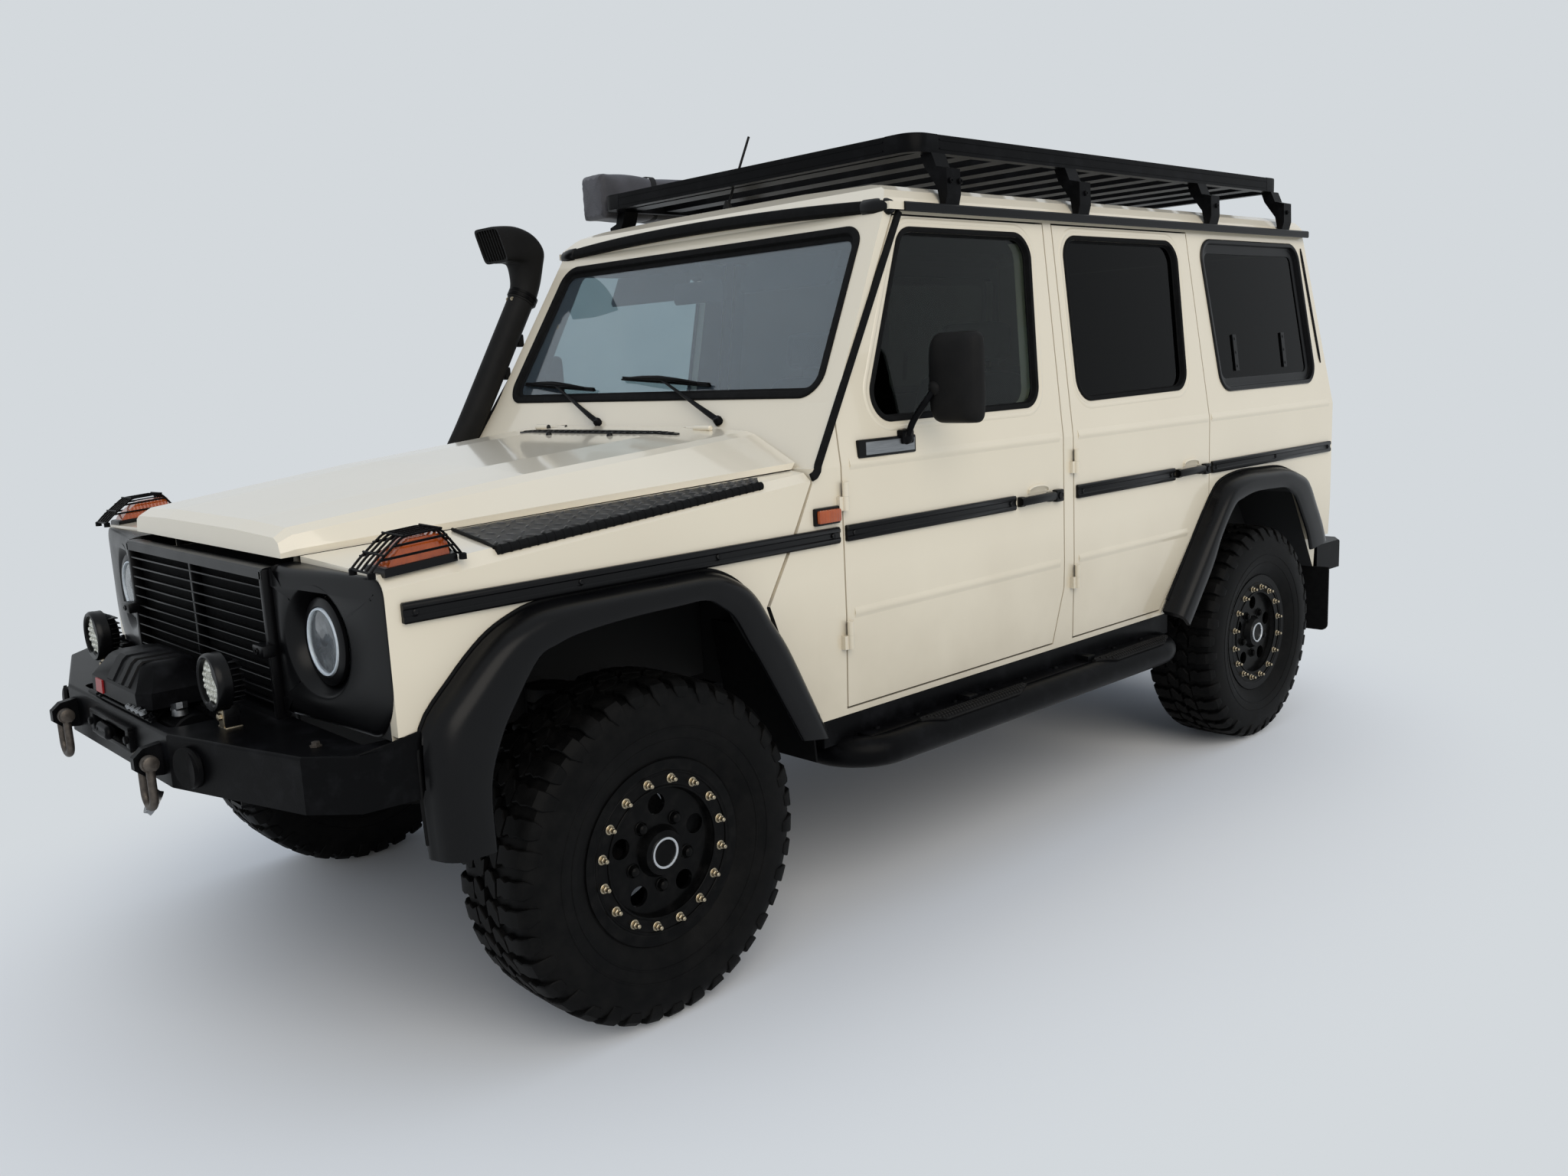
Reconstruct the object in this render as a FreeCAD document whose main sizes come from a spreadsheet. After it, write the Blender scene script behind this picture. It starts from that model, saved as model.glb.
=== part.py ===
# Lifted long-wheelbase off-road wagon with five doors, built as separate panels and running gear.
# Frame: +Z up, nose towards -Y, the vehicle's left side on +X, millimetres, ground at zero.
# Stations along the vehicle are measured from the front axle; every node is then placed by
# front_axle_y, so that the origin lies on the ground under the middle of the vehicle.
import FreeCAD, Part, Sketcher
import math
import os
import re
from FreeCAD import Placement, Rotation, Vector

doc = FreeCAD.newDocument("offroad_wagon")
sheet = doc.addObject("Spreadsheet::Sheet", "sizes")

# name, value or formula, what it sets
SIZES = [
    ("wheelbase", 2850, "front to rear axle"),
    ("front_axle_y", -1390, "front axle in the finished frame"),
    ("tyre_radius", 404, "outer radius, and so the height of the wheel centres"),
    ("tyre_width", 274, ""),
    ("rim_radius", 203, "bead seat"),
    ("rim_width", 216, ""),
    ("wheel_plane", 770, "middle of the tyre from the centre plane"),
    ("disc_x", 846, "outer face of the wheel disc"),
    ("disc_thick", 45, "depth of the hub seat behind the disc face"),
    ("kingpin_x", 640, "steering axis"),
    ("kingpin_radius", 15, ""),
    ("run_gap", 0.3, "running gap of pivots and spindles"),
    ("hub_radius", 30, "wheel spindle"),
    ("spindle_end", 835, ""),
    ("axle_tube", 50, "radius of the axle tubes"),
    ("fork_half", 90, "half height between the fork arms"),
    ("fork_plate", 20, "thickness of the fork arms"),
    ("spring_x", 440, ""),
    ("perch_rise", 60, "spring perch above the axle's middle"),
    ("coil_radius", 50, "outer radius of the springs in their gaiters"),
    ("side_x", 841, "body side between the creases"),
    ("sill_x", "=side_x - 9", "body side at its lower edge"),
    ("tumblehome", 87, "lean of the windows towards the roof"),
    ("gutter_x", "=side_x - tumblehome", "body side at the roof gutter"),
    ("sill_z", 571, "lower edge of the body"),
    ("low_crease_z", 840, ""),
    ("high_crease_z", 1225, ""),
    ("gutter_z", 1880, "upper edge of the body side"),
    ("wall", 55, "thickness of doors and body side"),
    ("skin", 25, "thickness of the wing panels"),
    ("door_gap", 5, "gap round each door"),
    ("door_floor_z", "=sill_z + 21", "lower edge of the side doors"),
    ("door_top_z", "=gutter_z - 14", "upper edge of the side doors"),
    ("waist_z", "=high_crease_z + 111", "lower edge of the windows"),
    ("window_top_z", "=gutter_z - 56", "upper edge of the windows"),
    ("window_corner", 60, "corner radius of the windows"),
    ("front_door_front_y", 668, ""),
    ("front_door_length", 977, ""),
    ("front_door_rear_y", "=front_door_front_y + front_door_length", ""),
    ("pillar", 58, "body pillar between the doors"),
    ("rear_door_front_y", "=front_door_rear_y + pillar", ""),
    ("rear_door_rear_y", "=wheelbase - 309", "it ends ahead of the rear wheel arch"),
    ("body_front_y", 560, "firewall"),
    ("rear_overhang", 691, "rear axle to the rear end"),
    ("body_rear_y", "=wheelbase + rear_overhang", "rear end below the upper crease"),
    ("tail_lean", 116, "lean of the tail towards the roof"),
    ("roof_rear_y", "=body_rear_y - tail_lean", "rear end at the gutter"),
    ("tail_half", 640, "half width of the tail door"),
    ("hinge_out", 12, "hinge pins from the outer skin"),
    ("hinge_radius", 9, ""),
    ("hinge_tall", 36, ""),
    ("glass_thick", 6, ""),
    ("glass_inset", 14, "outer skin to glass"),
    ("floor_z", 620, "underside of the cab floor"),
    ("floor_thick", 20, ""),
    ("floor_top", "=floor_z + floor_thick", ""),
    ("frame_z", 500, "underside of the chassis rails"),
    ("frame_depth", 100, ""),
    ("rail_top", "=frame_z + frame_depth", ""),
    ("rail_in", 300, "inner face of the chassis rails"),
    ("rail_width", 70, ""),
    ("rail_out", "=rail_in + rail_width", "outer face of the chassis rails"),
    ("rail_wall", 8, "plate of the chassis rails"),
    ("rail_front_y", -740, ""),
    ("rail_rear_y", "=body_rear_y + 4", ""),
    ("bonnet_front_y", -630, ""),
    ("bonnet_rear_y", 552, "rear edge at the bonnet's sides"),
    ("bonnet_front_x", 458, "half width of the bonnet at its nose"),
    ("bonnet_rear_x", "=side_x - 63", "half width of the bonnet at the windscreen"),
    ("bonnet_thick", 12, ""),
    ("bonnet_nose_z", 1139, "lower edge of the bonnet's nose"),
    ("bonnet_rise", 88, "climb of the bonnet's side edge to the windscreen"),
    ("panel_gap", 6, "gap round the bonnet"),
    ("wing_front_y", -595, "front end of the wings"),
    ("lamp_face_y", -655, "front face of the headlamp surrounds"),
    ("lamp_x", 600, ""),
    ("lamp_z", 977, ""),
    ("lamp_radius", 89, ""),
    ("grille_half", 440, ""),
    ("grille_top_z", 1122, ""),
    ("grille_depth", 32, ""),
    ("slot_pitch", 22, "grille slots, from one to the next"),
    ("slot_tall", 14, "grille slots, open height"),
    ("bumper_top_z", 795, ""),
    ("bumper_deep", 115, "height of the front bumper's face"),
    ("bumper_low_z", "=bumper_top_z - bumper_deep", ""),
    ("bumper_plate", 8, "steel plate of the front bumper"),
    ("rack_clear", 116, "roof gutter to the underside of the rack's beam, less the roof's crown"),
    ("rack_low_z", "=gutter_z + 50 + rack_clear", "underside of the rack's edge beam"),
    ("rack_depth", 50, "height of the rack's edge beam"),
    ("rack_top_z", "=rack_low_z + rack_depth", ""),
    ("rack_beam", 30, "width of the rack's edge beam"),
    ("rack_half", 728, ""),
    ("rack_front_y", 1115, ""),
    ("rack_length", "=body_rear_y - 1381", ""),
    ("slat_width", 70, ""),
    ("flare_out", 74, "reach of the wheel-arch flares from the body side"),
    ("step_radius", 42, ""),
    ("step_x", "=side_x + 59", "side-step tube"),
    ("step_z", 471, ""),
    ("step_front_y", 640, ""),
    ("step_rear_y", "=wheelbase - 620", ""),
]
NAMES = [row[0] for row in SIZES]
for row, (alias, value, note) in enumerate(SIZES, 1):
    sheet.set("A%d" % row, alias)
    sheet.set("B%d" % row, str(value))
    sheet.set("C%d" % row, note)
    sheet.setAlias("B%d" % row, alias)
doc.recompute()

nodes = []
X_AXIS = Vector(1, 0, 0)
Y_AXIS = Vector(0, 1, 0)
Z_AXIS = Vector(0, 0, 1)
TURN = {"x": Rotation(Y_AXIS, 90), "-x": Rotation(Y_AXIS, -90), "y": Rotation(X_AXIS, -90),
        "-y": Rotation(X_AXIS, 90), "z": Rotation()}
# view, axis that a prism runs along, sketch's turn
PLANES = {"side": ("x", X_AXIS, Rotation(Y_AXIS, Z_AXIS, X_AXIS, "XYZ")),
          "cross": ("y", Y_AXIS, Rotation(X_AXIS, Z_AXIS, -Y_AXIS, "XYZ")),
          "plan": ("z", Z_AXIS, Rotation())}


def bind(text):
    """The formula with each size's name pointing at its cell."""
    return re.sub(r"[A-Za-z_]\w*", lambda m: "sizes." + m.group() if m.group() in NAMES else m.group(),
                  str(text))


def num(text):
    return float(sheet.evalExpression(bind(text))) if isinstance(text, str) else float(text)


def span(low, high):
    return bind("(%s) - (%s)" % (high, low))


def node(label, thing):
    """Holds one finished part under its name, moved from axle stations to the finished frame."""
    if thing.TypeId != "Part::Compound":
        holder = doc.addObject("Part::Compound", label)
        holder.Links = [thing]
        thing.Label = thing.Name + "_solid"
        thing = holder
    thing.Label = label
    thing.setExpression("Placement.Base.y", bind("front_axle_y"))
    nodes.append(thing)
    return thing


def box(name, x, y, z):
    """Block between a low and a high formula on each axis."""
    piece = doc.addObject("Part::Box", name)
    for size, axis, (low, high) in (("Length", "x", x), ("Width", "y", y), ("Height", "z", z)):
        piece.setExpression(size, span(low, high))
        piece.setExpression("Placement.Base." + axis, bind(low))
    return piece


def put(piece, x, y, z):
    for axis, formula in (("x", x), ("y", y), ("z", z)):
        piece.setExpression("Placement.Base." + axis, bind(formula))
    return piece


def rod(name, axis, x, y, z, radius, length):
    piece = doc.addObject("Part::Cylinder", name)
    piece.Placement = Placement(Vector(), TURN[axis])
    piece.setExpression("Radius", bind(radius))
    piece.setExpression("Height", bind(length))
    return put(piece, x, y, z)


def cone(name, axis, x, y, z, radius, end_radius, length):
    piece = doc.addObject("Part::Cone", name)
    piece.Placement = Placement(Vector(), TURN[axis])
    piece.setExpression("Radius1", bind(radius))
    piece.setExpression("Radius2", bind(end_radius))
    piece.setExpression("Height", bind(length))
    return put(piece, x, y, z)


def outline(name, plane, points, station="0"):
    """Closed sketch whose corners are held at formulas."""
    sketch = doc.addObject("Sketcher::SketchObject", name)
    axis, direction, turn = PLANES[plane]
    sketch.Placement = Placement(Vector(), turn)
    sketch.setExpression("Placement.Base." + axis, bind(station))
    at = [Vector(num(a), num(b), 0) for a, b in points]
    count = len(at)
    for i in range(count):
        sketch.addGeometry(Part.LineSegment(at[i], at[(i + 1) % count]), False)
    sketch.addConstraint([Sketcher.Constraint("Coincident", i, 2, (i + 1) % count, 1) for i in range(count)])
    for i, corner in enumerate(points):
        for kind, formula, value in zip(("DistanceX", "DistanceY"), corner, at[i]):
            rule = sketch.addConstraint(Sketcher.Constraint(kind, -1, 1, i, 1, value))
            if isinstance(formula, str):
                sketch.setExpression("Constraints[%d]" % rule, bind(formula))
    return sketch


def prism(name, plane, points, low, high):
    """Outline drawn in one view and extruded between two formulas."""
    piece = doc.addObject("Part::Extrusion", name)
    piece.Base = outline(name + "_outline", plane, points, low)
    piece.DirMode = "Custom"
    piece.Dir = PLANES[plane][1]
    piece.Solid = True
    piece.setExpression("LengthFwd", span(low, high))
    return piece


def rounded(piece, radius, pick):
    """Fillets the edges that pick accepts."""
    doc.recompute()
    edges = [i for i, edge in enumerate(piece.Shape.Edges, 1) if pick(edge)]
    fillet = doc.addObject("Part::Fillet", piece.Name + "_rounded")
    fillet.Base = piece
    fillet.Edges = [(i, num(radius), num(radius)) for i in edges]
    return fillet


def along(direction):
    """Accepts straight edges that run along one axis."""
    def pick(edge):
        if len(edge.Vertexes) != 2 or edge.Curve.TypeId != "Part::GeomLine":
            return False
        run = (edge.Vertexes[1].Point - edge.Vertexes[0].Point).normalize()
        return abs(run.dot(direction)) > 0.9999
    return pick


def chain(kind, name, first, others):
    for other in others:
        step = doc.addObject(kind, name)
        step.Base, step.Tool = first, other
        first = step
    return first


def cut(name, first, *others):
    return chain("Part::Cut", name, first, others)


def overlap(name, first, *others):
    return chain("Part::Common", name, first, others)


def join(name, *pieces):
    piece = doc.addObject("Part::MultiFuse", name)
    piece.Shapes = list(pieces)
    piece.Refine = True
    return piece


def mirrored(piece):
    copy = doc.addObject("Part::Mirroring", piece.Name + "_mirrored")
    copy.Source = piece
    copy.Normal = X_AXIS
    return copy


def group(name, *pieces):
    piece = doc.addObject("Part::Compound", name)
    piece.Links = list(pieces)
    return piece


def both(name, piece):
    """The left-hand piece and its mirror image as two solids of one node."""
    return group(name, piece, mirrored(piece))


def loft(name, sections):
    piece = doc.addObject("Part::Loft", name)
    piece.Sections = sections
    piece.Solid = True
    piece.Ruled = True
    return piece


# ---------------------------------------------------------------- chassis and engine
# box-section rails with a hollow core, cross tubes between them and mounts under the cab
rail_parts = []
rail = box("rail", ("rail_in", "rail_out"), ("rail_front_y", "rail_rear_y"), ("frame_z", "rail_top"))
core = box("rail_core", ("rail_in + rail_wall", "rail_out - rail_wall"), ("rail_front_y - 1", "rail_rear_y + 1"),
           ("frame_z + rail_wall", "rail_top - rail_wall"))
rail = cut("rail_box", rail, core)
rail_parts += [rail, mirrored(rail)]
for i, y in enumerate(("rail_front_y + 40", "0", "760", "front_door_rear_y + 35", "wheelbase - 350",
                       "wheelbase + 450", "rail_rear_y - 45")):
    rail_parts.append(box("cross_member_%d" % i, ("-rail_in", "rail_in"), ("(%s) - 40" % y, "(%s) + 40" % y),
                          ("frame_z + 10", "rail_top")))
for i, y in enumerate(("800", "1500", "wheelbase - 550", "wheelbase + 500")):
    mount = rod("body_mount_%d" % i, "z", "(rail_in + rail_out) / 2", y, "rail_top", "30", "floor_z - rail_top")
    rail_parts += [mount, mirrored(mount)]
node("chassis_frame", join("chassis_frame", *rail_parts))
block = box("engine", ("-220", "220"), ("-380", "420"), ("rail_top", "rail_top + 410"))
node("engine_block", rounded(block, "30", along(Z_AXIS)))

# ---------------------------------------------------------------- beam axles
def axle_beam(name, y, tube_end, ball_x):
    beam = [rod(name + "_tube", "x", "-(%s)" % tube_end, y, "tyre_radius", "axle_tube", "2 * (%s)" % tube_end)]
    for side, sign in (("left", ""), ("right", "-")):
        centre = "%sspring_x" % sign
        beam.append(rod(name + "_perch_" + side, "z", centre, y, "tyre_radius", "coil_radius", "perch_rise"))
    ball = doc.addObject("Part::Sphere", name + "_differential")
    ball.Radius = 125
    put(ball, ball_x, y, "tyre_radius")
    trim = box(name + "_trim", ("%s - 90" % ball_x, "%s + 90" % ball_x), ("%s - 130" % y, "%s + 130" % y),
               ("0", "frame_z - 10"))
    beam.append(overlap(name + "_case", ball, trim))
    return beam


parts = axle_beam("front_axle", "0", "kingpin_x - 70", "150")
fork = [box("fork_plate_part", ("kingpin_x - 70", "kingpin_x - 55"), ("-35", "35"),
            ("tyre_radius - fork_half - fork_plate", "tyre_radius + fork_half + fork_plate"))]
for name, z in (("lower", "tyre_radius - fork_half - fork_plate"), ("upper", "tyre_radius + fork_half")):
    arm = box("fork_arm_" + name, ("kingpin_x - 70", "kingpin_x + 35"), ("-35", "35"), (z, z + " + fork_plate"))
    hole = rod("fork_bore_" + name, "z", "kingpin_x", "0", z, "kingpin_radius + run_gap", "fork_plate")
    fork.append(cut("fork_arm_bored_" + name, arm, hole))
fork = join("fork", *fork)
node("front_axle", join("front_axle", *(parts + [fork, mirrored(fork)])))

parts = axle_beam("rear_axle", "wheelbase", "700", "0")
hub = join("rear_hub", rod("rear_spindle", "x", "690", "wheelbase", "tyre_radius", "hub_radius", "spindle_end - 690"),
           rod("rear_brake", "x", "700", "wheelbase", "tyre_radius", "130", "70"))
node("rear_axle", join("rear_axle", *(parts + [hub, mirrored(hub)])))

knuckle = join("knuckle", rod("knuckle_post", "z", "kingpin_x", "0", "tyre_radius - fork_half + run_gap", "34",
                              "2 * (fork_half - run_gap)"),
               rod("kingpin", "z", "kingpin_x", "0", "tyre_radius - fork_half - fork_plate", "kingpin_radius",
                   "2 * (fork_half + fork_plate)"),
               rod("front_spindle", "x", "kingpin_x", "0", "tyre_radius", "hub_radius", "spindle_end - kingpin_x"),
               rod("brake_disc", "x", "kingpin_x + 65", "0", "tyre_radius", "130", "20"))
node("knuckle_left", knuckle)
node("knuckle_right", mirrored(knuckle))

# springs in ribbed gaiters stand on the axle perches under cups that brackets hold to the rails
springs = []
# name, axle station, height, ribs
for name, y, height, ribs in (("front", "0", 250, 7), ("rear", "wheelbase", 135, 4)):
    seat = "tyre_radius + perch_rise"
    profile = [(0, 0), (0, "coil_radius + 5"), (14, "coil_radius + 5")]
    pitch = (height - 28) / ribs
    for i in range(ribs):
        low = 14 + i * pitch
        profile += [("%g" % (low + 0.15 * pitch), "coil_radius - 12"), ("%g" % (low + 0.35 * pitch), "coil_radius"),
                    ("%g" % (low + 0.65 * pitch), "coil_radius"), ("%g" % (low + 0.85 * pitch), "coil_radius - 12")]
    profile += [(height - 14, "coil_radius + 5"), (height + 18, "coil_radius + 5"), (height + 18, 0)]
    turn = doc.addObject("Part::Revolution", name + "_gaiter")
    turn.Source = outline(name + "_gaiter_profile", "plan", profile)
    turn.Axis = X_AXIS
    turn.Solid = True
    turn.Placement = Placement(Vector(), Rotation(Y_AXIS, -90))
    put(turn, "spring_x", y, seat)
    post = box(name + "_post", ("rail_out + 10", "rail_out + 20"), (y + " - 30", y + " + 30"),
               ("frame_z + 10", "%s + %d" % (seat, height + 18)))
    pad = box(name + "_pad", ("rail_out", "rail_out + 20"), (y + " - 30", y + " + 30"),
              ("frame_z + 10", "rail_top - 5"))
    unit = join(name + "_spring", turn, post, pad)
    springs += [unit, mirrored(unit)]
node("suspension", group("suspension", *springs))

# ---------------------------------------------------------------- wheels
# each wheel is turned about its axle; the disc has five round holes
half_tyre, half_rim = "tyre_width / 2", "rim_width / 2"


def turned(name, profile):
    """PartDesign body revolved about the wheel's axis from (x, radius) formulas."""
    body = doc.addObject("PartDesign::Body", name)
    sketch = outline(name + "_profile", "plan", profile)
    body.addObject(sketch)
    turn = doc.addObject("PartDesign::Revolution", name + "_turn")
    body.addObject(turn)
    turn.Profile = sketch
    turn.ReferenceAxis = (sketch, ["H_Axis"])
    turn.Angle = 360
    return body, sketch


half = [("rim_width / 2 - 12", "rim_radius"), ("rim_width / 2 - 6", "rim_radius + 22"),
        ("tyre_width / 2", "tyre_radius - 120"), ("tyre_width / 2", "tyre_radius - 75"),
        ("tyre_width / 2 - 8", "tyre_radius - 22"), ("tyre_width / 2 - 24", "tyre_radius - 5"),
        ("tyre_width / 2 - 60", "tyre_radius")]
tyre_body, profile = turned("tyre_carcass", half + [("-(%s)" % x, r) for x, r in reversed(half)])
out, into = "disc_x - wheel_plane", "-(rim_width / 2)"
lip = "rim_radius + 14"
rim_body, profile = turned("rim_pressing", [
    ("-rim_width / 2", "rim_radius - 12"), ("-rim_width / 2", lip), ("-rim_width / 2 + 8", lip),
    ("-rim_width / 2 + 12", "rim_radius"), ("rim_width / 2 - 12", "rim_radius"), ("rim_width / 2 - 8", lip),
    ("rim_width / 2", lip), ("rim_width / 2", "rim_radius - 8"), ("rim_width / 2 - 4", "rim_radius - 17"),
    ("rim_width / 2 - 4", "rim_radius - 51"), (out + " + 12", "rim_radius - 57"), (out + " + 12", "62"),
    ("rim_width / 2", "52"), ("rim_width / 2", "0"), (out, "0"), (out, "hub_radius + run_gap"),
    (out + " - disc_thick", "hub_radius + run_gap"), (out + " - disc_thick", "62"), (out, "70"),
    (out, "rim_radius - 57"), ("rim_width / 2 - 18", "rim_radius - 47"), ("rim_width / 2 - 18", "rim_radius - 23"),
    ("rim_width / 2 - 30", "rim_radius - 12")])
hole = doc.addObject("Sketcher::SketchObject", "rim_hole_circles")
rim_body.addObject(hole)
hole.Placement = Placement(Vector(), PLANES["side"][2])
hole.setExpression("Placement.Base.x", bind(out + " - 10"))
for i in range(5):
    angle = math.radians(90 + 72 * i)
    hole.addGeometry(Part.Circle(Vector(112 * math.cos(angle), 112 * math.sin(angle), 0), Z_AXIS, 24), False)
    hole.addConstraint(Sketcher.Constraint("DistanceX", -1, 1, i, 3, 112 * math.cos(angle)))
    hole.addConstraint(Sketcher.Constraint("DistanceY", -1, 1, i, 3, 112 * math.sin(angle)))
    hole.addConstraint(Sketcher.Constraint("Radius", i, 24))
pocket = doc.addObject("PartDesign::Pocket", "rim_holes")
rim_body.addObject(pocket)
pocket.Profile = hole
pocket.Reversed = True
pocket.Length = 40
doc.recompute()
# wheel name, mirrored, station
for name, sign, y in (("front_left", "", "0"), ("front_right", "-", "0"),
                      ("rear_left", "", "wheelbase"), ("rear_right", "-", "wheelbase")):
    for kind, body in (("tyre_", tyre_body), ("rim_", rim_body)):
        wheel = group(kind + name, mirrored(body) if sign else body)
        node(kind + name, wheel)
        put(wheel, sign + "wheel_plane", "front_axle_y + " + y, "tyre_radius")

# ---------------------------------------------------------------- body sides
# one cross-section runs the whole length: sill, upright flank, and windows that lean in
FAR_FRONT, FAR_REAR = "-700", "body_rear_y + 160"


def section(offset):
    """Half cross-section of the body's flank, moved inwards by offset."""
    return [("sill_x - (%s)" % offset, "sill_z"), ("side_x - (%s)" % offset, "low_crease_z"),
            ("side_x - (%s)" % offset, "high_crease_z"), ("gutter_x - (%s)" % offset, "gutter_z")]


def flank(name, outer, inner):
    return prism(name, "cross", section(outer) + section(inner)[::-1], FAR_FRONT, FAR_REAR)


def window(name, points, low="600", high="side_x + 60"):
    return rounded(prism(name, "side", points, low, high), "window_corner", along(X_AXIS))


def widened(name, points, gap, low, high, plane="side"):
    """The outline grown by a gap all round, and extruded."""
    grown = doc.addObject("Part::Offset2D", name + "_grown")
    grown.Source = outline(name + "_outline", plane, points, low)
    grown.Join = "Intersection"
    grown.setExpression("Value", bind(gap))
    piece = doc.addObject("Part::Extrusion", name)
    piece.Base = grown
    piece.DirMode = "Custom"
    piece.Dir = PLANES[plane][1]
    piece.Solid = True
    piece.setExpression("LengthFwd", span(low, high))
    return piece


front_door = [("front_door_front_y", "door_floor_z"), ("front_door_front_y", "high_crease_z + 120"),
              ("front_door_front_y + 320", "door_top_z"), ("front_door_rear_y + 22", "door_top_z"),
              ("front_door_rear_y", "high_crease_z"), ("front_door_rear_y", "low_crease_z - 80"),
              ("front_door_rear_y - 55", "door_floor_z")]
rear_door = [("rear_door_front_y", "door_floor_z"), ("rear_door_front_y", "high_crease_z"),
             ("rear_door_front_y + 15", "door_top_z"), ("rear_door_rear_y - 26", "door_top_z"),
             ("rear_door_rear_y", "high_crease_z"), ("rear_door_rear_y", "low_crease_z + 120"),
             ("rear_door_rear_y - 13", "low_crease_z + 108"), ("rear_door_rear_y - 318", "door_floor_z")]
front_window = [("front_door_front_y + 118", "waist_z"), ("front_door_front_y + 346", "window_top_z"),
                ("front_door_rear_y - 61", "window_top_z"), ("front_door_rear_y - 113", "waist_z")]
rear_window = [("rear_door_front_y + 58", "waist_z + 2"), ("rear_door_front_y + 71", "window_top_z"),
               ("rear_door_rear_y - 108", "window_top_z"), ("rear_door_rear_y - 139", "waist_z + 9")]
quarter_window = [("rear_door_rear_y + 117", "waist_z - 11"), ("rear_door_rear_y + 67", "window_top_z + 12"),
                  ("body_rear_y - 196", "window_top_z + 12"), ("body_rear_y - 148", "waist_z - 11")]
pillar_line = [("body_front_y + 16", "high_crease_z + 4"), ("body_front_y + 118", "high_crease_z + 162"),
               ("body_front_y + 397", "gutter_z")]
rear_arch = [("wheelbase - 520", "sill_z - 11"), ("wheelbase - 305", "low_crease_z + 40"),
             ("wheelbase - 210", "low_crease_z + 115"), ("wheelbase + 210", "low_crease_z + 125"),
             ("wheelbase + 340", "low_crease_z + 60"), ("wheelbase + 530", "sill_z + 49"),
             ("wheelbase + 570", "sill_z - 11")]
body_outline = ([("body_front_y", "sill_z"), ("body_front_y", "high_crease_z + 3")] + pillar_line +
                [("roof_rear_y", "gutter_z"), ("body_rear_y", "high_crease_z"), ("body_rear_y", "sill_z + 119"),
                 ("body_rear_y - 121", "sill_z + 119"), ("body_rear_y - 121", "sill_z")])
whole_side = prism("body_side_outline_block", "side", body_outline, "0", "side_x + 60")
flank_skin = flank("flank_skin", "0", "wall")
body_side = overlap("body_side", flank_skin, whole_side)
for name, points in (("front", front_door), ("rear", rear_door)):
    body_side = cut("body_side_doorway_" + name, body_side,
                    widened(name + "_doorway", points, "door_gap", "600", "side_x + 60"))
body_side = cut("body_side_arched", body_side, window("quarter_opening", quarter_window),
                prism("rear_arch", "side", rear_arch, "600", "side_x + 60"))
# the scuttle panel stands between the wing and the front door
scuttle = prism("scuttle", "side", [("body_front_y", "sill_z + 29"), ("body_front_y - 48", "sill_z + 29"),
                                    ("body_front_y - 162", "low_crease_z + 65"),
                                    ("body_front_y - 60", "high_crease_z - 152"),
                                    ("body_front_y", "high_crease_z - 35")], "side_x - skin", "side_x")
side_pieces = [body_side, scuttle]

# ---------------------------------------------------------------- side doors with their hinges
# name, outline, window, front edge, heights of the lower leaves' tops
hinge_heights = ("low_crease_z - 52", "high_crease_z - 75")
doors = (("front_door", front_door, front_window, "front_door_front_y"),
         ("rear_door", rear_door, rear_window, "rear_door_front_y"))
for name, points, pane_points, edge in doors:
    opening = window(name + "_window", pane_points)
    panel = cut(name + "_panel", overlap(name + "_blank", flank_skin,
                                         prism(name + "_plate", "side", points, "600", "side_x + 60")), opening)
    pin_x, pin_y = "side_x + hinge_out", edge + " - door_gap / 2"
    fixed = [panel]
    for i, z in enumerate(hinge_heights):
        label = "%s_hinge_%d" % (name, i)
        fixed.append(rod(label + "_upper", "z", pin_x, pin_y, z, "hinge_radius", "hinge_tall"))
        fixed.append(box(label + "_leaf", ("side_x", pin_x), (pin_y, edge + " + 16"), (z, z + " + hinge_tall")))
        fixed.append(box(label + "_root", ("side_x - 4", "side_x"), (edge, edge + " + 16"),
                         (z, z + " + hinge_tall")))
        low = "%s - hinge_tall - run_gap" % z
        side_pieces.append(rod(label + "_lower", "z", pin_x, pin_y, low, "hinge_radius", "hinge_tall"))
        side_pieces.append(box(label + "_plate", ("side_x", pin_x), (edge + " - 24", pin_y),
                               (low, low + " + hinge_tall")))
        side_pieces.append(box(label + "_foot", ("side_x - 4", "side_x"),
                               (edge + " - 24", edge + " - door_gap"), (low, low + " + hinge_tall")))
    left = join(name + "_left_door", *fixed)
    node(name + "_left", left)
    node(name + "_right", mirrored(left))
    pane = overlap(name + "_pane", flank(name + "_glass_sheet", "glass_inset", "glass_inset + glass_thick"),
                   opening)
    node(name + "_glass_left", pane)
    node(name + "_glass_right", mirrored(pane))
node("body_sides", both("body_sides", join("body_side_whole", *side_pieces)))
node("quarter_windows", both("quarter_windows", overlap(
    "quarter_pane", flank("quarter_glass_sheet", "glass_inset", "glass_inset + glass_thick"),
    window("quarter_pane_outline", quarter_window))))

# ---------------------------------------------------------------- cab between the body sides
half = section("wall")
inner_block = prism("cab_section", "cross", half + [("-(%s)" % x, z) for x, z in half[::-1]],
                    FAR_FRONT, FAR_REAR)
cab_outline = ([("body_front_y", "floor_z"), ("body_front_y", "high_crease_z + 3")] + pillar_line +
               [("roof_rear_y", "gutter_z"), ("body_rear_y", "high_crease_z"), ("body_rear_y", "floor_z")])
cab = overlap("cab_block", inner_block, prism("cab_outline_block", "side", cab_outline, "-900", "900"))
inside = [("body_front_y + 30", "floor_top"), ("body_front_y + 30", "high_crease_z - 75"),
          ("body_front_y + 67", "high_crease_z + 4"), ("body_front_y + 169", "high_crease_z + 162"),
          ("body_front_y + 450", "gutter_z + 5"), ("roof_rear_y - 52", "gutter_z + 5"),
          ("body_rear_y - 52", "high_crease_z"), ("body_rear_y - 52", "floor_top")]
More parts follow.
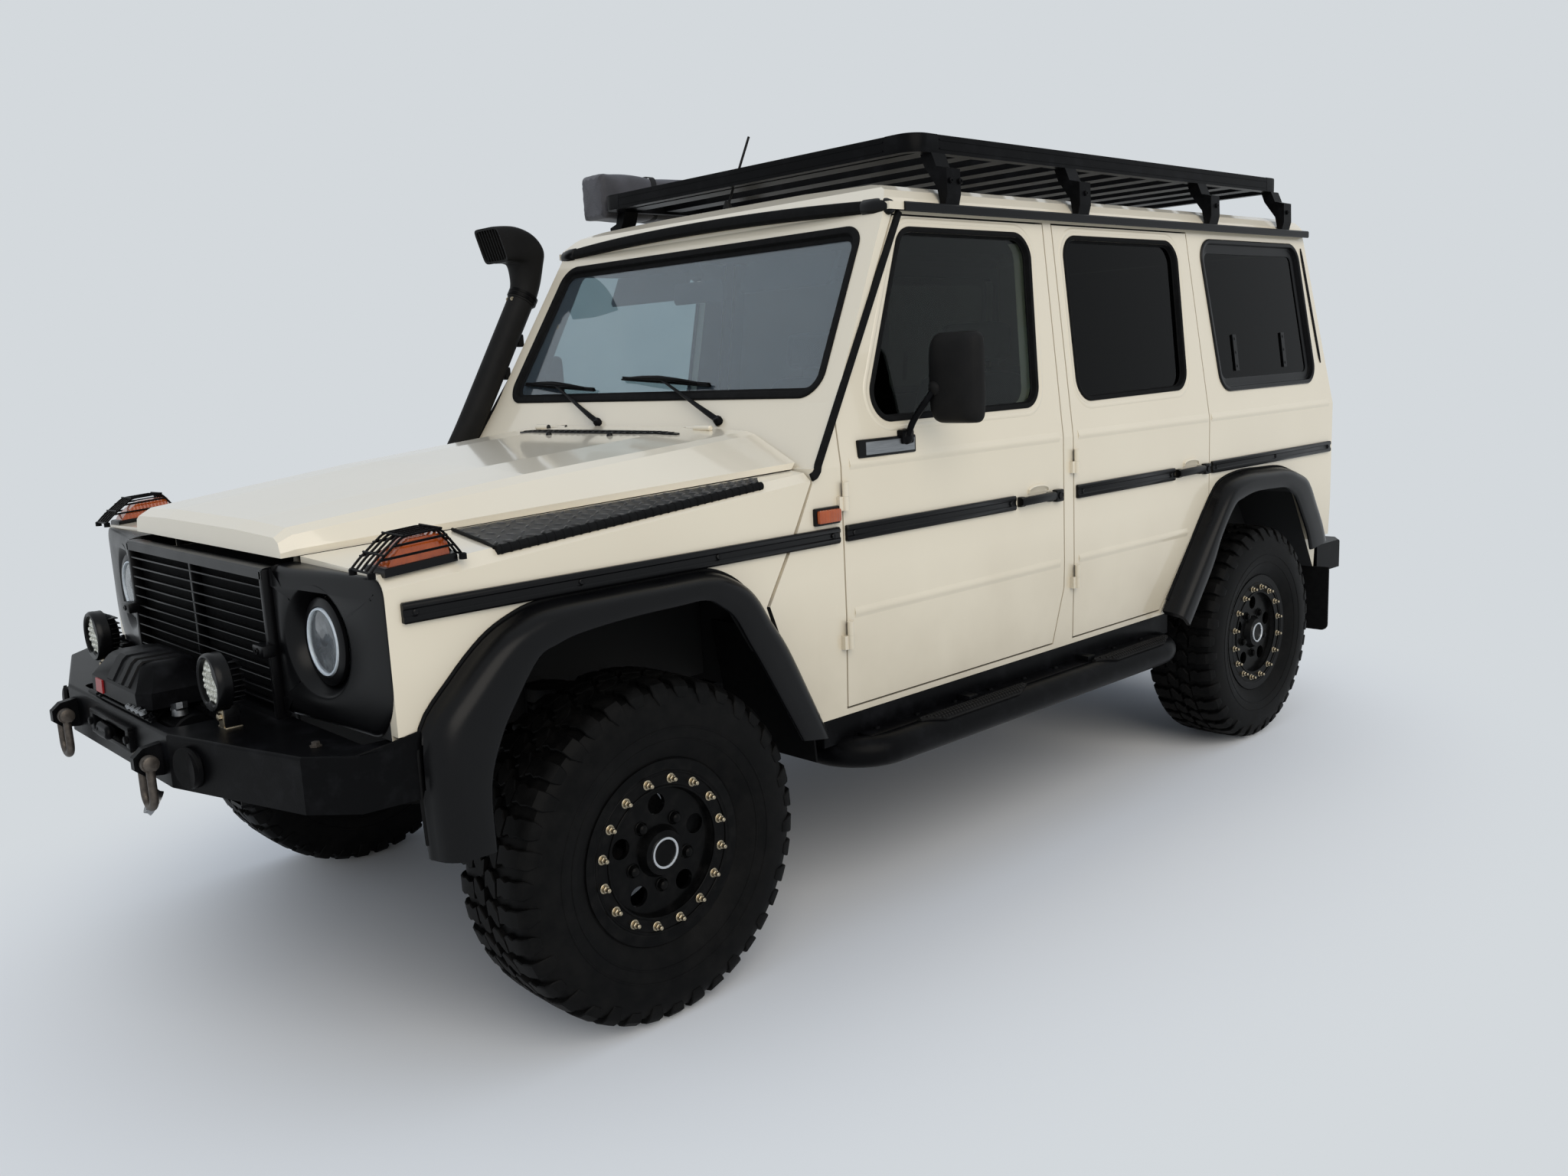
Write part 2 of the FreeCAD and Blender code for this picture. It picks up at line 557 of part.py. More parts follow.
cab = cut("cab_hollow", cab, prism("cab_inside", "side", inside, "-900", "900"))

# windscreen opening, square to the screen's own plane
screen_low = Vector(0, num("body_front_y + 118"), num("high_crease_z + 162"))
screen_high = Vector(0, num("body_front_y + 383"), num("gutter_z - 25"))
screen_up = (screen_high - screen_low).normalize()
screen_out = X_AXIS.cross(screen_up) * -1 if X_AXIS.cross(screen_up).y > 0 else X_AXIS.cross(screen_up)


def screen_plate(name, low_half, high_half, depth, thick):
    """Plate in the windscreen's plane, its lower edge 32 mm up the screen."""
    tall = (screen_high - screen_low).Length - 62
    sketch = outline(name + "_outline", "plan", [("-(%s)" % low_half, 0), (low_half, 0), (high_half, tall),
                                                  ("-(%s)" % high_half, tall)])
    sketch.setExpression("Placement.Base.z", None)
    sketch.Placement = Placement(screen_low + screen_up * 32 + screen_out * depth,
                                 Rotation(X_AXIS, screen_up, X_AXIS.cross(screen_up), "XYZ"))
    plate = doc.addObject("Part::Extrusion", name)
    plate.Base = sketch
    plate.DirMode = "Custom"
    plate.Dir = screen_out
    plate.LengthFwd = thick
    plate.Solid = True
    return rounded(plate, "window_corner - 10", along(screen_out))


cab = cut("cab_screened", cab, screen_plate("screen_opening", "side_x - 109", "side_x - 159", -80, 140))
node("windscreen", screen_plate("screen_glass", "side_x - 109", "side_x - 159", -18, num("glass_thick")))

# rear doorway, wheel arches and wheel houses
tail_outline = [("-tail_half", "sill_z + 129"), ("tail_half", "sill_z + 129"), ("tail_half", "high_crease_z"),
                ("tail_half - 50", "gutter_z - 60"), ("-(tail_half - 50)", "gutter_z - 60"),
                ("-tail_half", "high_crease_z")]
tail_slab = [("body_rear_y - 52", "sill_z"), ("body_rear_y", "sill_z"), ("body_rear_y", "high_crease_z"),
             ("roof_rear_y", "gutter_z"), ("roof_rear_y - 52", "gutter_z"), ("body_rear_y - 52", "high_crease_z")]
doorway = widened("rear_doorway", tail_outline, "door_gap", "roof_rear_y - 90", "body_rear_y + 100", "cross")
cab = cut("cab_rear_open", cab, doorway, prism("cab_arch", "side", rear_arch, "598", "900"),
          mirrored(prism("cab_arch_right", "side", rear_arch, "598", "900")))
house_outline = [("wheelbase - 535", "sill_z"), ("wheelbase - 318", "low_crease_z + 52"),
                 ("wheelbase - 218", "low_crease_z + 130"), ("wheelbase + 216", "low_crease_z + 140"),
                 ("wheelbase + 350", "low_crease_z + 74"), ("wheelbase + 545", "sill_z + 59"),
                 ("wheelbase + 588", "sill_z")]
house = cut("wheel_house", overlap("wheel_house_shell", inner_block, prism("wheel_house_block", "side",
                                                                         house_outline, "580", "side_x")),
            prism("wheel_house_inside", "side", rear_arch, "598", "900"))
pieces = [cab, house, mirrored(house)]

# ---------------------------------------------------------------- tail door
tail = overlap("tail_blank", prism("tail_plate", "cross", tail_outline, "roof_rear_y - 90", "body_rear_y + 100"),
               prism("tail_slab", "side", tail_slab, "-900", "900"))
tail_window = rounded(prism("tail_window_opening", "cross", [
    ("-(tail_half - 95)", "high_crease_z + 65"), ("tail_half - 95", "high_crease_z + 65"),
    ("tail_half - 120", "gutter_z - 120"), ("-(tail_half - 120)", "gutter_z - 120")],
    "roof_rear_y - 90", "body_rear_y + 100"), "window_corner", along(Y_AXIS))
tail_pieces = [cut("tail_framed", tail, tail_window)]
pin_x, pin_y = "-(tail_half + door_gap / 2)", "body_rear_y + hinge_out"
for i, z in enumerate(("low_crease_z - 40", "high_crease_z - 75")):
    label = "tail_hinge_%d" % i
    low = "%s - hinge_tall - run_gap" % z
    tail_pieces.append(rod(label + "_upper", "z", pin_x, pin_y, z, "hinge_radius", "hinge_tall"))
    tail_pieces.append(box(label + "_leaf", (pin_x, "-tail_half + 18"), ("body_rear_y", pin_y),
                           (z, z + " + hinge_tall")))
    pieces.append(rod(label + "_lower", "z", pin_x, pin_y, low, "hinge_radius", "hinge_tall"))
    pieces.append(box(label + "_plate", (pin_x + " - 22", pin_x), ("body_rear_y", pin_y),
                      (low, low + " + hinge_tall")))
node("tail_door", join("tail_door", *tail_pieces))
node("tail_window", overlap("tail_pane", prism("tail_glass_sheet", "side", [
    ("body_rear_y - glass_inset - glass_thick", "high_crease_z"), ("body_rear_y - glass_inset", "high_crease_z"),
    ("roof_rear_y - glass_inset", "gutter_z"), ("roof_rear_y - glass_inset - glass_thick", "gutter_z")],
    "-900", "900"), tail_window))

# ---------------------------------------------------------------- roof
# one cross-section with a gutter on each side, sloped off at the front and the rear
CROWN = 96
# step in from the gutter, share of the crown's height
SHOULDER = [(8, 0.36), (30, 0.6), (70, 0.78), (130, 0.88), (420, 0.99)]


def roof_section(inset):
    half = [("gutter_x + 20", "gutter_z"), ("gutter_x + 20", "gutter_z + 20"), ("gutter_x", "gutter_z + 20")]
    if inset:
        half = [("gutter_x - %d" % inset, "gutter_z - 5")]
    for into, share in SHOULDER:
        half.append(("gutter_x - %g" % (into + inset), "gutter_z + %g" % ((CROWN - inset * 0.8) * share)))
    return half + [("-(%s)" % x, z) for x, z in half[::-1]]


def roof_slope(inset):
    low = "gutter_z" if not inset else "gutter_z - 6"
    points = [("body_front_y + %g" % (into + inset), "gutter_z + %g" % (rise - inset * 0.8))
              for into, rise in ((397, 26), (445, 66), (525, 96.5))]
    points += [("roof_rear_y - %g" % (into + inset), "gutter_z + %g" % (rise - inset * 0.8))
               for into, rise in ((70, 96.5), (20, 82), (0, 46))]
    return [("body_front_y + %g" % (397 + inset), low)] + points + [("roof_rear_y - %g" % inset, low)]


def roof_form(name, inset):
    return overlap(name, prism(name + "_section", "cross", roof_section(inset), "800", "body_rear_y"),
                   prism(name + "_slope", "side", roof_slope(inset), "-900", "900"))


node("roof", cut("roof", roof_form("roof_outer", 0), roof_form("roof_inner", 28)))

# ---------------------------------------------------------------- bonnet
# station, half width, lower edge, (step in, rise) along the section, lean of the section
nose = [(0, 0), (0, 10), (8, 32), (28, 42), (240, 47)]
second = [(0, 0), (0, 14), (12, 44), (40, 58), (240, 64)]
middle = [(0, 0), (0, 16), (96, 66), (140, 78), (330, 90)]
rear = [(0, 0), (0, 16), (200, 82), (240, 90), (470, 100)]
BONNET = [("bonnet_front_y", "bonnet_front_x", "bonnet_nose_z", nose, 0),
          ("bonnet_front_y + 30", "bonnet_front_x + 8", "bonnet_nose_z + 2", second, 0),
          ("(bonnet_front_y + bonnet_rear_y) / 2", "(bonnet_front_x + bonnet_rear_x) / 2",
           "bonnet_nose_z + bonnet_rise / 2", middle, 0),
          ("bonnet_rear_y", "bonnet_rear_x", "bonnet_nose_z + bonnet_rise", rear, 0.75)]


def bonnet_loft(name, inset):
    rows = []
    for i, (y, half_width, edge_z, steps, lean) in enumerate(BONNET):
        long = math.hypot(1, lean)
        drop = [0, 0.5, 0.9, 1, 1]
        half = [("%s - %g" % (half_width, step + inset),
                 "%g" % ((rise - drop[k] * inset - (1 if inset and k == 0 else 0)) * long))
                for k, (step, rise) in enumerate(steps)]
        sketch = outline("%s_%d" % (name, i), "cross", half + [("-(%s)" % x, z) for x, z in half[::-1]],
                         "%s + %d" % (y, (-3, 0, 0, 3)[i] * (inset > 0)))
        sketch.Placement = Placement(sketch.Placement.Base, Rotation(X_AXIS, Vector(0, lean, 1),
                                                                     X_AXIS.cross(Vector(0, lean, 1)), "XYZ"))
        sketch.setExpression("Placement.Base.z", bind(edge_z))
        rows.append(sketch)
    return loft(name, rows)


bonnet_skin = bonnet_loft("bonnet_outer", 0)
bonnet_under = bonnet_loft("bonnet_inner", num("bonnet_thick"))
nose_lip = box("bonnet_nose_lip", ("-500", "500"), ("bonnet_front_y - 10", "bonnet_front_y + 18"),
               ("bonnet_nose_z - 40", "bonnet_nose_z + 120"))
lid = cut("bonnet_shell", bonnet_skin, cut("bonnet_hollow", bonnet_under, nose_lip))
# hinge barrels in notches of the rear edge, on straps under the skin
hinge_y, hinge_z = "body_front_y + 52", "bonnet_nose_z + bonnet_rise + 95"
lid_pieces = []
for side, sign in (("left", 1), ("right", -1)):
    own = [str(sign * x) for x in (300, 336)][::sign]
    other = ["%d %s run_gap" % (sign * x, "+-"[sign < 0]) for x in (336, 372)][::sign]
    notch = [str(sign * x) for x in (295, 378)][::sign]
    lid = cut("bonnet_notched", lid, box("hinge_notch_" + side, notch, (hinge_y + " - 13", hinge_y + " + 30"),
                                         (hinge_z + " - 40", hinge_z + " + 20")))
    lid_pieces.append(join("lid_hinge_" + side,
                           rod("lid_barrel_" + side, "x", own[0], hinge_y, hinge_z, "hinge_radius - 2", "hinge_tall"),
                           box("lid_web_" + side, own, (hinge_y + " - 7", hinge_y), (hinge_z + " - 22", hinge_z)),
                           box("lid_strap_" + side, own, (hinge_y + " - 66", hinge_y),
                               (hinge_z + " - 22", hinge_z + " - 10"))))
    pieces.append(rod("cowl_barrel_" + side, "x", other[0], hinge_y, hinge_z, "hinge_radius - 2", "hinge_tall"))
    pieces.append(box("cowl_arm_" + side, other, (hinge_y, hinge_y + " + 30"),
                      (hinge_z + " - hinge_radius + 2", hinge_z + " + hinge_radius - 2")))
lid_pieces.append(lid)
bonnet = join("bonnet", *lid_pieces)
bonnet.Refine = False
node("bonnet", bonnet)
node("cab_shell", join("cab_shell", *pieces))

# ---------------------------------------------------------------- wings
# station, inner edge, heights of the inner edge, shoulder and side
WING = [("wing_front_y", "bonnet_front_x + 10 + panel_gap", "bonnet_nose_z + 2", "bonnet_nose_z - 9",
         "bonnet_nose_z - 37"),
        ("body_front_y - 4", "bonnet_rear_x - 8 + panel_gap", "bonnet_nose_z + bonnet_rise - 3",
         "bonnet_nose_z + bonnet_rise - 8", "bonnet_nose_z + bonnet_rise - 27")]


def wing_loft(name, inset):
    rows = []
    for i, (y, inner, inner_z, shoulder_z, side_z) in enumerate(WING):
        inner += " - 2" if inset else ""
        points = [(inner, "%s - %s" % (inner_z, inset)), ("side_x - 23", "%s - %s" % (shoulder_z, inset)),
                  ("side_x - %s" % inset, "%s - (%s) / 2" % (side_z, inset)), ("side_x - %s" % inset, "sill_z + 29"),
                  (inner, "sill_z + 29")]
        rows.append(outline("%s_%d" % (name, i), "cross", points, y + (" + %s" % inset if i == 0 and inset else "")))
    return loft(name, rows)


front_arch = [("-470", "sill_z - 11"), ("-440", "low_crease_z - 60"), ("-345", "low_crease_z + 85"),
              ("-250", "low_crease_z + 135"), ("190", "low_crease_z + 145"), ("275", "low_crease_z + 85"),
              ("365", "low_crease_z - 60"), ("445", "sill_z - 11")]
wing = cut("wing_skin", wing_loft("wing_outer", 0), wing_loft("wing_inner", "skin"),
           box("wing_below", ("0", "1000"), ("-800", "800"), ("500", "low_crease_z - 40")),
           prism("wing_nose_cut", "side", [("wing_front_y - 20", "700"), ("wing_front_y - 20", "low_crease_z - 28"),
                                           ("-552", "low_crease_z - 28"), ("-552", "700")], "0", "1000"),
           prism("front_arch", "side", front_arch, "700", "1000"),
           prism("scuttle_gap", "side", [
               ("body_front_y + 40", "sill_z + 19"), ("body_front_y - 60", "sill_z + 19"),
               ("body_front_y - 174", "low_crease_z + 65"), ("body_front_y - 72", "high_crease_z - 152"),
               ("body_front_y - 6", "high_crease_z - 31"), ("body_front_y - 6", "high_crease_z + 35"),
               ("body_front_y + 40", "high_crease_z + 35")], "700", "1000"))
inner_wing = box("inner_wing", ("rail_out - 8", "rail_out + 7"), ("wing_front_y", "body_front_y - 4"),
                 ("rail_top + 40", "bonnet_nose_z - 39"))
shelf = box("arch_top", ("rail_out + 7", "side_x - skin"), ("-500", "body_front_y - 4"),
            ("low_crease_z + 145", "low_crease_z + 160"))
front_wall = box("lamp_wall", ("rail_out + 7", "side_x - skin"), ("wing_front_y", "wing_front_y + 15"),
                 ("low_crease_z - 40", "bonnet_nose_z - 39"))
bowl = rod("lamp_hole", "y", "lamp_x", "wing_front_y - 10", "lamp_z", "lamp_radius + 1", "60")
arch_front = box("arch_front", ("rail_out + 7", "side_x - skin"), ("-500", "-490"),
                 ("low_crease_z - 40", "low_crease_z + 150"))
stop_foot = rod("lid_stop_foot", "z", "rail_out", "-560", "bonnet_nose_z - 60", "7", "66")
stop = overlap("lid_stop", rod("lid_stop_post", "z", "rail_out", "-560", "bonnet_nose_z - 60", "7", "200"),
               bonnet_loft("lid_stop_top", num("bonnet_thick") + 0.4))
wing = cut("wing_left", join("wing_whole", wing, inner_wing, shelf, front_wall, arch_front, stop_foot, stop), bowl,
           box("wing_rear_trim", ("300", "1000"), ("body_front_y - 5", "700"), ("500", "1300")))
node("wings", both("wings", wing))

# ---------------------------------------------------------------- grille and headlamps
face = "lamp_face_y - 13"
grille = box("grille_block", ("-grille_half", "grille_half"), (face, face + " + grille_depth"),
             ("bumper_top_z", "grille_top_z"))
grille = cut("grille_nosed", grille, prism("grille_bevel", "side", [
    (face + " - 30", "grille_top_z - 10"), (face, "grille_top_z - 18"), (face + " + 23", "grille_top_z + 8"),
    (face + " - 30", "grille_top_z + 8")], "-500", "500"))
row = box("slot", ("5", "grille_half - 25"), (face + " - 10", face + " + 16"),
          ("grille_top_z - 292", "grille_top_z - 292 + slot_tall"))
slots = []
for i in range(12):
    slot = box("slot_%d" % i, ("5", "grille_half - 25"), (face + " - 10", face + " + 18"),
               ("grille_top_z - 292 + %d * slot_pitch" % i, "grille_top_z - 292 + %d * slot_pitch + slot_tall" % i))
    slots += [slot, mirrored(slot)]
doc.removeObject(row.Name)
node("grille", cut("grille", grille, group("grille_slots", *slots)))

surround = prism("surround_block", "plan", [
    ("grille_half", "wing_front_y"), ("grille_half", "lamp_face_y"), ("side_x - 71", "lamp_face_y"),
    ("side_x - 19", "lamp_face_y + 21"), ("side_x", "wing_front_y")], "low_crease_z - 40", "bonnet_nose_z - 11")
corner = prism("surround_corner", "cross", [("side_x + 60", "700"), ("side_x + 60", "low_crease_z + 50"),
                                            ("side_x - 90", "700")], "-700", "-500")
surround = rounded(cut("surround_cornered", surround, corner), "18", lambda edge: (
    along(Z_AXIS)(edge) and edge.CenterOfMass.x > num("side_x - 80") and edge.CenterOfMass.y < num("wing_front_y - 5")))
surround = cut("headlamp_surround", surround,
               cone("lamp_cone", "-y", "lamp_x", "lamp_face_y + 30", "lamp_z", "lamp_radius + 1",
                    "lamp_radius + 26", "30"),
               rod("lamp_barrel", "-y", "lamp_x", "wing_front_y + 1", "lamp_z", "lamp_radius + 1", "40"))
node("headlamp_surrounds", both("headlamp_surrounds", surround))
# the lens is domed, and its rim seats in the wing's hole
lens = doc.addObject("Part::Sphere", "lens_dome")
lens.Radius = 260
put(lens, "lamp_x", "wing_front_y - 25 + 242", "lamp_z")
lamp = join("headlamp", overlap("lens", lens, rod("lens_bore", "-y", "lamp_x", "wing_front_y - 14", "lamp_z",
                                                  "lamp_radius", "60")),
            rod("lamp_can", "-y", "lamp_x", "wing_front_y + 15", "lamp_z", "lamp_radius", "30"),
            rod("lamp_rim", "-y", "lamp_x", "wing_front_y + 15", "lamp_z", "lamp_radius + 1", "14"))
node("headlamps", both("headlamps", lamp))

# ---------------------------------------------------------------- wheel-arch flares
# each flare is lofted round its arch: a quarter-round from the body side to the outer lip
def flare(name, stations, axle):
    """stations hold the outer edge on the body and the lip, as offsets from the axle and heights."""
    rows = []
    for (oy, oz), (iy, iz) in stations:
        run = math.hypot(iy - oy, iz - oz)
        rows.append((oy, oz, iy, iz, run))
    sections = []
    for i, (oy, oz, iy, iz, run) in enumerate(rows):
        profile = [(0, 0), (14, 0)]
        for turn in (25, 50, 70):
            a = math.radians(turn)
            profile.append((14 + (num("flare_out") - 14) * math.sin(a), run * (1 - math.cos(a))))
        profile += [(num("flare_out"), run * 0.8), (num("flare_out"), run), (0, run)]
        sketch = outline("%s_%d" % (name, i), "plan", [("%g" % x, "%g" % r) for x, r in profile])
        inward = Vector(0, iy - oy, iz - oz).normalize()
        sketch.Placement = Placement(Vector(0, 0, oz), Rotation(X_AXIS, inward, X_AXIS.cross(inward), "XYZ"))
        sketch.setExpression("Placement.Base.z", None)
        sketch.Placement.Base = Vector(0, 0, oz)
        sketch.setExpression("Placement.Base.x", bind("side_x"))
        sketch.setExpression("Placement.Base.y", bind("%s + %g" % (axle, oy)))
        sections.append(sketch)
    return loft(name, sections)


front_flare = flare("front_flare", [
    ((-556, 552), (-442, 552)), ((-560, 700), (-440, 690)), ((-550, 818), (-408, 782)), ((-478, 902), (-369, 846)),
    ((-400, 971), (-309, 925)), ((-332, 1006), (-262, 944)), ((-258, 1024), (-206, 957)),
    ((-100, 1027), (-85, 967)), ((60, 1027), (60, 971)), ((190, 1025), (140, 971)), ((262, 1002), (185, 948)),
    ((318, 960), (224, 916)), ((362, 895), (264, 850)), ((416, 817), (306, 781)), ((486, 680), (368, 672)),
    ((549, 552), (425, 572))], "0")
front_flare = cut("front_flare_notched", front_flare, box(
    "bumper_end_notch", ("side_x - 41", "side_x + 17"), ("-700", "-504"), ("bumper_low_z - 8", "bumper_top_z + 8")))
rear_flare = flare("rear_flare", [
    ((-618, 586), (-560, 532)), ((-470, 758), (-408, 712)), ((-372, 874), (-343, 816)), ((-290, 962), (-252, 913)),
    ((-224, 1001), (-190, 934)), ((-97, 1019), (-90, 948)), ((60, 1016), (50, 945)), ((210, 1009), (147, 938)),
    ((310, 985), (205, 912)), ((395, 948), (239, 883)), ((468, 848), (290, 815)), ((520, 772), (338, 746)),
    ((562, 696), (370, 672))], "wheelbase")
node("front_flares", both("front_flares", front_flare))
node("rear_flares", both("rear_flares", rear_flare))

# ---------------------------------------------------------------- front bumper
def mirrored_plan(points):
    return [("-(%s)" % x, y) for x, y in points[::-1]] + points


plan = [("352", "-868"), ("752", "-755"), ("side_x - 5", "-680"), ("side_x + 9", "-512"), ("side_x - 61", "-512"),
        ("side_x - 71", "-636")]
hollow = [("352 - bumper_plate * 0.7", "-868 + bumper_plate * 1.2"), ("752 - bumper_plate", "-755 + bumper_plate"),
          ("side_x - 5 - bumper_plate * 1.2", "-680 + bumper_plate * 0.6"),
          ("side_x + 9 - bumper_plate", "-511"), ("side_x - 60", "-511"),
          ("side_x - 63", "-628")]
bumper = rounded(prism("bumper_block", "plan", mirrored_plan(plan), "bumper_low_z", "bumper_top_z"), "7",
                 lambda edge: edge.CenterOfMass.y < -640 and edge.CenterOfMass.z > num("bumper_top_z - 2")
                 and abs(edge.CenterOfMass.y + 636) > 2)
bumper = cut("bumper_folded", bumper,
             prism("bumper_hollow", "plan", mirrored_plan(hollow), "bumper_low_z + bumper_plate",
                   "bumper_top_z - bumper_plate"),
             rounded(prism("winch_opening", "plan", mirrored_plan([("312", "-845"), ("312", "-690")]),
                           "bumper_top_z - 15", "bumper_top_z + 15"), "25", along(Z_AXIS)),
             rounded(box("fairlead_window", ("-95", "95"), ("-880", "-850"),
                         ("(bumper_low_z + bumper_top_z) / 2 - 17", "(bumper_low_z + bumper_top_z) / 2 + 33")),
                     "12", along(Y_AXIS)))
mount = box("bumper_mount", ("rail_in + 5", "rail_out - 5"), ("rail_front_y", "-645"), ("rail_top", "bumper_low_z"))
lug = cut("shackle_lug", prism("shackle_lug_plate", "side", [
    ("-868", "700"), ("-868", "770"), ("-905", "765"), ("-925", "748"), ("-925", "722"), ("-905", "705")],
    "290", "312"), rod("shackle_bore", "x", "289", "-900", "735", "13", "30"))
# round covers close the tow sockets
cover = rod("socket_cover", "-y", "425", "-840", "732", "42", "18")
node("front_bumper", join("front_bumper", bumper, mount, mirrored(mount), lug, mirrored(lug), cover,
                          mirrored(cover)))

# ---------------------------------------------------------------- winch behind the bumper
winch = [rod("winch_drum", "x", "-110", "-770", "745", "36", "220"),
         rod("winch_motor", "x", "110", "-770", "745", "52", "150"),
         rod("winch_gearbox", "x", "-260", "-770", "745", "52", "150")]
for i, x in enumerate(("-120", "100")):
    winch.append(box("winch_plate_%d" % i, (x, x + " + 20"), ("-820", "-720"),
                     ("bumper_low_z + bumper_plate", "bumper_top_z + 5")))
winch.append(box("winch_bridge", ("-110", "110"), ("-815", "-725"), ("bumper_top_z - 5", "bumper_top_z + 40")))
winch_box = prism("winch_box_block", "side", [
    ("-862", "bumper_top_z + 40"), ("-870", "bumper_top_z + 62"), ("-868", "bumper_top_z + 85"),
    ("-838", "bumper_top_z + 132"), ("-805", "bumper_top_z + 147"), ("-730", "bumper_top_z + 151"),
    ("-700", "bumper_top_z + 135"), ("-695", "bumper_top_z + 40")], "-130", "130")
winch.append(rounded(winch_box, "14", lambda edge: abs(edge.CenterOfMass.x) > 129
                     and edge.CenterOfMass.z > num("bumper_top_z + 60")))
winch.append(rod("winch_end_left", "x", "129", "-785", "bumper_top_z + 84", "44", "22"))
winch.append(rod("winch_end_right", "-x", "-129", "-785", "bumper_top_z + 84", "44", "22"))
node("winch", join("winch", *winch))

lamps = []
can = join("driving_lamp_can", rod("lamp_body", "-y", "400", "-731", "bumper_top_z + 100", "62", "50"),
           cone("lamp_back", "y", "400", "-731", "bumper_top_z + 100", "50", "34", "22"),
           box("lamp_foot", ("384", "416"), ("-760", "-740"), ("bumper_top_z", "bumper_top_z + 50")))
recess = rod("lamp_recess", "-y", "400", "-777", "bumper_top_z + 100", "55", "10")
node("driving_lamps", both("driving_lamps", cut("driving_lamp", can, recess)))

# bow shackles hang in the plane across the vehicle, each on a pin through a bumper lug
pin = rod("shackle_pin", "x", "301 - 38", "-900", "735", "12.7", "76")
eyes = [rod("shackle_eye_%d" % i, "x", x, "-900", "735", "18", "14") for i, x in enumerate(("266", "322"))]
arms = [rod("shackle_arm_%d" % i, "z", x, "-900", "664", "9", "66") for i, x in enumerate(("273", "329"))]
bow = doc.addObject("Part::Torus", "shackle_bow")
bow.Radius1, bow.Radius2 = 28, 9
bow.Placement = Placement(Vector(301, -900, 664), Rotation(X_AXIS, 90))
bow = cut("shackle_half_bow", bow, box("shackle_bow_trim", ("240", "360"), ("-930", "-870"), ("664", "712")))
node("tow_shackles", both("tow_shackles", join("shackle", pin, bow, *(arms + eyes))))

# ---------------------------------------------------------------- rear bumper and mudflaps
rear_plan = [("side_x - 41", "body_rear_y - 106"), ("side_x - 1", "body_rear_y - 106"),
             ("side_x + 2", "body_rear_y + 99"), ("side_x - 41", "body_rear_y + 164")]
rear_bumper = prism("rear_bumper_block", "plan", [("-(%s)" % x, y) for x, y in rear_plan[::-1]] + [
    ("-(side_x - 51)", "body_rear_y + 4"), ("side_x - 51", "body_rear_y + 4")] + rear_plan, "sill_z - 31",
    "sill_z + 84")
node("rear_bumper", rounded(rear_bumper, "10", lambda edge: (
    edge.CenterOfMass.z > num("sill_z + 83") and edge.CenterOfMass.y > num("body_rear_y + 90"))))
flap = rounded(box("mudflap", ("tail_half", "side_x + 55"), ("body_rear_y - 123", "body_rear_y - 115"),
                   ("310", "sill_z")), "25", lambda edge: along(Y_AXIS)(edge) and edge.CenterOfMass.z < 320)
node("mudflaps", both("mudflaps", flap))

# ---------------------------------------------------------------- side steps
# a thick tube with both ends bent in to the sill, tread pads and three brackets
tube = [rod("step_tube", "y", "step_x", "step_front_y + 90", "step_z", "step_radius",
            "step_rear_y - step_front_y - 180")]
for end, y, turn in (("front", "step_front_y + 90", -90), ("rear", "step_rear_y - 90", 0)):
    bend = doc.addObject("Part::Torus", "step_bend_" + end)
    bend.setExpression("Radius1", "90")
    bend.setExpression("Radius2", bind("step_radius"))
    bend.Angle3 = 90
    bend.Placement = Placement(Vector(), Rotation(Z_AXIS, turn))
    put(bend, "step_x - 90", y, "step_z")
    tube.append(bend)
    tube.append(rod("step_end_" + end, "-x", "step_x - 90",
                    "step_front_y" if end == "front" else "step_rear_y", "step_z", "step_radius",
                    "step_x - 90 - rail_out"))
tube_line = join("step_tube_bent", *tube)
step_parts = [tube_line]
for i, y in enumerate(("(step_front_y + step_rear_y) / 2 - 300", "(step_front_y + step_rear_y) / 2 + 300")):
    step_parts.append(box("step_bracket_%d" % i, ("rail_out", "step_x"), (y + " - 20", y + " + 20"),
                          ("frame_z + 6", "frame_z + 30")))
    step_parts.append(box("step_stay_%d" % i, ("step_x - 20", "step_x"), (y + " - 20", y + " + 20"),
                          ("step_z", "frame_z + 30")))
for i, (low, high) in enumerate((("step_front_y + 245", "step_front_y + 727"),
                                 ("step_rear_y - 496", "step_rear_y - 40"))):
    pad = prism("step_pad_%d" % i, "cross", [
        ("sill_x - 2", "step_z + 55"), ("sill_x - 2", "step_z + 64"), ("step_x - 8", "step_z + 64"),
        ("step_x + 30", "step_z + 52"), ("step_x + 38", "step_z + 28"), ("step_x - 8", "step_z + 34"),
        ("step_x - 20", "step_z + 55")], low, high)
    step_parts.append(pad)
step_parts.append(box("sill_board", ("sill_x - 42", "sill_x"), ("front_door_front_y - 95", "rear_door_rear_y - 261"),
                      ("step_z + 28", "sill_z")))
node("side_steps", both("side_steps", join("side_step", *step_parts)))

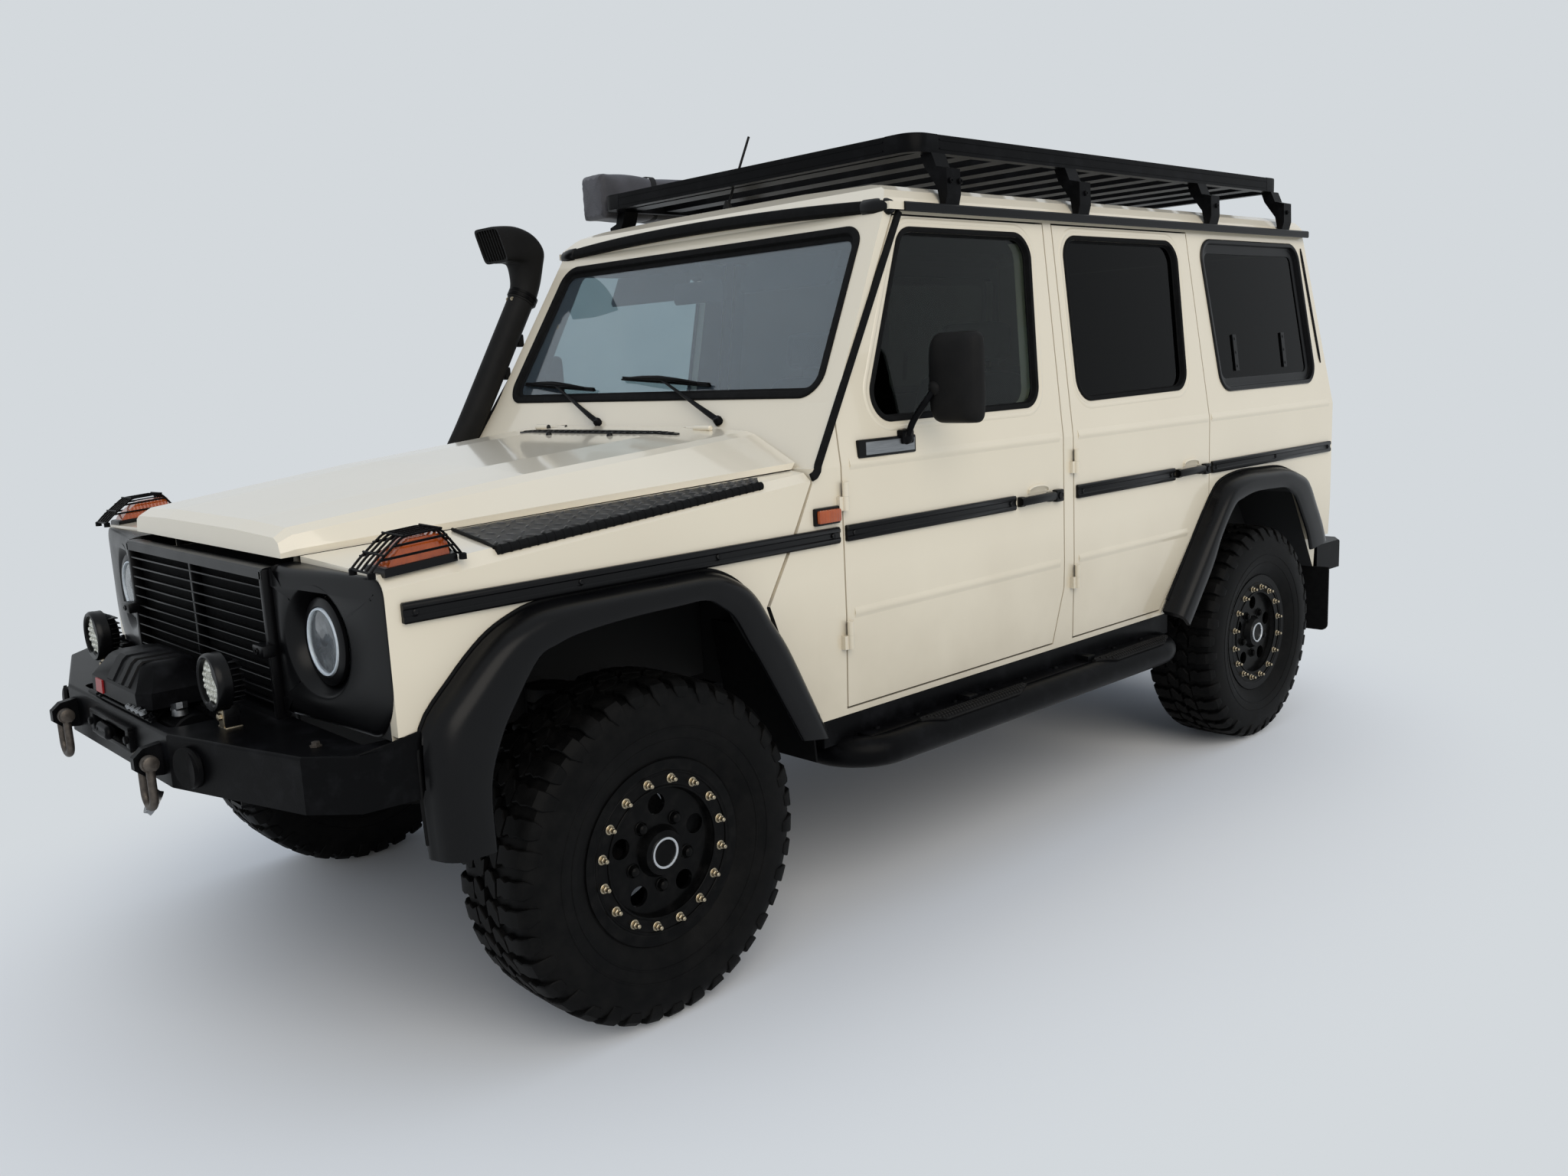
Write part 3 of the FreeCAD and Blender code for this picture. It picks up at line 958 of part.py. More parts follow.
# ---------------------------------------------------------------- roof rack
beam = rounded(box("rack_block", ("-rack_half", "rack_half"), ("rack_front_y", "rack_front_y + rack_length"),
                   ("rack_low_z", "rack_top_z")), "60", along(Z_AXIS))
hole = rounded(box("rack_hole", ("-(rack_half - rack_beam)", "rack_half - rack_beam"),
                   ("rack_front_y + rack_beam", "rack_front_y + rack_length - rack_beam"),
                   ("rack_low_z - 1", "rack_top_z + 1")), "35", along(Z_AXIS))
rack = [cut("rack_beam_ring", beam, hole)]
SLATS = 12
for i in range(SLATS):
    y = "rack_front_y + 90 + %d * (rack_length - 180 - slat_width) / %d" % (i, SLATS - 1)
    slat = box("slat_%d" % i, ("-(rack_half - rack_beam + 5)", "rack_half - rack_beam + 5"),
               (y, y + " + slat_width"), ("rack_low_z + 8", "rack_low_z + 32"))
    groove = box("slat_groove_%d" % i, ("-900", "900"), (y + " + slat_width / 2 - 6", y + " + slat_width / 2 + 6"),
                 ("rack_low_z + 24", "rack_low_z + 33"))
    rack.append(cut("slat_grooved_%d" % i, slat, groove))
leg_section = [("gutter_x + 2", "gutter_z + 20"), ("gutter_x + 20", "gutter_z + 20"),
               ("gutter_x + 28", "gutter_z + 50"), ("gutter_x + 26", "gutter_z + 118"),
               ("gutter_x - 10", "gutter_z + 128"), ("gutter_x - 26", "rack_low_z"), ("gutter_x - 66", "rack_low_z"),
               ("gutter_x - 52", "gutter_z + 130"), ("gutter_x - 8", "gutter_z + 70")]
for i, y in enumerate(("rack_front_y + 75", "rack_front_y + rack_length * 0.333", "rack_front_y + rack_length * 0.71",
                       "rack_front_y + rack_length - 70")):
    leg = prism("rack_leg_%d" % i, "cross", leg_section, y, y + " + 60")
    rack += [leg, mirrored(leg)]
node("roof_rack", join("roof_rack", *rack))
awning = prism("awning", "cross", [
    ("-rack_half - 1", "rack_low_z"), ("-rack_half - 1", "rack_low_z + 104"), ("-rack_half - 22", "rack_low_z + 142"),
    ("-rack_half - 140", "rack_low_z + 148"), ("-rack_half - 148", "rack_low_z + 104"),
    ("-rack_half - 122", "rack_low_z - 21"), ("-rack_half - 62", "rack_low_z - 24"),
    ("-rack_half - 14", "rack_low_z - 8")], "rack_front_y + 10", "rack_front_y + rack_length - 125")
node("awning_bag", rounded(awning, "14", along(Y_AXIS)))
whip = rod("antenna_whip", "z", "-60", "rack_front_y + 10", "gutter_z + 108", "4", "245")
whip.Placement = Placement(Vector(-60, 0, 0), Rotation(X_AXIS, -25.5))
put(whip, "-60", "rack_front_y + 10", "gutter_z + 108")
node("antenna", join("antenna", cone("antenna_base", "z", "-60", "rack_front_y + 10", "gutter_z + 96", "18", "8",
                                     "30"), whip))

# ---------------------------------------------------------------- snorkel
pipe = rounded(prism("snorkel_pipe", "side", [
    ("515", "1277"), ("793", "gutter_z - 117"), ("800", "gutter_z - 5"), ("936", "gutter_z - 5"),
    ("901", "gutter_z - 117"), ("608", "1250")], "-side_x - 44", "-side_x + 41"), "16", lambda edge: (
        abs(edge.CenterOfMass.x + num("side_x + 44")) < 0.1 and 1300 < edge.CenterOfMass.z < num("gutter_z - 20")))
foot = rounded(prism("snorkel_foot", "side", [
    ("330", "1060"), ("330", "1140"), ("515", "1277"), ("608", "1262"), ("590", "1225"), ("520", "1060")],
    "-side_x - 44", "-side_x"), "16", lambda edge: (
        abs(edge.CenterOfMass.x + num("side_x + 44")) < 0.1 and edge.CenterOfMass.z < 1240))
head = rounded(prism("snorkel_head", "side", [
    ("722", "gutter_z - 8"), ("708", "gutter_z + 112"), ("801", "gutter_z + 121"), ("944", "gutter_z + 76"),
    ("936", "gutter_z - 8")], "-side_x - 76", "-side_x + 76"), "12", lambda edge: edge.CenterOfMass.y > 740)
mouth = box("snorkel_mouth", ("-side_x - 64", "-side_x + 64"), ("700", "740"), ("gutter_z + 4", "gutter_z + 100"))
fins = [box("snorkel_fin_%d" % i, ("-side_x - 66 + %d" % (i * 24), "-side_x - 60 + %d" % (i * 24)), ("716", "748"),
            ("gutter_z + 2", "gutter_z + 102")) for i in range(1, 5)]
clear = prism("snorkel_clearance", "side", [
    ("body_front_y", "1150"), ("body_front_y", "high_crease_z - 3"), ("body_front_y + 10", "high_crease_z + 4"),
    ("body_front_y + 112", "high_crease_z + 162"), ("body_front_y + 394", "gutter_z + 5"),
    ("body_front_y + 540", "gutter_z + 5"), ("body_front_y + 540", "1150")], "-side_x - 1", "0")
snorkel = cut("snorkel_cleared", join("snorkel_whole", pipe, foot, cut("snorkel_head_open", head, mouth), *fins),
              clear)
node("snorkel", snorkel)

# ---------------------------------------------------------------- mirrors
arm_y = "front_door_front_y + 249"
shell = rounded(prism("mirror_shell", "plan", [
    ("side_x + 25", "955 + 30"), ("side_x + 60", "955"), ("side_x + 170", "955"), ("side_x + 204", "955 + 30"),
    ("side_x + 204", "1000"), ("side_x + 190", "1012"), ("side_x + 40", "1012"), ("side_x + 25", "1000")],
    "high_crease_z + 87", "high_crease_z + 327"), "16", lambda edge: not along(Z_AXIS)(edge)
    and edge.CenterOfMass.y < 1002)
glass_recess = box("mirror_glass_recess", ("side_x + 37", "side_x + 192"), ("1008", "1020"),
                   ("high_crease_z + 100", "high_crease_z + 314"))
arm_low = doc.addObject("Part::Cylinder", "mirror_arm")
arm_low.Radius, arm_low.Height = 9, 165
arm_low.Placement = Placement(Vector(), Rotation(Z_AXIS, Vector(75, 50, 140)))
put(arm_low, "side_x + 3", arm_y, "high_crease_z + 60")
base = cut("mirror_foot", box("mirror_foot_block", ("side_x - 30", "side_x + 14"), (arm_y + " - 24", arm_y + " + 24"),
                              ("high_crease_z + 38", "high_crease_z + 78")), flank_skin)
mirror_left = join("mirror_left", base, arm_low, cut("mirror_shell_cupped", shell, glass_recess))
node("mirror_left", mirror_left)
node("mirror_right", mirrored(mirror_left))

# ---------------------------------------------------------------- seats and dashboard
seat_side = [("0", "floor_top"), ("0", "floor_top + 300"), ("60", "floor_top + 340"), ("460", "floor_top + 320"),
             ("580", "floor_top + 780"), ("570", "floor_top + 900"), ("610", "floor_top + 960"),
             ("690", "floor_top + 950"), ("690", "floor_top + 820"), ("560", "floor_top + 260"),
             ("530", "floor_top")]
seat = rounded(prism("front_seat", "side", [("1180 + " + y, z) for y, z in seat_side], "130", "620"), "25",
               lambda edge: along(X_AXIS)(edge) and edge.CenterOfMass.z > num("floor_top + 100"))
bench = rounded(prism("rear_bench", "side", [("rear_door_front_y + 377 + " + y, z) for y, z in seat_side],
                      "-560", "560"), "25", lambda edge: along(X_AXIS)(edge) and
                edge.CenterOfMass.z > num("floor_top + 100"))
node("seats", group("seats", seat, mirrored(seat), bench))
dash = rounded(prism("dashboard_block", "side", [
    ("body_front_y + 30", "950"), ("body_front_y + 30", "high_crease_z - 75"), ("body_front_y + 67", "high_crease_z + 4"),
    ("body_front_y + 80", "high_crease_z + 20"), ("body_front_y + 300", "high_crease_z"),
    ("body_front_y + 320", "high_crease_z - 125"), ("body_front_y + 220", "950")], "-(side_x - 71)", "side_x - 71"),
    "20", lambda edge: along(X_AXIS)(edge) and edge.CenterOfMass.y > num("body_front_y + 250"))
wheel = doc.addObject("Part::Torus", "steering_rim")
wheel.Radius1, wheel.Radius2 = 190, 14
rake = Vector(0, 0.85, 0.5)
wheel.Placement = Placement(Vector(370, 1010, 1190), Rotation(Z_AXIS, rake))
column = doc.addObject("Part::Cylinder", "steering_column")
column.Radius, column.Height = 22, 190
column.Placement = Placement(Vector(370, 860, 1105), Rotation(Z_AXIS, rake))
spoke = doc.addObject("Part::Box", "steering_spoke")
spoke.Length, spoke.Width, spoke.Height = 380, 20, 20
spoke.Placement = Placement(Vector(180, 1010, 1190), Rotation(X_AXIS, -30)) * Placement(Vector(0, -10, -10), Rotation())
node("dashboard", join("dashboard", dash, column, wheel, spoke))

# ---------------------------------------------------------------- checks and export
doc.recompute()
for thing in doc.Objects:
    if "Invalid" in thing.State or "Error" in thing.State:
        raise RuntimeError("%s did not build" % thing.Name)
os.makedirs("parts", exist_ok=True)
for piece in nodes:
    if piece.Shape.isNull() or not piece.Shape.isValid() or not piece.Shape.Solids:
        raise RuntimeError("%s has no valid shape" % piece.Label)
    piece.Shape.exportStep("parts/%s.step" % piece.Label)
    print(piece.Label, len(piece.Shape.Solids), round(piece.Shape.Volume / 1e6, 2))
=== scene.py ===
import random
from math import copysign, cos, exp, hypot, pi, radians, sin, sqrt, tan

import bmesh
import bpy
from mathutils import Matrix, Vector, geometry
from mathutils.bvhtree import BVHTree


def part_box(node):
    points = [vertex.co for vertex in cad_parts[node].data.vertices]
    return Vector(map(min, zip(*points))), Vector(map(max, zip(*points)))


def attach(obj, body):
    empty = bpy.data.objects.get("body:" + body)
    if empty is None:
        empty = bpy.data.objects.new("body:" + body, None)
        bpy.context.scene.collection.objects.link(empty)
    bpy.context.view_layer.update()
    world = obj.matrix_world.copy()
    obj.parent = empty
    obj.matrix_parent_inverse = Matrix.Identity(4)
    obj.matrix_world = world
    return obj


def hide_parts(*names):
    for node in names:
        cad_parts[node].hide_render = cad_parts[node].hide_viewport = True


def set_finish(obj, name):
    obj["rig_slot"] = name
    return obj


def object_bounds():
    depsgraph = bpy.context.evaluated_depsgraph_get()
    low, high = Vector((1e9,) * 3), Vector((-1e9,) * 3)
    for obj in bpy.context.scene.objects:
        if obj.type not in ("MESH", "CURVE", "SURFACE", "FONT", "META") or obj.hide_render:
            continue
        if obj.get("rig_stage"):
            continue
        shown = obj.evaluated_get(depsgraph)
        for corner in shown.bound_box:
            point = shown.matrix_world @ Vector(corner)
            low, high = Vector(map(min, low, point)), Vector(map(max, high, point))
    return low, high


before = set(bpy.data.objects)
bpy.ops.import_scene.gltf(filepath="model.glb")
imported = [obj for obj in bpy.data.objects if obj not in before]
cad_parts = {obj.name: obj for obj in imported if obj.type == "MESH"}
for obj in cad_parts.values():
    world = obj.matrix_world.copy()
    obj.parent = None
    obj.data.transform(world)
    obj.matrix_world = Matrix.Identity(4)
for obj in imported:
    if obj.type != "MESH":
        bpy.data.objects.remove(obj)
cad_low, cad_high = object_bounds()
scene = bpy.context.scene
scene.view_settings.view_transform = "Standard"

# ---- studio
# A pale paper sweep under soft, nearly even light from above, a little stronger on the
# near side of the truck. Every place below is read from the CAD: the axle line is the datum.
MM = 0.001
tyre_low, tyre_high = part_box("tyre_front_left")
axle_y = (tyre_low.y + tyre_high.y) / 2
axle_z = (tyre_low.z + tyre_high.z) / 2


def place(x, y, z):
    """A point in millimetres: across from the middle, back from the front axle, up from the ground."""
    return Vector((x * MM, axle_y + y * MM, z * MM))


def mm(x, y, z):
    """A step in millimetres."""
    return Vector((x * MM, y * MM, z * MM))


def linear(code):
    """An sRGB hex colour as the linear colour that a shader takes."""
    parts = [int(code[i:i + 2], 16) / 255 for i in (1, 3, 5)]
    return [c / 12.92 if c < 0.04045 else ((c + 0.055) / 1.055) ** 2.4 for c in parts] + [1.0]


def add(tree, kind, inputs=None, **settings):
    """Adds one node to a tree, with its settings and with values, hex colours or links on its inputs."""
    new = tree.nodes.new("ShaderNode" + kind)
    for key, value in settings.items():
        setattr(new, key, value)
    for key, value in (inputs or {}).items():
        if isinstance(value, bpy.types.Node):
            value = next(outlet for outlet in value.outputs if outlet.enabled)
        if isinstance(value, bpy.types.NodeSocket):
            tree.links.new(value, new.inputs[key])
        else:
            new.inputs[key].default_value = linear(value) if isinstance(value, str) else value
    return new


PAPER = "#D4D9DD"
world = bpy.data.worlds.new("soft_white_dome")
scene.world = world
world.use_nodes = True
sky = world.node_tree
sky.nodes.clear()
up = add(sky, "SeparateXYZ", {0: add(sky, "TexCoord").outputs["Generated"]})
dome = add(sky, "ValToRGB", {0: add(sky, "MapRange", {
    "Value": up.outputs["Z"], "From Min": -1.0, "From Max": 1.0})})
dome.color_ramp.elements[0].color = linear("#7E8184")
dome.color_ramp.elements[0].position = 0.46
dome.color_ramp.elements[1].color = linear("#D9E6FA")
dome.color_ramp.elements[1].position = 0.66
ray = add(sky, "LightPath")
lamp = add(sky, "Background", {"Color": dome, "Strength": 0.9})
paper_sky = add(sky, "Background", {"Color": PAPER, "Strength": 1.0})
seen = ray.outputs["Is Camera Ray"]
for other in ("Is Transmission Ray", "Is Glossy Ray"):
    seen = add(sky, "Math", {0: seen, 1: ray.outputs[other]}, operation="MAXIMUM")
both = add(sky, "MixShader", {0: seen, 1: lamp, 2: paper_sky})
add(sky, "OutputWorld", {"Surface": both})

key = bpy.data.lights.new("soft_key", "SUN")
key.energy = 1.25
key.color = (1.0, 0.93, 0.83)
key.angle = radians(50)
key_light = bpy.data.objects.new("soft_key", key)
key_light.rotation_euler = Vector((1.0, -0.4, 0.75)).to_track_quat("Z", "Y").to_euler()
scene.collection.objects.link(key_light)

floor_mesh = bpy.data.meshes.new("paper_floor")
floor_mesh.from_pydata([(-40, -40, 0), (40, -40, 0), (40, 40, 0), (-40, 40, 0)], [], [(0, 1, 2, 3)])
floor = bpy.data.objects.new("paper_floor", floor_mesh)
scene.collection.objects.link(floor)
floor.location.z = cad_low.z
paper = bpy.data.materials.new("matt_paper")
paper.use_nodes = True
tree = paper.node_tree
tree.nodes.clear()
matt = add(tree, "BsdfDiffuse", {"Color": "#E3E2DF"})
# beyond the truck's shadow the paper fades into the backdrop, so that no edge shows
glow = add(tree, "Emission", {"Color": PAPER, "Strength": 1.0})
truck_mid = (cad_low + cad_high) / 2
reach = add(tree, "Mapping", {
    "Vector": add(tree, "TexCoord").outputs["Object"],
    "Location": (-truck_mid.x, -truck_mid.y / 1.6, 0), "Scale": (1, 1 / 1.6, 0)})
away = add(tree, "VectorMath", {0: reach}, operation="LENGTH")
fade = add(tree, "MapRange", {"Value": away, "From Min": 1.05, "From Max": 2.25},
           interpolation_type="SMOOTHSTEP")
paper_mix = add(tree, "MixShader", {0: fade, 1: matt, 2: glow})
add(tree, "OutputMaterial", {"Surface": paper_mix})
floor_mesh.materials.append(paper)
floor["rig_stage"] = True

# The camera stands at the front corner, at about a standing person's eye level.
yaw, pitch, roll = radians(46.857), radians(-10.028), radians(-2.726)
ahead = Vector((-sin(yaw) * cos(pitch), cos(yaw) * cos(pitch), sin(pitch)))
level = ahead.cross(Vector((0, 0, 1))).normalized()
above = level.cross(ahead)
side_axis = level * cos(roll) + above * sin(roll)
top_axis = above * cos(roll) - level * sin(roll)
lens = bpy.data.cameras.new("camera")
lens.sensor_width = 36
lens.lens = 36 * 1674.9 / 2048        # a 29.4 mm lens
camera = bpy.data.objects.new("camera", lens)
scene.collection.objects.link(camera)
stand = place(3114.4, -1683.6, 1496.2)
camera.matrix_world = Matrix([(side_axis[i], top_axis[i], -ahead[i], stand[i]) for i in range(3)] + [(0, 0, 0, 1)])
scene.camera = camera

# ---- chassis, axles and springs
# A welded steel ladder frame with beam axles on coil springs, dipped in black wax that
# holds road dust; the axle housings and knuckles are sand-cast iron, the engine is one block.


def material(name, colour, roughness, metallic=0.0, **sockets):
    """A new material: itself, its node tree, its shader and its place in the truck's own frame."""
    made = bpy.data.materials.new(name)
    made.use_nodes = True
    surface = made.node_tree.nodes["Principled BSDF"]
    surface.inputs["Base Color"].default_value = linear(colour)
    surface.inputs["Roughness"].default_value = roughness
    surface.inputs["Metallic"].default_value = metallic
    for socket, value in sockets.items():
        surface.inputs[socket.replace("_", " ")].default_value = value
    return made, made.node_tree, surface, add(made.node_tree, "TexCoord").outputs["Object"]


def feed(surface, **sockets):
    """Links what varies over a surface to its shader."""
    for socket, source in sockets.items():
        if isinstance(source, bpy.types.Node):
            source = next(outlet for outlet in source.outputs if outlet.enabled)
        surface.id_data.links.new(source, surface.inputs[socket.replace("_", " ")])


def coat(finish, *nodes):
    """Gives CAD nodes their finish."""
    for name in nodes:
        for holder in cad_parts[name].material_slots:
            holder.material = finish


# dipped wax: uneven sheen, and grey-brown dust caught in patches about 60 mm across
wax, tree, surface, where = material("black_underbody_wax", "#161617", 0.55, Specular_IOR_Level=0.1)
dust = add(tree, "TexNoise", {"Vector": where, "Scale": 1 / 0.06, "Detail": 5.0})
film = add(tree, "MapRange", {"Value": dust, "From Min": 0.45, "From Max": 0.85})
tint = add(tree, "Mix", {0: film, 6: "#111112", 7: "#2C2B29"}, data_type="RGBA")
sheen = add(tree, "MapRange", {"Value": dust, "To Min": 0.4, "To Max": 0.75})
runs = add(tree, "Bump", {"Height": dust, "Strength": 0.3, "Distance": 1.5 * MM})
feed(surface, Base_Color=tint, Roughness=sheen, Normal=runs)
coat(wax, "chassis_frame", "suspension")

# sand-cast iron: the mould's grit, 2 mm in life and drawn at 5 mm, under thin black paint
cast, tree, surface, where = material("sand_cast_iron", "#1C1B1B", 0.6)
grit = add(tree, "TexVoronoi", {"Vector": where, "Scale": 1 / 0.005})
rust = add(tree, "TexNoise", {"Vector": where, "Scale": 1 / 0.04, "Detail": 4.0})
film = add(tree, "MapRange", {"Value": rust, "From Min": 0.5, "From Max": 0.8})
tint = add(tree, "Mix", {0: film, 6: "#161616", 7: "#3A2D25"}, data_type="RGBA")
pits = add(tree, "Bump", {"Height": grit, "Strength": 0.4, "Distance": 1 * MM})
feed(surface, Base_Color=tint, Normal=pits)
coat(cast, "engine_block", "front_axle", "rear_axle", "knuckle_left", "knuckle_right")

# ---- wheels
# Mud-terrain tyres of about 32 inches with deep shoulder lugs, on black enamelled steel
# wheels whose clamp ring is held by sixteen plated bolts; five nuts and a bare cap inside.


def loft(form, rings, closed=False):
    """Joins rings of as many points each into a skin: round into itself, or capped at both ends."""
    rows = [[form.verts.new(point) for point in ring] for ring in rings]
    count = len(rows[0])
    for one, two in zip(rows, rows[1:] + rows[:1] if closed else rows[1:]):
        for i in range(count):
            j = (i + 1) % count
            form.faces.new((one[i], one[j], two[j], two[i]))
    if not closed:
        form.faces.new(rows[0][::-1])
        form.faces.new(rows[-1])


def around(count, shift=0.0):
    """The angles of so many even steps round a circle."""
    return [2 * pi * (i + shift) / count for i in range(count)]


def turn(form, profile, centre, way, steps=48):
    """Turns a profile of (along, radius) pairs in millimetres about an axis."""
    way = Vector(way).normalized()
    one = way.orthogonal().normalized()
    two = way.cross(one)
    rings = []
    for along, radius in profile:
        hub = Vector(centre) + way * (along * MM)
        rings.append([hub + (one * cos(a) + two * sin(a)) * max(radius * MM, 0.0001) for a in around(steps)])
    loft(form, rings)


def piece(name, form, body, finish, slot, crease=35):
    """Makes a mesh into a named piece that rides on a body; edges sharper than crease stay crisp."""
    bmesh.ops.recalc_face_normals(form, faces=form.faces)
    mesh = bpy.data.meshes.new(name)
    form.to_mesh(mesh)
    form.free()
    mesh.shade_smooth()
    mesh.set_sharp_from_angle(angle=radians(crease))
    mesh.materials.append(finish)
    made = bpy.data.objects.new(name, mesh)
    scene.collection.objects.link(made)
    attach(made, body)
    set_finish(made, slot)
    return made


# vulcanised rubber: nearly black, a little grey where dust stays, dull with a soft sheen
rubber, tree, surface, where = material("vulcanised_tyre_rubber", "#101010", 0.4, Specular_IOR_Level=0.09)
dust = add(tree, "TexNoise", {"Vector": where, "Scale": 1 / 0.05, "Detail": 6.0, "Roughness": 0.6})
film = add(tree, "MapRange", {"Value": dust, "From Min": 0.4, "From Max": 0.8})
tint = add(tree, "Mix", {0: film, 6: "#040404", 7: "#121110"}, data_type="RGBA")
sheen = add(tree, "MapRange", {"Value": dust, "To Min": 0.42, "To Max": 0.72})
fine = add(tree, "TexNoise", {"Vector": where, "Scale": 1 / 0.004, "Detail": 3.0})
skin = add(tree, "Bump", {"Height": fine, "Strength": 0.25, "Distance": 0.6 * MM})
feed(surface, Base_Color=tint, Roughness=sheen, Normal=skin)

# half of the carcass, from the middle of the tread round to the bead: across and radius
CARCASS = [(0, 391), (60, 390.5), (98, 388), (115, 381), (125, 368), (130, 350), (133, 328), (134, 306), (132, 284),
           (127, 262), (120, 246), (113, 234), (108, 224), (104, 219)]
carcass = [Vector((x * MM, r * MM)) for x, r in CARCASS]
gone = [0.0]          # how far each point lies from the middle, round the section
for one, two in zip(carcass, carcass[1:]):
    gone.append(gone[-1] + (two - one).length)


def on_carcass(far, proud, turned, side):
    """A point on the tyre: how far from its middle round the section, how proud, where round, which half."""
    far = far * MM
    i = max(k for k in range(len(gone) - 1) if gone[k] <= far + 1e-9)
    run = carcass[i + 1] - carcass[i]
    spot = carcass[i] + run * ((far - gone[i]) / run.length)
    out = Vector((-run.y, run.x)).normalized() if i else Vector((0, 1))
    spot = spot + out * (proud * MM)
    return Vector((side * spot.x, spot.y * cos(turned), spot.y * sin(turned)))


form = bmesh.new()
steps = 76
whole = CARCASS[::-1] + [(-x, r) for x, r in CARCASS[1:]] + [(-104, 205), (104, 205)]
loft(form, [[mm(x, r * cos(a), r * sin(a)) for a in around(steps)] for x, r in whole], closed=True)

LUGS = 38            # round the tyre, about 67 mm apart
PITCH = 2 * pi / LUGS
SOFT_EDGE = 2.2 * MM / 0.4      # each block's edges are drawn in by about 2 mm, as an angle
# each block is a run of stations: how far round the section, its two edges as shares of the pitch, how proud
SHOULDER_LONG = [(47, 0.16, 0.80, 12.5), (62, 0.10, 0.72, 13), (78, 0.20, 0.80, 13), (94, 0.12, 0.74, 13),
                 (108, 0.12, 0.74, 13), (119, 0.10, 0.76, 9), (128, 0.10, 0.76, 6.5), (146, 0.14, 0.62, 4),
                 (152, 0.16, 0.58, 1)]
SHOULDER_SHORT = [(50, 0.22, 0.86, 12.5), (64, 0.14, 0.76, 13), (78, 0.24, 0.84, 13), (94, 0.14, 0.76, 13),
                  (106, 0.14, 0.76, 13), (117, 0.12, 0.78, 9), (124, 0.14, 0.76, 6), (134, 0.20, 0.70, 3),
                  (139, 0.24, 0.66, 1)]
CENTRE = [(3, 0.18, 0.72, 12.5), (14, 0.05, 0.62, 13), (26, 0.10, 0.84, 13), (36, 0.30, 0.98, 13),
          (43, 0.40, 0.92, 12.5)]
for side in (1, -1):
    for lug in range(LUGS):
        start = (lug + (0.5 if side < 0 else 0)) * PITCH
        for stations in (SHOULDER_LONG if lug % 2 else SHOULDER_SHORT, CENTRE):
            rings = []
            for far, low, high, proud in stations:
                a, b, step = start + low * PITCH * side, start + high * PITCH * side, SOFT_EDGE * side
                rings.append([on_carcass(far, height, turned, side) for height, turned in (
                    (-3, a), (proud - 2.5, a), (proud, a + step), (proud, b - step), (proud - 2.5, b), (-3, b))])
            loft(form, rings)
# two thin moulded rings on each side wall
for side in (1, -1):
    for far in (206, 236):
        loft(form, [[on_carcass(far + d, h, turned, side) for d, h in ((-3, -1), (-1.5, 1.2), (1.5, 1.2), (3, -1))]
                    for turned in around(steps)], closed=True)
CORNERS = (("front_left", 1), ("front_right", -1), ("rear_left", 1), ("rear_right", -1))
tyre = piece("mud_tyre_front_left", form, "wheel_front_left", rubber, "tyre", crease=28)


def at_each_wheel(first, label, node_name):
    """Sets one mesh at all four wheels; the right-hand ones face the other way."""
    for corner, side in CORNERS:
        made = first if corner == "front_left" else bpy.data.objects.new(label + corner, first.data)
        if made is not first:
            scene.collection.objects.link(made)
            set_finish(made, first["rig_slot"])
        low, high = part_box("tyre_" + corner)
        made.parent = None
        made.location = (low + high) / 2
        made.rotation_euler.z = 0 if side > 0 else pi
        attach(made, "wheel_" + corner)
        if node_name:
            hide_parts(node_name + corner)


at_each_wheel(tyre, "mud_tyre_", "tyre_")

# gloss black stove enamel over pressed steel, with a thin film of brake dust
enamel, tree, surface, where = material("black_stove_enamel", "#070708", 0.22, Specular_IOR_Level=0.05,
                                        Coat_Weight=0.05, Coat_Roughness=0.08)
dust = add(tree, "TexNoise", {"Vector": where, "Scale": 1 / 0.03, "Detail": 5.0})
film = add(tree, "MapRange", {"Value": dust, "From Min": 0.45, "From Max": 0.85})
tint = add(tree, "Mix", {0: film, 6: "#060606", 7: "#141312"}, data_type="RGBA")
sheen = add(tree, "MapRange", {"Value": dust, "To Min": 0.22, "To Max": 0.5})
feed(surface, Base_Color=tint, Roughness=sheen)
coat(enamel, "rim_front_left", "rim_front_right", "rim_rear_left", "rim_rear_right")

trees = {}


def touch(node_name, start, way):
    """Where a straight line first meets a CAD node."""
    if node_name not in trees:
        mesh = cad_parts[node_name].data
        trees[node_name] = BVHTree.FromPolygons([v.co.copy() for v in mesh.vertices],
                                                [tuple(p.vertices) for p in mesh.polygons])
    return trees[node_name].ray_cast(Vector(start), Vector(way))[0]


hub = (tyre_low + tyre_high) / 2
BOLT_CIRCLE, NUT_CIRCLE = 172, 82      # radii


def on_rim(out):
    """The rim's outer face as seen from the hub, at a step in millimetres away from the axle."""
    return touch("rim_front_left", hub + out * MM + Vector((0.5, 0, 0)), (-1, 0, 0)) - hub


form = bmesh.new()
for turned in around(16, 0.5):
    seat = on_rim(Vector((0, cos(turned), sin(turned))) * BOLT_CIRCLE)
    turn(form, [(-2, 0), (-2, 11.5), (1, 11.5), (2, 10), (2, 0)], seat, (1, 0, 0), 20)
    turn(form, [(0, 0), (0, 8.6), (9, 8.6), (10.5, 7), (10.5, 0)], seat, (1, 0, 0), 6)
    turn(form, [(6, 0), (6, 5), (19, 5), (20.5, 3.6), (20.5, 0)], seat, (1, 0, 0), 12)
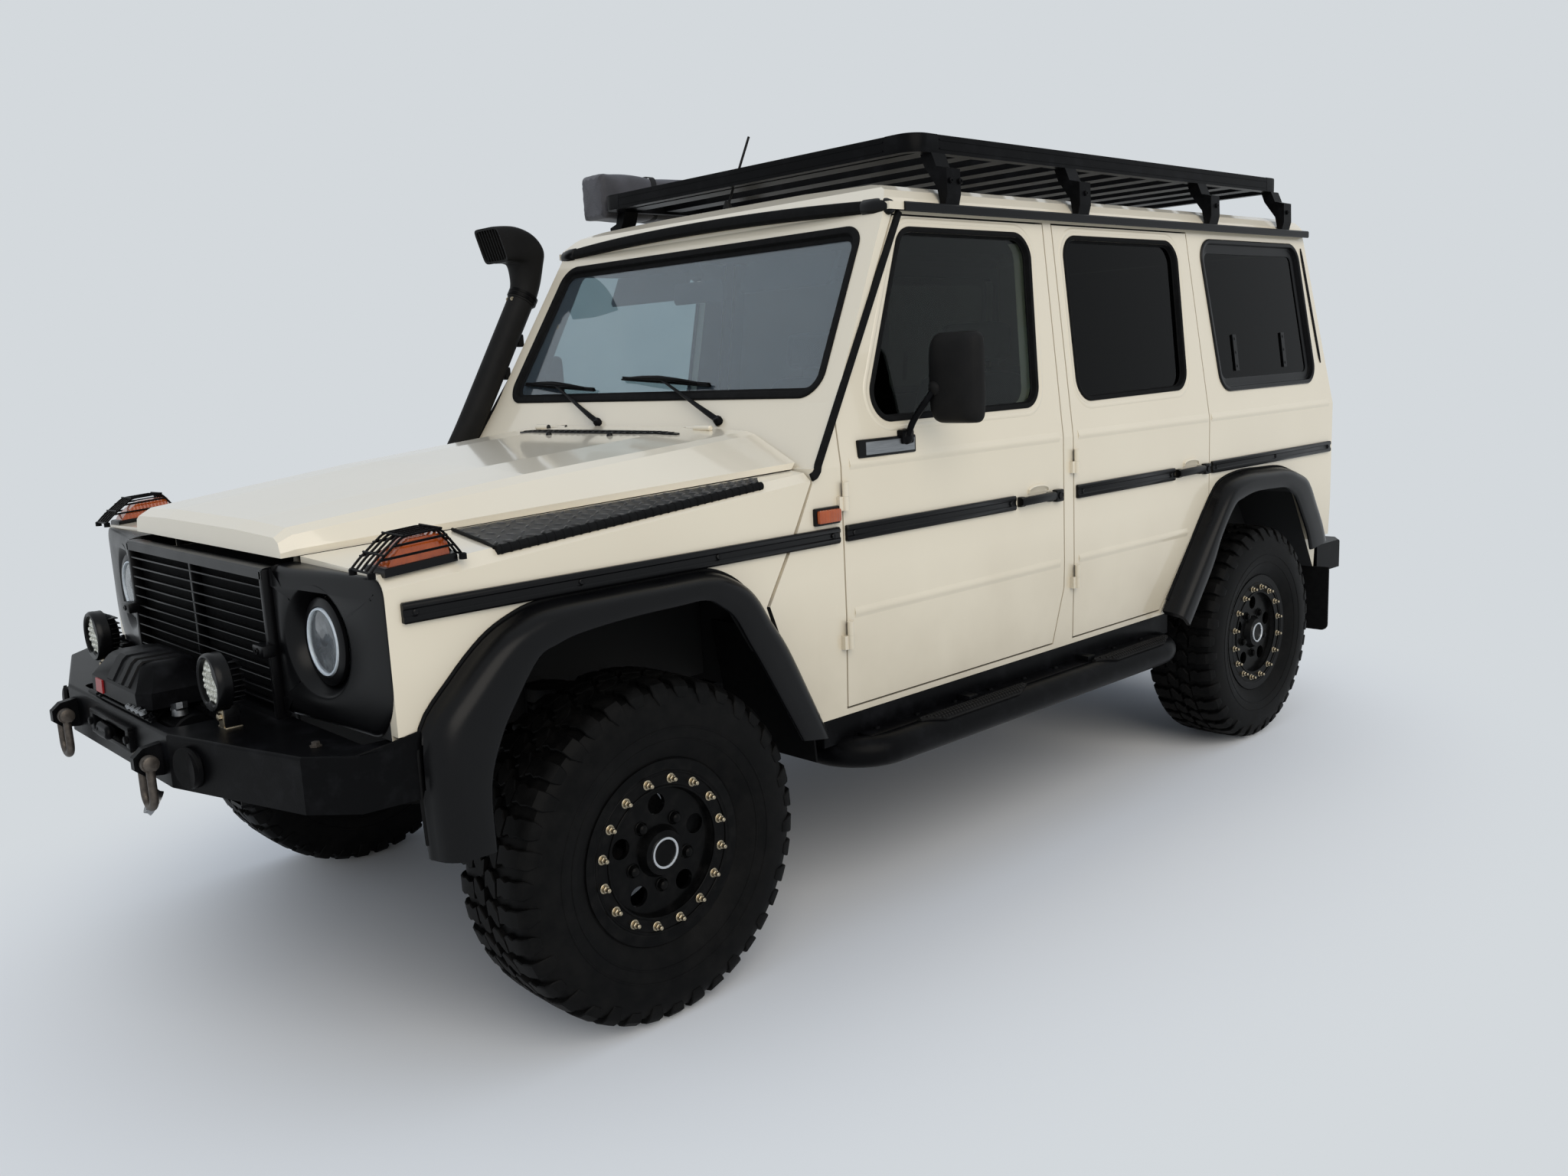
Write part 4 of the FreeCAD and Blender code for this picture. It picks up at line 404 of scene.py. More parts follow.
# zinc plate passivated yellow: dull brass colour, streaked where it has weathered
zinc, tree, surface, where = material("yellow_passivated_zinc", "#A08A64", 0.4, 1.0)
wear = add(tree, "TexNoise", {"Vector": where, "Scale": 1 / 0.006, "Detail": 3.0})
tint = add(tree, "Mix", {0: wear, 6: "#84765E", 7: "#C8BEA8"}, data_type="RGBA")
feed(surface, Base_Color=tint)
bolts = piece("clamp_bolts_front_left", form, "wheel_front_left", zinc, "rim_black", crease=30)
at_each_wheel(bolts, "clamp_bolts_", None)

# five domed wheel nuts in their dishes, and the clamp ring's rolled edge
form = bmesh.new()
for turned in around(5, 0.5):
    seat = on_rim(Vector((0, cos(pi / 2 + turned), sin(pi / 2 + turned))) * NUT_CIRCLE)
    turn(form, [(-1, 0), (-1, 17), (2, 17), (3, 15.5), (0.5, 13)] +
         [(0.5, 12), (12, 11), (15, 8), (16.5, 3), (16.5, 0)], seat, (1, 0, 0), 24)
ring_seat = Vector((on_rim(Vector((0, 0, BOLT_CIRCLE))).x, 0, 0))
for radius in (188, 154):
    profile = [(-2, radius - 3), (2, radius - 3), (3, radius - 2), (3, radius + 2), (2, radius + 3), (-2, radius + 3)]
    loft(form, [[ring_seat + mm(x, r * cos(a), r * sin(a)) for x, r in profile] for a in around(72)], closed=True)
nuts = piece("wheel_nuts_front_left", form, "wheel_front_left", enamel, "rim_black", crease=30)
at_each_wheel(nuts, "wheel_nuts_", None)

# the bare hub cap's turned bright ring
cap_seat = Vector((on_rim(Vector()).x, 0, 0))
form = bmesh.new()
profile = [(-3, 30), (2.5, 30), (5, 31.5), (6, 34), (5, 36.5), (2, 38), (-3, 38)]
loft(form, [[cap_seat + mm(x, r * cos(a), r * sin(a)) for x, r in profile] for a in around(64)], closed=True)
# nickel-chrome plate on steel: mirror bright, faintly clouded
chrome, tree, surface, where = material("nickel_chrome_plate", "#C9CBCD", 0.12, 1.0)
cloud = add(tree, "TexNoise", {"Vector": where, "Scale": 1 / 0.01, "Detail": 4.0})
sheen = add(tree, "MapRange", {"Value": cloud, "To Min": 0.06, "To Max": 0.22})
feed(surface, Roughness=sheen)
caps = piece("cap_rings_front_left", form, "wheel_front_left", chrome, "rim_black")
at_each_wheel(caps, "cap_rings_", None)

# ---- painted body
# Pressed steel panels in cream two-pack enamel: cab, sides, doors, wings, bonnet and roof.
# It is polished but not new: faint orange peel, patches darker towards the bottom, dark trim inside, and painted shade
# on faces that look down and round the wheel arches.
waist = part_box("wings")[1].x / MM      # half the width between the two creases
cream, tree, surface, where = material("cream_two_pack_enamel", "#DDD3BE", 0.32, Coat_Weight=0.7, Coat_Roughness=0.06)
patch = add(tree, "TexNoise", {"Vector": where, "Scale": 1 / 0.35, "Detail": 4.0})
spot = add(tree, "SeparateXYZ", {0: where})
# darker in patches towards the bottom: from 0.95 m down to 0.5 m the colour runs towards #9C8E73
darker_low_down = add(tree, "MapRange", {"Value": spot.outputs["Z"], "From Min": 0.95, "From Max": 0.5})
film = add(tree, "Math", {0: darker_low_down, 1: patch}, operation="MULTIPLY")
tone = add(tree, "Mix", {0: patch, 6: "#E4D9C1", 7: "#DDD1B9"}, data_type="RGBA")
tint = add(tree, "Mix", {0: film, 6: tone, 7: "#9C8E73"}, data_type="RGBA")
# faces that look towards the middle of the truck are dark trim, and so are the wheel houses, which lie low and
# inboard; faces that look down carry painted shade
face = add(tree, "SeparateXYZ", {0: add(tree, "TexCoord").outputs["Normal"]})
across = add(tree, "Math", {0: spot.outputs["X"]}, operation="SIGN")
outward = add(tree, "Math", {0: across, 1: face.outputs["X"]}, operation="MULTIPLY")
inner = add(tree, "Math", {0: outward, 1: -0.35}, operation="LESS_THAN")
painted_shade_below = add(tree, "Math", {0: face.outputs["Z"], 1: -0.75}, operation="LESS_THAN")
depth = add(tree, "Math", {0: spot.outputs["X"]}, operation="ABSOLUTE")
inboard = add(tree, "Math", {0: depth, 1: (waist - 28) * MM}, operation="LESS_THAN")
low_down = add(tree, "Math", {0: spot.outputs["Z"], 1: 1.06}, operation="LESS_THAN")
ahead_of_tail = add(tree, "Math", {0: spot.outputs["Y"], 1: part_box("body_sides")[1].y - 0.06}, operation="LESS_THAN")
# painted shade also lies on the faces round the wheel arches
nearest = []
for y in (axle_y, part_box("tyre_rear_left")[0].y + (tyre_high.y - tyre_low.y) / 2 + 0.06):
    off = add(tree, "Math", {0: spot.outputs["Y"], 1: y}, operation="SUBTRACT")
    nearest.append(add(tree, "Math", {0: off}, operation="ABSOLUTE"))
nearest = add(tree, "Math", {0: nearest[0], 1: nearest[1]}, operation="MINIMUM")
height = add(tree, "Math", {0: spot.outputs["Z"], 1: axle_z}, operation="SUBTRACT")
reach = add(tree, "VectorMath", {0: add(tree, "CombineXYZ", {0: nearest, 1: height})}, operation="LENGTH")
arch_edge_shade = add(tree, "Math", {0: reach, 1: 0.66}, operation="LESS_THAN")
edge_on = add(tree, "Math", {0: outward, 1: 0.5}, operation="LESS_THAN")
level_or_down = add(tree, "Math", {0: face.outputs["Z"], 1: 0.3}, operation="LESS_THAN")
for other in (edge_on, level_or_down):
    arch_edge_shade = add(tree, "Math", {0: arch_edge_shade, 1: other}, operation="MULTIPLY")
for other in (low_down, ahead_of_tail):
    inboard = add(tree, "Math", {0: inboard, 1: other}, operation="MULTIPLY")
dark_trim_and_shade = inner
for other in (painted_shade_below, inboard, arch_edge_shade):
    dark_trim_and_shade = add(tree, "Math", {0: dark_trim_and_shade, 1: other}, operation="MAXIMUM")
# dark trim and painted shade: near-black, rough and without lacquer
tint = add(tree, "Mix", {0: dark_trim_and_shade, 6: tint, 7: "#121212"}, data_type="RGBA")
gloss = add(tree, "Mix", {0: dark_trim_and_shade, 2: 0.3, 3: 0.75}, data_type="FLOAT")
lacquer = add(tree, "Mix", {0: dark_trim_and_shade, 2: 0.7, 3: 0.0}, data_type="FLOAT")
# orange peel is under a millimetre from crest to crest; drawn at 4 mm so that it shows
peel = add(tree, "TexNoise", {"Vector": where, "Scale": 1 / 0.004, "Detail": 1.0})
skin = add(tree, "Bump", {"Height": peel, "Strength": 0.06, "Distance": 0.2 * MM})
feed(surface, Base_Color=tint, Roughness=gloss, Coat_Weight=lacquer, Normal=skin, Coat_Normal=skin)
DOORS = ("front_door_left", "front_door_right", "rear_door_left", "rear_door_right")
coat(cream, "cab_shell", "body_sides", "wings", "bonnet", "roof", "tail_door", *DOORS)

# ---- black plastic, powder coat and glass on CAD parts
# Flares and grille are moulded ABS, bumpers and steps powder-coated steel, snorkel and
# mirrors grained polyethylene; windows are toughened glass, the side ones smoked.
abs_black, tree, surface, where = material("moulded_black_abs", "#0A0A0B", 0.28, Specular_IOR_Level=0.18)
cloud = add(tree, "TexNoise", {"Vector": where, "Scale": 1 / 0.12, "Detail": 5.0})
sheen = add(tree, "MapRange", {"Value": cloud, "To Min": 0.2, "To Max": 0.4})
tint = add(tree, "Mix", {0: cloud, 6: "#050506", 7: "#0C0C0D"}, data_type="RGBA")
grain = add(tree, "TexNoise", {"Vector": where, "Scale": 1 / 0.003, "Detail": 2.0})
skin = add(tree, "Bump", {"Height": grain, "Strength": 0.12, "Distance": 0.3 * MM})
feed(surface, Roughness=sheen, Base_Color=tint, Normal=skin)
coat(abs_black, "front_flares", "rear_flares", "headlamp_surrounds", "grille")

# polyester powder coat: fine pebble, 1 mm in life and drawn at 3 mm, scuffed grey in places
powder, tree, surface, where = material("black_powder_coat", "#101012", 0.36, Specular_IOR_Level=0.06)
pebble = add(tree, "TexNoise", {"Vector": where, "Scale": 1 / 0.003, "Detail": 2.0})
scuff = add(tree, "TexNoise", {"Vector": where, "Scale": 1 / 0.08, "Detail": 6.0, "Roughness": 0.65})
film = add(tree, "MapRange", {"Value": scuff, "From Min": 0.5, "From Max": 0.85})
tint = add(tree, "Mix", {0: film, 6: "#070708", 7: "#19191B"}, data_type="RGBA")
skin = add(tree, "Bump", {"Height": pebble, "Strength": 0.25, "Distance": 0.5 * MM})
feed(surface, Base_Color=tint, Normal=skin)
coat(powder, "front_bumper", "rear_bumper", "side_steps", "roof_rack")

# rotomoulded polyethylene: greyed by the sun, with a leather-like grain of about 3 mm
poly, tree, surface, where = material("grained_black_polyethylene", "#222120", 0.5, Specular_IOR_Level=0.06)
grain = add(tree, "TexVoronoi", {"Vector": where, "Scale": 1 / 0.003})
fade = add(tree, "TexNoise", {"Vector": where, "Scale": 1 / 0.1, "Detail": 4.0})
tint = add(tree, "Mix", {0: fade, 6: "#141414", 7: "#242322"}, data_type="RGBA")
skin = add(tree, "Bump", {"Height": grain, "Strength": 0.3, "Distance": 0.5 * MM})
feed(surface, Base_Color=tint, Normal=skin)
coat(poly, "snorkel", "mirror_left", "mirror_right", "antenna", "winch", "driving_lamps")

# moulded rubber for mudflaps, pads, seals and wiper blades: flat black with grey bloom
soft_rubber, tree, surface, where = material("moulded_black_rubber", "#141414", 0.7, Specular_IOR_Level=0.06)
bloom = add(tree, "TexNoise", {"Vector": where, "Scale": 1 / 0.02, "Detail": 5.0})
tint = add(tree, "Mix", {0: bloom, 6: "#0B0B0B", 7: "#1A1A1A"}, data_type="RGBA")
skin = add(tree, "Bump", {"Height": bloom, "Strength": 0.15, "Distance": 0.5 * MM})
feed(surface, Base_Color=tint, Normal=skin)
coat(soft_rubber, "mudflaps")

# Glass with a faint mottled haze: the laminated screen is clear with a grey cast and passes 94%, the rest a pale
# painted reflection of bright sky;
# the front doors are tinted green, and the panes behind are smoked, so that the cabin only just shows.
GLASS = (
    ("laminated_glass", "#D3E1E8", 0.94, 1.7, 0.15, 5.0, "#B4CBDA", "#C9DBE6", ("windscreen",)),
    ("smoked_toughened_glass", "#151613", 1.0, 1.16, 0.2, 4.0, "#121310", "#1B1C18",
     ("quarter_windows", "tail_window", "rear_door_glass_left", "rear_door_glass_right")),
    ("green_toughened_glass", "#A3AEAA", 1.0, 1.25, 0.2, 4.0, "#9CA8A3", "#ABB6B1",
     ("front_door_glass_left", "front_door_glass_right")))
for name, colour, passed, ior, cloud, detail, dark, light, panes in GLASS:
    # where less than all light passes, the pale base colour shows: on the screen it is a painted reflection of bright
    # sky
    glass, tree, surface, where = material(name, colour, 0.02, Transmission_Weight=passed, IOR=ior)
    haze = add(tree, "TexNoise", {"Vector": where, "Scale": 1 / cloud, "Detail": detail})
    tint = add(tree, "Mix", {0: haze, 6: dark, 7: light}, data_type="RGBA")
    sheen = add(tree, "MapRange", {"Value": haze, "To Min": 0.0, "To Max": 0.01})
    feed(surface, Base_Color=tint, Roughness=sheen)
    coat(glass, *panes)

# galvanised forged steel: the shackles, dark with rust in the hollows
forged, tree, surface, where = material("weathered_galvanised_steel", "#4A4541", 0.5, 0.8)
rust = add(tree, "TexNoise", {"Vector": where, "Scale": 1 / 0.012, "Detail": 5.0})
tint = add(tree, "Mix", {0: rust, 6: "#2B2725", 7: "#6E665E"}, data_type="RGBA")
skin = add(tree, "Bump", {"Height": rust, "Strength": 0.3, "Distance": 0.6 * MM})
feed(surface, Base_Color=tint, Normal=skin)
coat(forged, "tow_shackles")

# the dashboard: slush-moulded vinyl skin, dark grey, with a 2 mm grain
vinyl, tree, surface, where = material("slush_moulded_vinyl", "#1D1E20", 0.6)
grain = add(tree, "TexVoronoi", {"Vector": where, "Scale": 1 / 0.002})
fade = add(tree, "TexNoise", {"Vector": where, "Scale": 1 / 0.2, "Detail": 3.0})
tint = add(tree, "Mix", {0: fade, 6: "#17181A", 7: "#26282B"}, data_type="RGBA")
skin = add(tree, "Bump", {"Height": grain, "Strength": 0.2, "Distance": 0.3 * MM})
feed(surface, Base_Color=tint, Normal=skin)
coat(vinyl, "dashboard")

# lamp bowls behind the lenses: vacuum-metallised and grey, with painted reflections, dark and light from facet to
# facet
bowl, tree, surface, where = material("vacuum_metallised_bowl", "#5A5E62", 0.18, 0.9)
facet_reflections = add(tree, "TexVoronoi", {"Vector": where, "Scale": 1 / 0.02})
tint = add(tree, "Mix", {0: facet_reflections, 6: "#1A1C1E", 7: "#5A5F64"}, data_type="RGBA")
feed(surface, Base_Color=tint)
coat(bowl, "headlamps")

# ---- window seals
# Extruded rubber sections pressed round each opening; the rear side windows sit in wide
# black hatch frames. Each follows the edge of its own pane.


def rim_of(node_name, look, side=0):
    """The edge of a pane, as a closed row of points: the outline that is seen along a direction."""
    look = Vector(look).normalized()
    flat = Vector((0, 1, 0)) if abs(look.y) < 0.9 else Vector((1, 0, 0))
    flat = (flat - look * flat.dot(look)).normalized()
    tall = look.cross(flat)
    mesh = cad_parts[node_name].data
    outer = {i for face in mesh.polygons if face.normal.dot(look) > 0.96 for i in face.vertices}
    points = [mesh.vertices[i].co.copy() for i in sorted(outer) if mesh.vertices[i].co.x * side >= 0]
    hull = geometry.convex_hull_2d([(p.dot(flat), p.dot(tall)) for p in points])
    kept = []
    for i in hull:
        if not kept or (points[i] - kept[-1]).length > 3 * MM:
            kept.append(points[i])
    return kept


def set_round(path, outward):
    """The same loop, run so that across is away from its middle."""
    middle = sum(path, Vector()) / len(path)
    return path[::-1] if (path[1] - path[0]).cross(outward).dot(path[0] - middle) < 0 else path


def mitres(path, outward):
    """For each point of a closed loop, the way across it, lengthened where the loop turns a corner."""
    ways = []
    for i, point in enumerate(path):
        one, two = (point - path[i - 1]).normalized(), (path[(i + 1) % len(path)] - point).normalized()
        ways.append((one + two).cross(outward).normalized() / max(0.6, cos(one.angle(two) / 2)))
    return ways


def sweep(form, path, section, outward, closed=True):
    """Runs a section of (across, out) pairs along a path; out is along outward."""
    outward = Vector(outward).normalized()
    rings = []
    count = len(path)
    if closed:
        path = set_round(path, outward)
    for i, point in enumerate(path):
        before = path[i - 1] if closed or i else point
        after = path[(i + 1) % count] if closed or i < count - 1 else point
        one, two = (point - before), (after - point)
        if one.length < 1e-9:
            one = two
        if two.length < 1e-9:
            two = one
        along = (one.normalized() + two.normalized()).normalized()
        across = along.cross(outward).normalized()
        out = across.cross(along).normalized()
        widen = 1 / max(0.5, cos(one.angle(two) / 2))
        rings.append([point + across * (a * MM * widen) + out * (b * MM) for a, b in section])
    loft(form, rings, closed)


def gasket(form, path, skin_node, outward, inner, outer, proud=5):
    """A rubber section from a pane, up the edge of its opening and over onto the skin around it."""
    outward = Vector(outward).normalized()
    path = set_round(path, outward)
    level, rings = 14 * MM, []
    for point, across in zip(path, mitres(path, outward)):
        hit = touch(skin_node, point + across * 10 * MM + outward * 0.12, -outward)
        if hit and abs((hit - point).dot(outward)) < 60 * MM:
            level = (hit - point).dot(outward)
        h = level / MM
        rings.append([point + across * (a * MM) + outward * (b * MM) for a, b in (
            (-inner, -2), (-inner, 2.5), (-inner + 4, 4), (-4, 5), (-1, h + proud - 2), (3, h + proud),
            (outer - 4, h + proud), (outer, h + proud - 3), (outer, h - 3))])
    loft(form, rings, closed=True)


def bead(form, rim, skin_node, outward, off, wide=9, tall=2.4):
    """A low bead on the skin round an opening, so far outside its rim."""
    outward = Vector(outward).normalized()
    rim = set_round(rim, outward)
    spots = [point + across * (off * MM) for point, across in zip(rim, mitres(rim, outward))]
    path = []
    for a, b in zip(spots, spots[1:] + spots[:1]):
        parts = max(1, int((b - a).length / 0.04))
        for k in range(parts):
            spot = a.lerp(b, k / parts)
            hit = touch(skin_node, spot + outward * 0.12, -outward)
            if hit and abs((hit - spot).dot(outward)) < 60 * MM:
                path.append(hit)
    rings = []
    for i, point in enumerate(path):
        along = (path[(i + 1) % len(path)] - path[i - 1]).normalized()
        across = along.cross(outward).normalized()
        rings.append([point + across * (a * MM) + outward * (b * MM) for a, b in (
            (-wide, -1.2), (-wide * 0.6, tall * 0.45), (0, tall), (wide * 0.6, tall * 0.45), (wide, -1.2))])
    loft(form, rings, closed=True)


HANDS = (("left", 1), ("right", -1))
for row in ("front", "rear"):
    for hand, side in HANDS:
        form = bmesh.new()
        look = Vector((side, 0, 0.133))
        rim = rim_of("%s_door_glass_%s" % (row, hand), look)
        gasket(form, rim, "%s_door_%s" % (row, hand), look, 7, 13)
        piece("%s_door_glass_seal_%s" % (row, hand), form, "%s_%s_door" % (row, hand), soft_rubber, "rubber")
        # the skin is pressed out in a low round bead a hand's breadth outside the opening
        form = bmesh.new()
        bead(form, rim, "%s_door_%s" % (row, hand), look, 30)
        piece("%s_door_pressing_%s" % (row, hand), form, "%s_%s_door" % (row, hand), cream, "body_paint", crease=70)
for hand, side in HANDS:
    look = Vector((side, 0, 0.133))
    path = rim_of("quarter_windows", look, side)
    form = bmesh.new()
    gasket(form, path, "body_sides", look, 34, 14, 7)
    piece("quarter_window_frame_" + hand, form, "body", abs_black, "black_plastic")
    # the pane tips out on two straps, each held by three domed screws
    middle = sum(path, Vector()) / len(path)
    form = bmesh.new()
    for step in (-0.20, 0.18):
        strap = []
        for z in (-66, -196):
            hit = touch("quarter_windows", middle + Vector((side * 0.4, step, z * MM)), (-side, 0, 0))
            strap.append(hit or middle + Vector((0, step, z * MM)))
        for i in range(3):
            spot = strap[0].lerp(strap[1], 0.12 + 0.38 * i)
            turn(form, [(0, 0), (0, 7), (6, 7), (8, 4), (8.5, 0)], spot, look, 14)
        rings = [[end + mm(side * x, y, 0) for x, y in ((-1, -13), (6, -13), (6, 13), (-1, 13))] for end in strap]
        loft(form, rings)
    piece("quarter_window_straps_" + hand, form, "body", abs_black, "black_plastic")
form = bmesh.new()
screen_low, screen_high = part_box("windscreen")
screen_out = Vector((0, -(screen_high.z - screen_low.z), screen_high.y - screen_low.y)).normalized()
gasket(form, rim_of("windscreen", screen_out), "cab_shell", screen_out, 16, 20, 6)
piece("windscreen_seal", form, "body", soft_rubber, "rubber")
form = bmesh.new()
gasket(form, rim_of("tail_window", (0, 1, 0)), "tail_door", (0, 1, 0), 12, 14)
piece("tail_window_seal", form, "tail", soft_rubber, "rubber")

# ---- belt strips, handles and side marks
# Black extruded strips screwed along the waist, a recessed pull handle on each door with its
# lock, an orange side marker on each wing and a bare black plate on each front door.


def ruled_bar(form, profile, start, end, taper=3):
    """A bar along y: the profile holds (out, up) in millimetres; its two ends are softened."""
    side = 1 if start.x > 0 else -1
    mid_u = sum(p[1] for p in profile) / len(profile)
    run = end - start
    step = run.normalized() * taper * MM
    rings = []
    for at, small in ((start, 0.86), (start + step, 1), (end - step, 1), (end, 0.86)):
        rings.append([at + Vector((side * o * MM * (small if o > 0 else 1), 0, (mid_u + (u - mid_u) * small) * MM))
                      for o, u in profile])
    loft(form, rings)


def block(form, low, high, soft=2):
    """A box with its edges rounded off, between two corners."""
    size = [abs(b - a) for a, b in zip(low, high)]
    centre = (Vector(low) + Vector(high)) / 2
    made = bmesh.ops.create_cube(form, size=1.0)["verts"]
    for v in made:
        v.co = Vector((v.co.x * size[0], v.co.y * size[1], v.co.z * size[2])) + centre
    edges = list(dict.fromkeys(e for v in made for e in v.link_edges))
    bmesh.ops.bevel(form, geom=edges, offset=min(soft * MM, min(size) * 0.45), segments=2, profile=0.6,
                    affect="EDGES")


STRIP = [(-4, -21), (9, -21), (12, -17), (12, -9), (9, -6), (9, 6), (12, 9), (12, 17), (9, 21), (-4, 21)]
belt_z = 1053
strips = (("wing", "body", -564, 645), ("front_door", "front_%s_door", 671, 1392),
          ("rear_door", "rear_%s_door", 1712, 2296), ("quarter", "body", 2553, 3512))
for label, body, start, end in strips:
    for hand, side in HANDS:
        form = bmesh.new()
        ruled_bar(form, STRIP, place(side * waist, start, belt_z), place(side * waist, end, belt_z))
        count = max(2, round((end - start) / 330))
        for i in range(count):
            y = start + 26 + (end - start - 52) * i / (count - 1)
            turn(form, [(6, 0), (6, 6.5), (11, 6.5), (12.5, 4.5), (11.5, 2), (11.5, 0)],
                 place(side * waist, y, belt_z), (side, 0, 0), 16)
        piece("%s_belt_strip_%s" % (label, hand), form, body % hand if "%" in body else body, abs_black,
              "black_plastic")

for door, body, start in (("front_door", "front_%s_door", 1404), ("rear_door", "rear_%s_door", 2306)):
    for hand, side in HANDS:
        form = bmesh.new()
        # the pull: a slim bar on two feet, and the lock boss behind it
        ruled_bar(form, [(10, -13), (22, -11), (26, -4), (26, 7), (21, 13), (10, 13)],
                  place(side * waist, start + 4, belt_z), place(side * waist, start + 176, belt_z + 2), 8)
        for y in (start + 14, start + 160):
            block(form, place(side * (waist - 3), y - 10, belt_z - 15),
                  place(side * (waist + 14), y + 14, belt_z + 15), 4)
        block(form, place(side * (waist - 3), start + 182, belt_z - 19),
              place(side * (waist + 18), start + 220, belt_z + 19), 5)
        turn(form, [(0, 0), (0, 12), (4, 12), (5, 10), (3, 8), (3, 0)],
             place(side * (waist + 17), start + 201, belt_z), (side, 0, 0), 24)
        piece("%s_handle_%s" % (door, hand), form, body % hand, abs_black, "black_plastic")
        # the pressed finger scoop above the pull
        form = bmesh.new()
        rings = []
        for u in range(13):
            a = pi * u / 12
            y = start + 105 - 48 * cos(a)
            tall = 4 + 20 * sin(a) ** 0.6
            rings.append([place(side * (waist + o), y, belt_z + 18 + h * tall)
                          for o, h in ((-2, 0), (1.5, 0), (2.5, 0.5), (8, 0.84), (7, 0.98), (-2, 1.1))])
        loft(form, rings)
        piece("%s_scoop_%s" % (door, hand), form, body % hand, cream, "body_paint")

# orange polycarbonate: clear amber with fine ribs, bright where light passes through
amber, tree, surface, where = material("amber_polycarbonate", "#C2500F", 0.15, Transmission_Weight=0.25,
                                       Coat_Weight=0.5)
ribs = add(tree, "TexWave", {"Vector": where, "Scale": 1 / 0.03}, bands_direction="Y")
cloud = add(tree, "TexNoise", {"Vector": where, "Scale": 1 / 0.03, "Detail": 3.0})
tint = add(tree, "Mix", {0: cloud, 6: "#8E3208", 7: "#D8641A"}, data_type="RGBA")
skin = add(tree, "Bump", {"Height": ribs.outputs[1], "Strength": 0.5, "Distance": 0.8 * MM})
feed(surface, Base_Color=tint, Normal=skin)
for hand, side in HANDS:
    form = bmesh.new()
    block(form, place(side * (waist - 3), 557, 1083), place(side * (waist + 10), 649, 1129), 7)
    piece("side_marker_base_" + hand, form, "body", abs_black, "black_plastic")
    form = bmesh.new()
    block(form, place(side * (waist + 6), 563, 1089), place(side * (waist + 20), 643, 1123), 8)
    piece("side_marker_lens_" + hand, form, "body", amber, "lamp_glass")

# brushed aluminium insert of the bare door plate: grain along its length
brushed, tree, surface, where = material("brushed_aluminium", "#8D8F91", 0.4, 1.0)
drawn = add(tree, "Mapping", {"Vector": where, "Scale": (1 / 0.002, 1 / 0.06, 1 / 0.002)})
lines = add(tree, "TexNoise", {"Vector": drawn, "Scale": 1.0, "Detail": 3.0})
tint = add(tree, "Mix", {0: lines, 6: "#6F7173", 7: "#A5A7A9"}, data_type="RGBA")
feed(surface, Base_Color=tint)
for hand, side in HANDS:
    x = touch("front_door_" + hand, place(side * 1500, 842, 1262), (-side, 0, 0)).x / MM
    form = bmesh.new()
    block(form, place(x - side * 6, 731, 1239), place(x + side * 8, 957, 1287), 5)
    piece("door_plate_" + hand, form, "front_%s_door" % hand, abs_black, "black_plastic")
    form = bmesh.new()
    block(form, place(x + side * 4, 757, 1246), place(x + side * 10, 949, 1280), 2)
    piece("door_plate_insert_" + hand, form, "front_%s_door" % hand, brushed, "black_plastic")

# two pressed creases, 4 mm high, run along the doors and the rear quarters
UPPER = 1225
for hand, side in HANDS:
    for label, node_name, body, start, end, heights in (
            ("front_door", "front_door_" + hand, "front_%s_door" % hand, 664, 1659, (UPPER, 840)),
            ("rear_door", "rear_door_" + hand, "rear_%s_door" % hand, 1699, 2533, (UPPER, 840)),
            ("rear_quarter", "body_sides", "body", 2556, 3505, (UPPER,))):
        form = bmesh.new()
        for z in heights:
            section = ((-20, -1.5), (-6, 0.9), (0, 4.0), (7, 1.6), (22, -3.5 if z == UPPER else -1.5), (0, -4))
            path = []
            for k in range(31):
                y = start + (end - start) * k / 30
                hit = touch(node_name, place(side * 1500, y, z), (-side, 0, 0))
                if hit and abs(abs(hit.x) / MM - waist) < 25 and (z == UPPER or y < 2400):
                    path.append(hit)
            loft(form, [[point + mm(side * o, 0, u) for u, o in section] for point in path])
        piece("%s_creases_%s" % (label, hand), form, body, cream, "body_paint", crease=75)

# ---- wing tops: tread plates and lamps
# Black anodised chequer plate screwed along each wing, its outer edge rolled over a rubber
# tube; ahead of it a pressed lamp housing with an amber lens under a wire guard.


def tube(form, path, radius, steps=10, closed=False):
    """Round bar or wire along a path; its radius, or one for each point, is in millimetres."""
    radii = [r * MM for r in (radius if isinstance(radius, list) else [radius] * len(path))]
    last = None
    rings = []
    for i, point in enumerate(path):
        before = path[i - 1] if closed or i else point
        after = path[(i + 1) % len(path)] if closed or i < len(path) - 1 else point
        along = (after - before).normalized()
        last = last or along.orthogonal()
        last = (last - along * last.dot(along)).normalized()
        other = along.cross(last)
        rings.append([point + (last * cos(a) + other * sin(a)) * radii[i] for a in around(steps)])
    loft(form, rings, closed)


def bend(points, radius, steps=5):
    """A path of straight runs with its corners rounded off to a radius in millimetres."""
    path = [points[0]]
    for before, at, after in zip(points, points[1:], points[2:]):
        one, two = (before - at), (after - at)
        cut = min(radius * MM, one.length * 0.45, two.length * 0.45)
        start, end = at + one.normalized() * cut, at + two.normalized() * cut
        for i in range(steps + 1):
            t = i / steps
            path.append(start * (1 - t) ** 2 + at * (2 * t * (1 - t)) + end * t ** 2)
    return path + [points[-1]]


def top_of(node_name, x, y):
    """The CAD surface under a point, from above."""
    hit = touch(node_name, place(x, y, 2600), (0, 0, -1))
    return hit.z / MM if hit else None


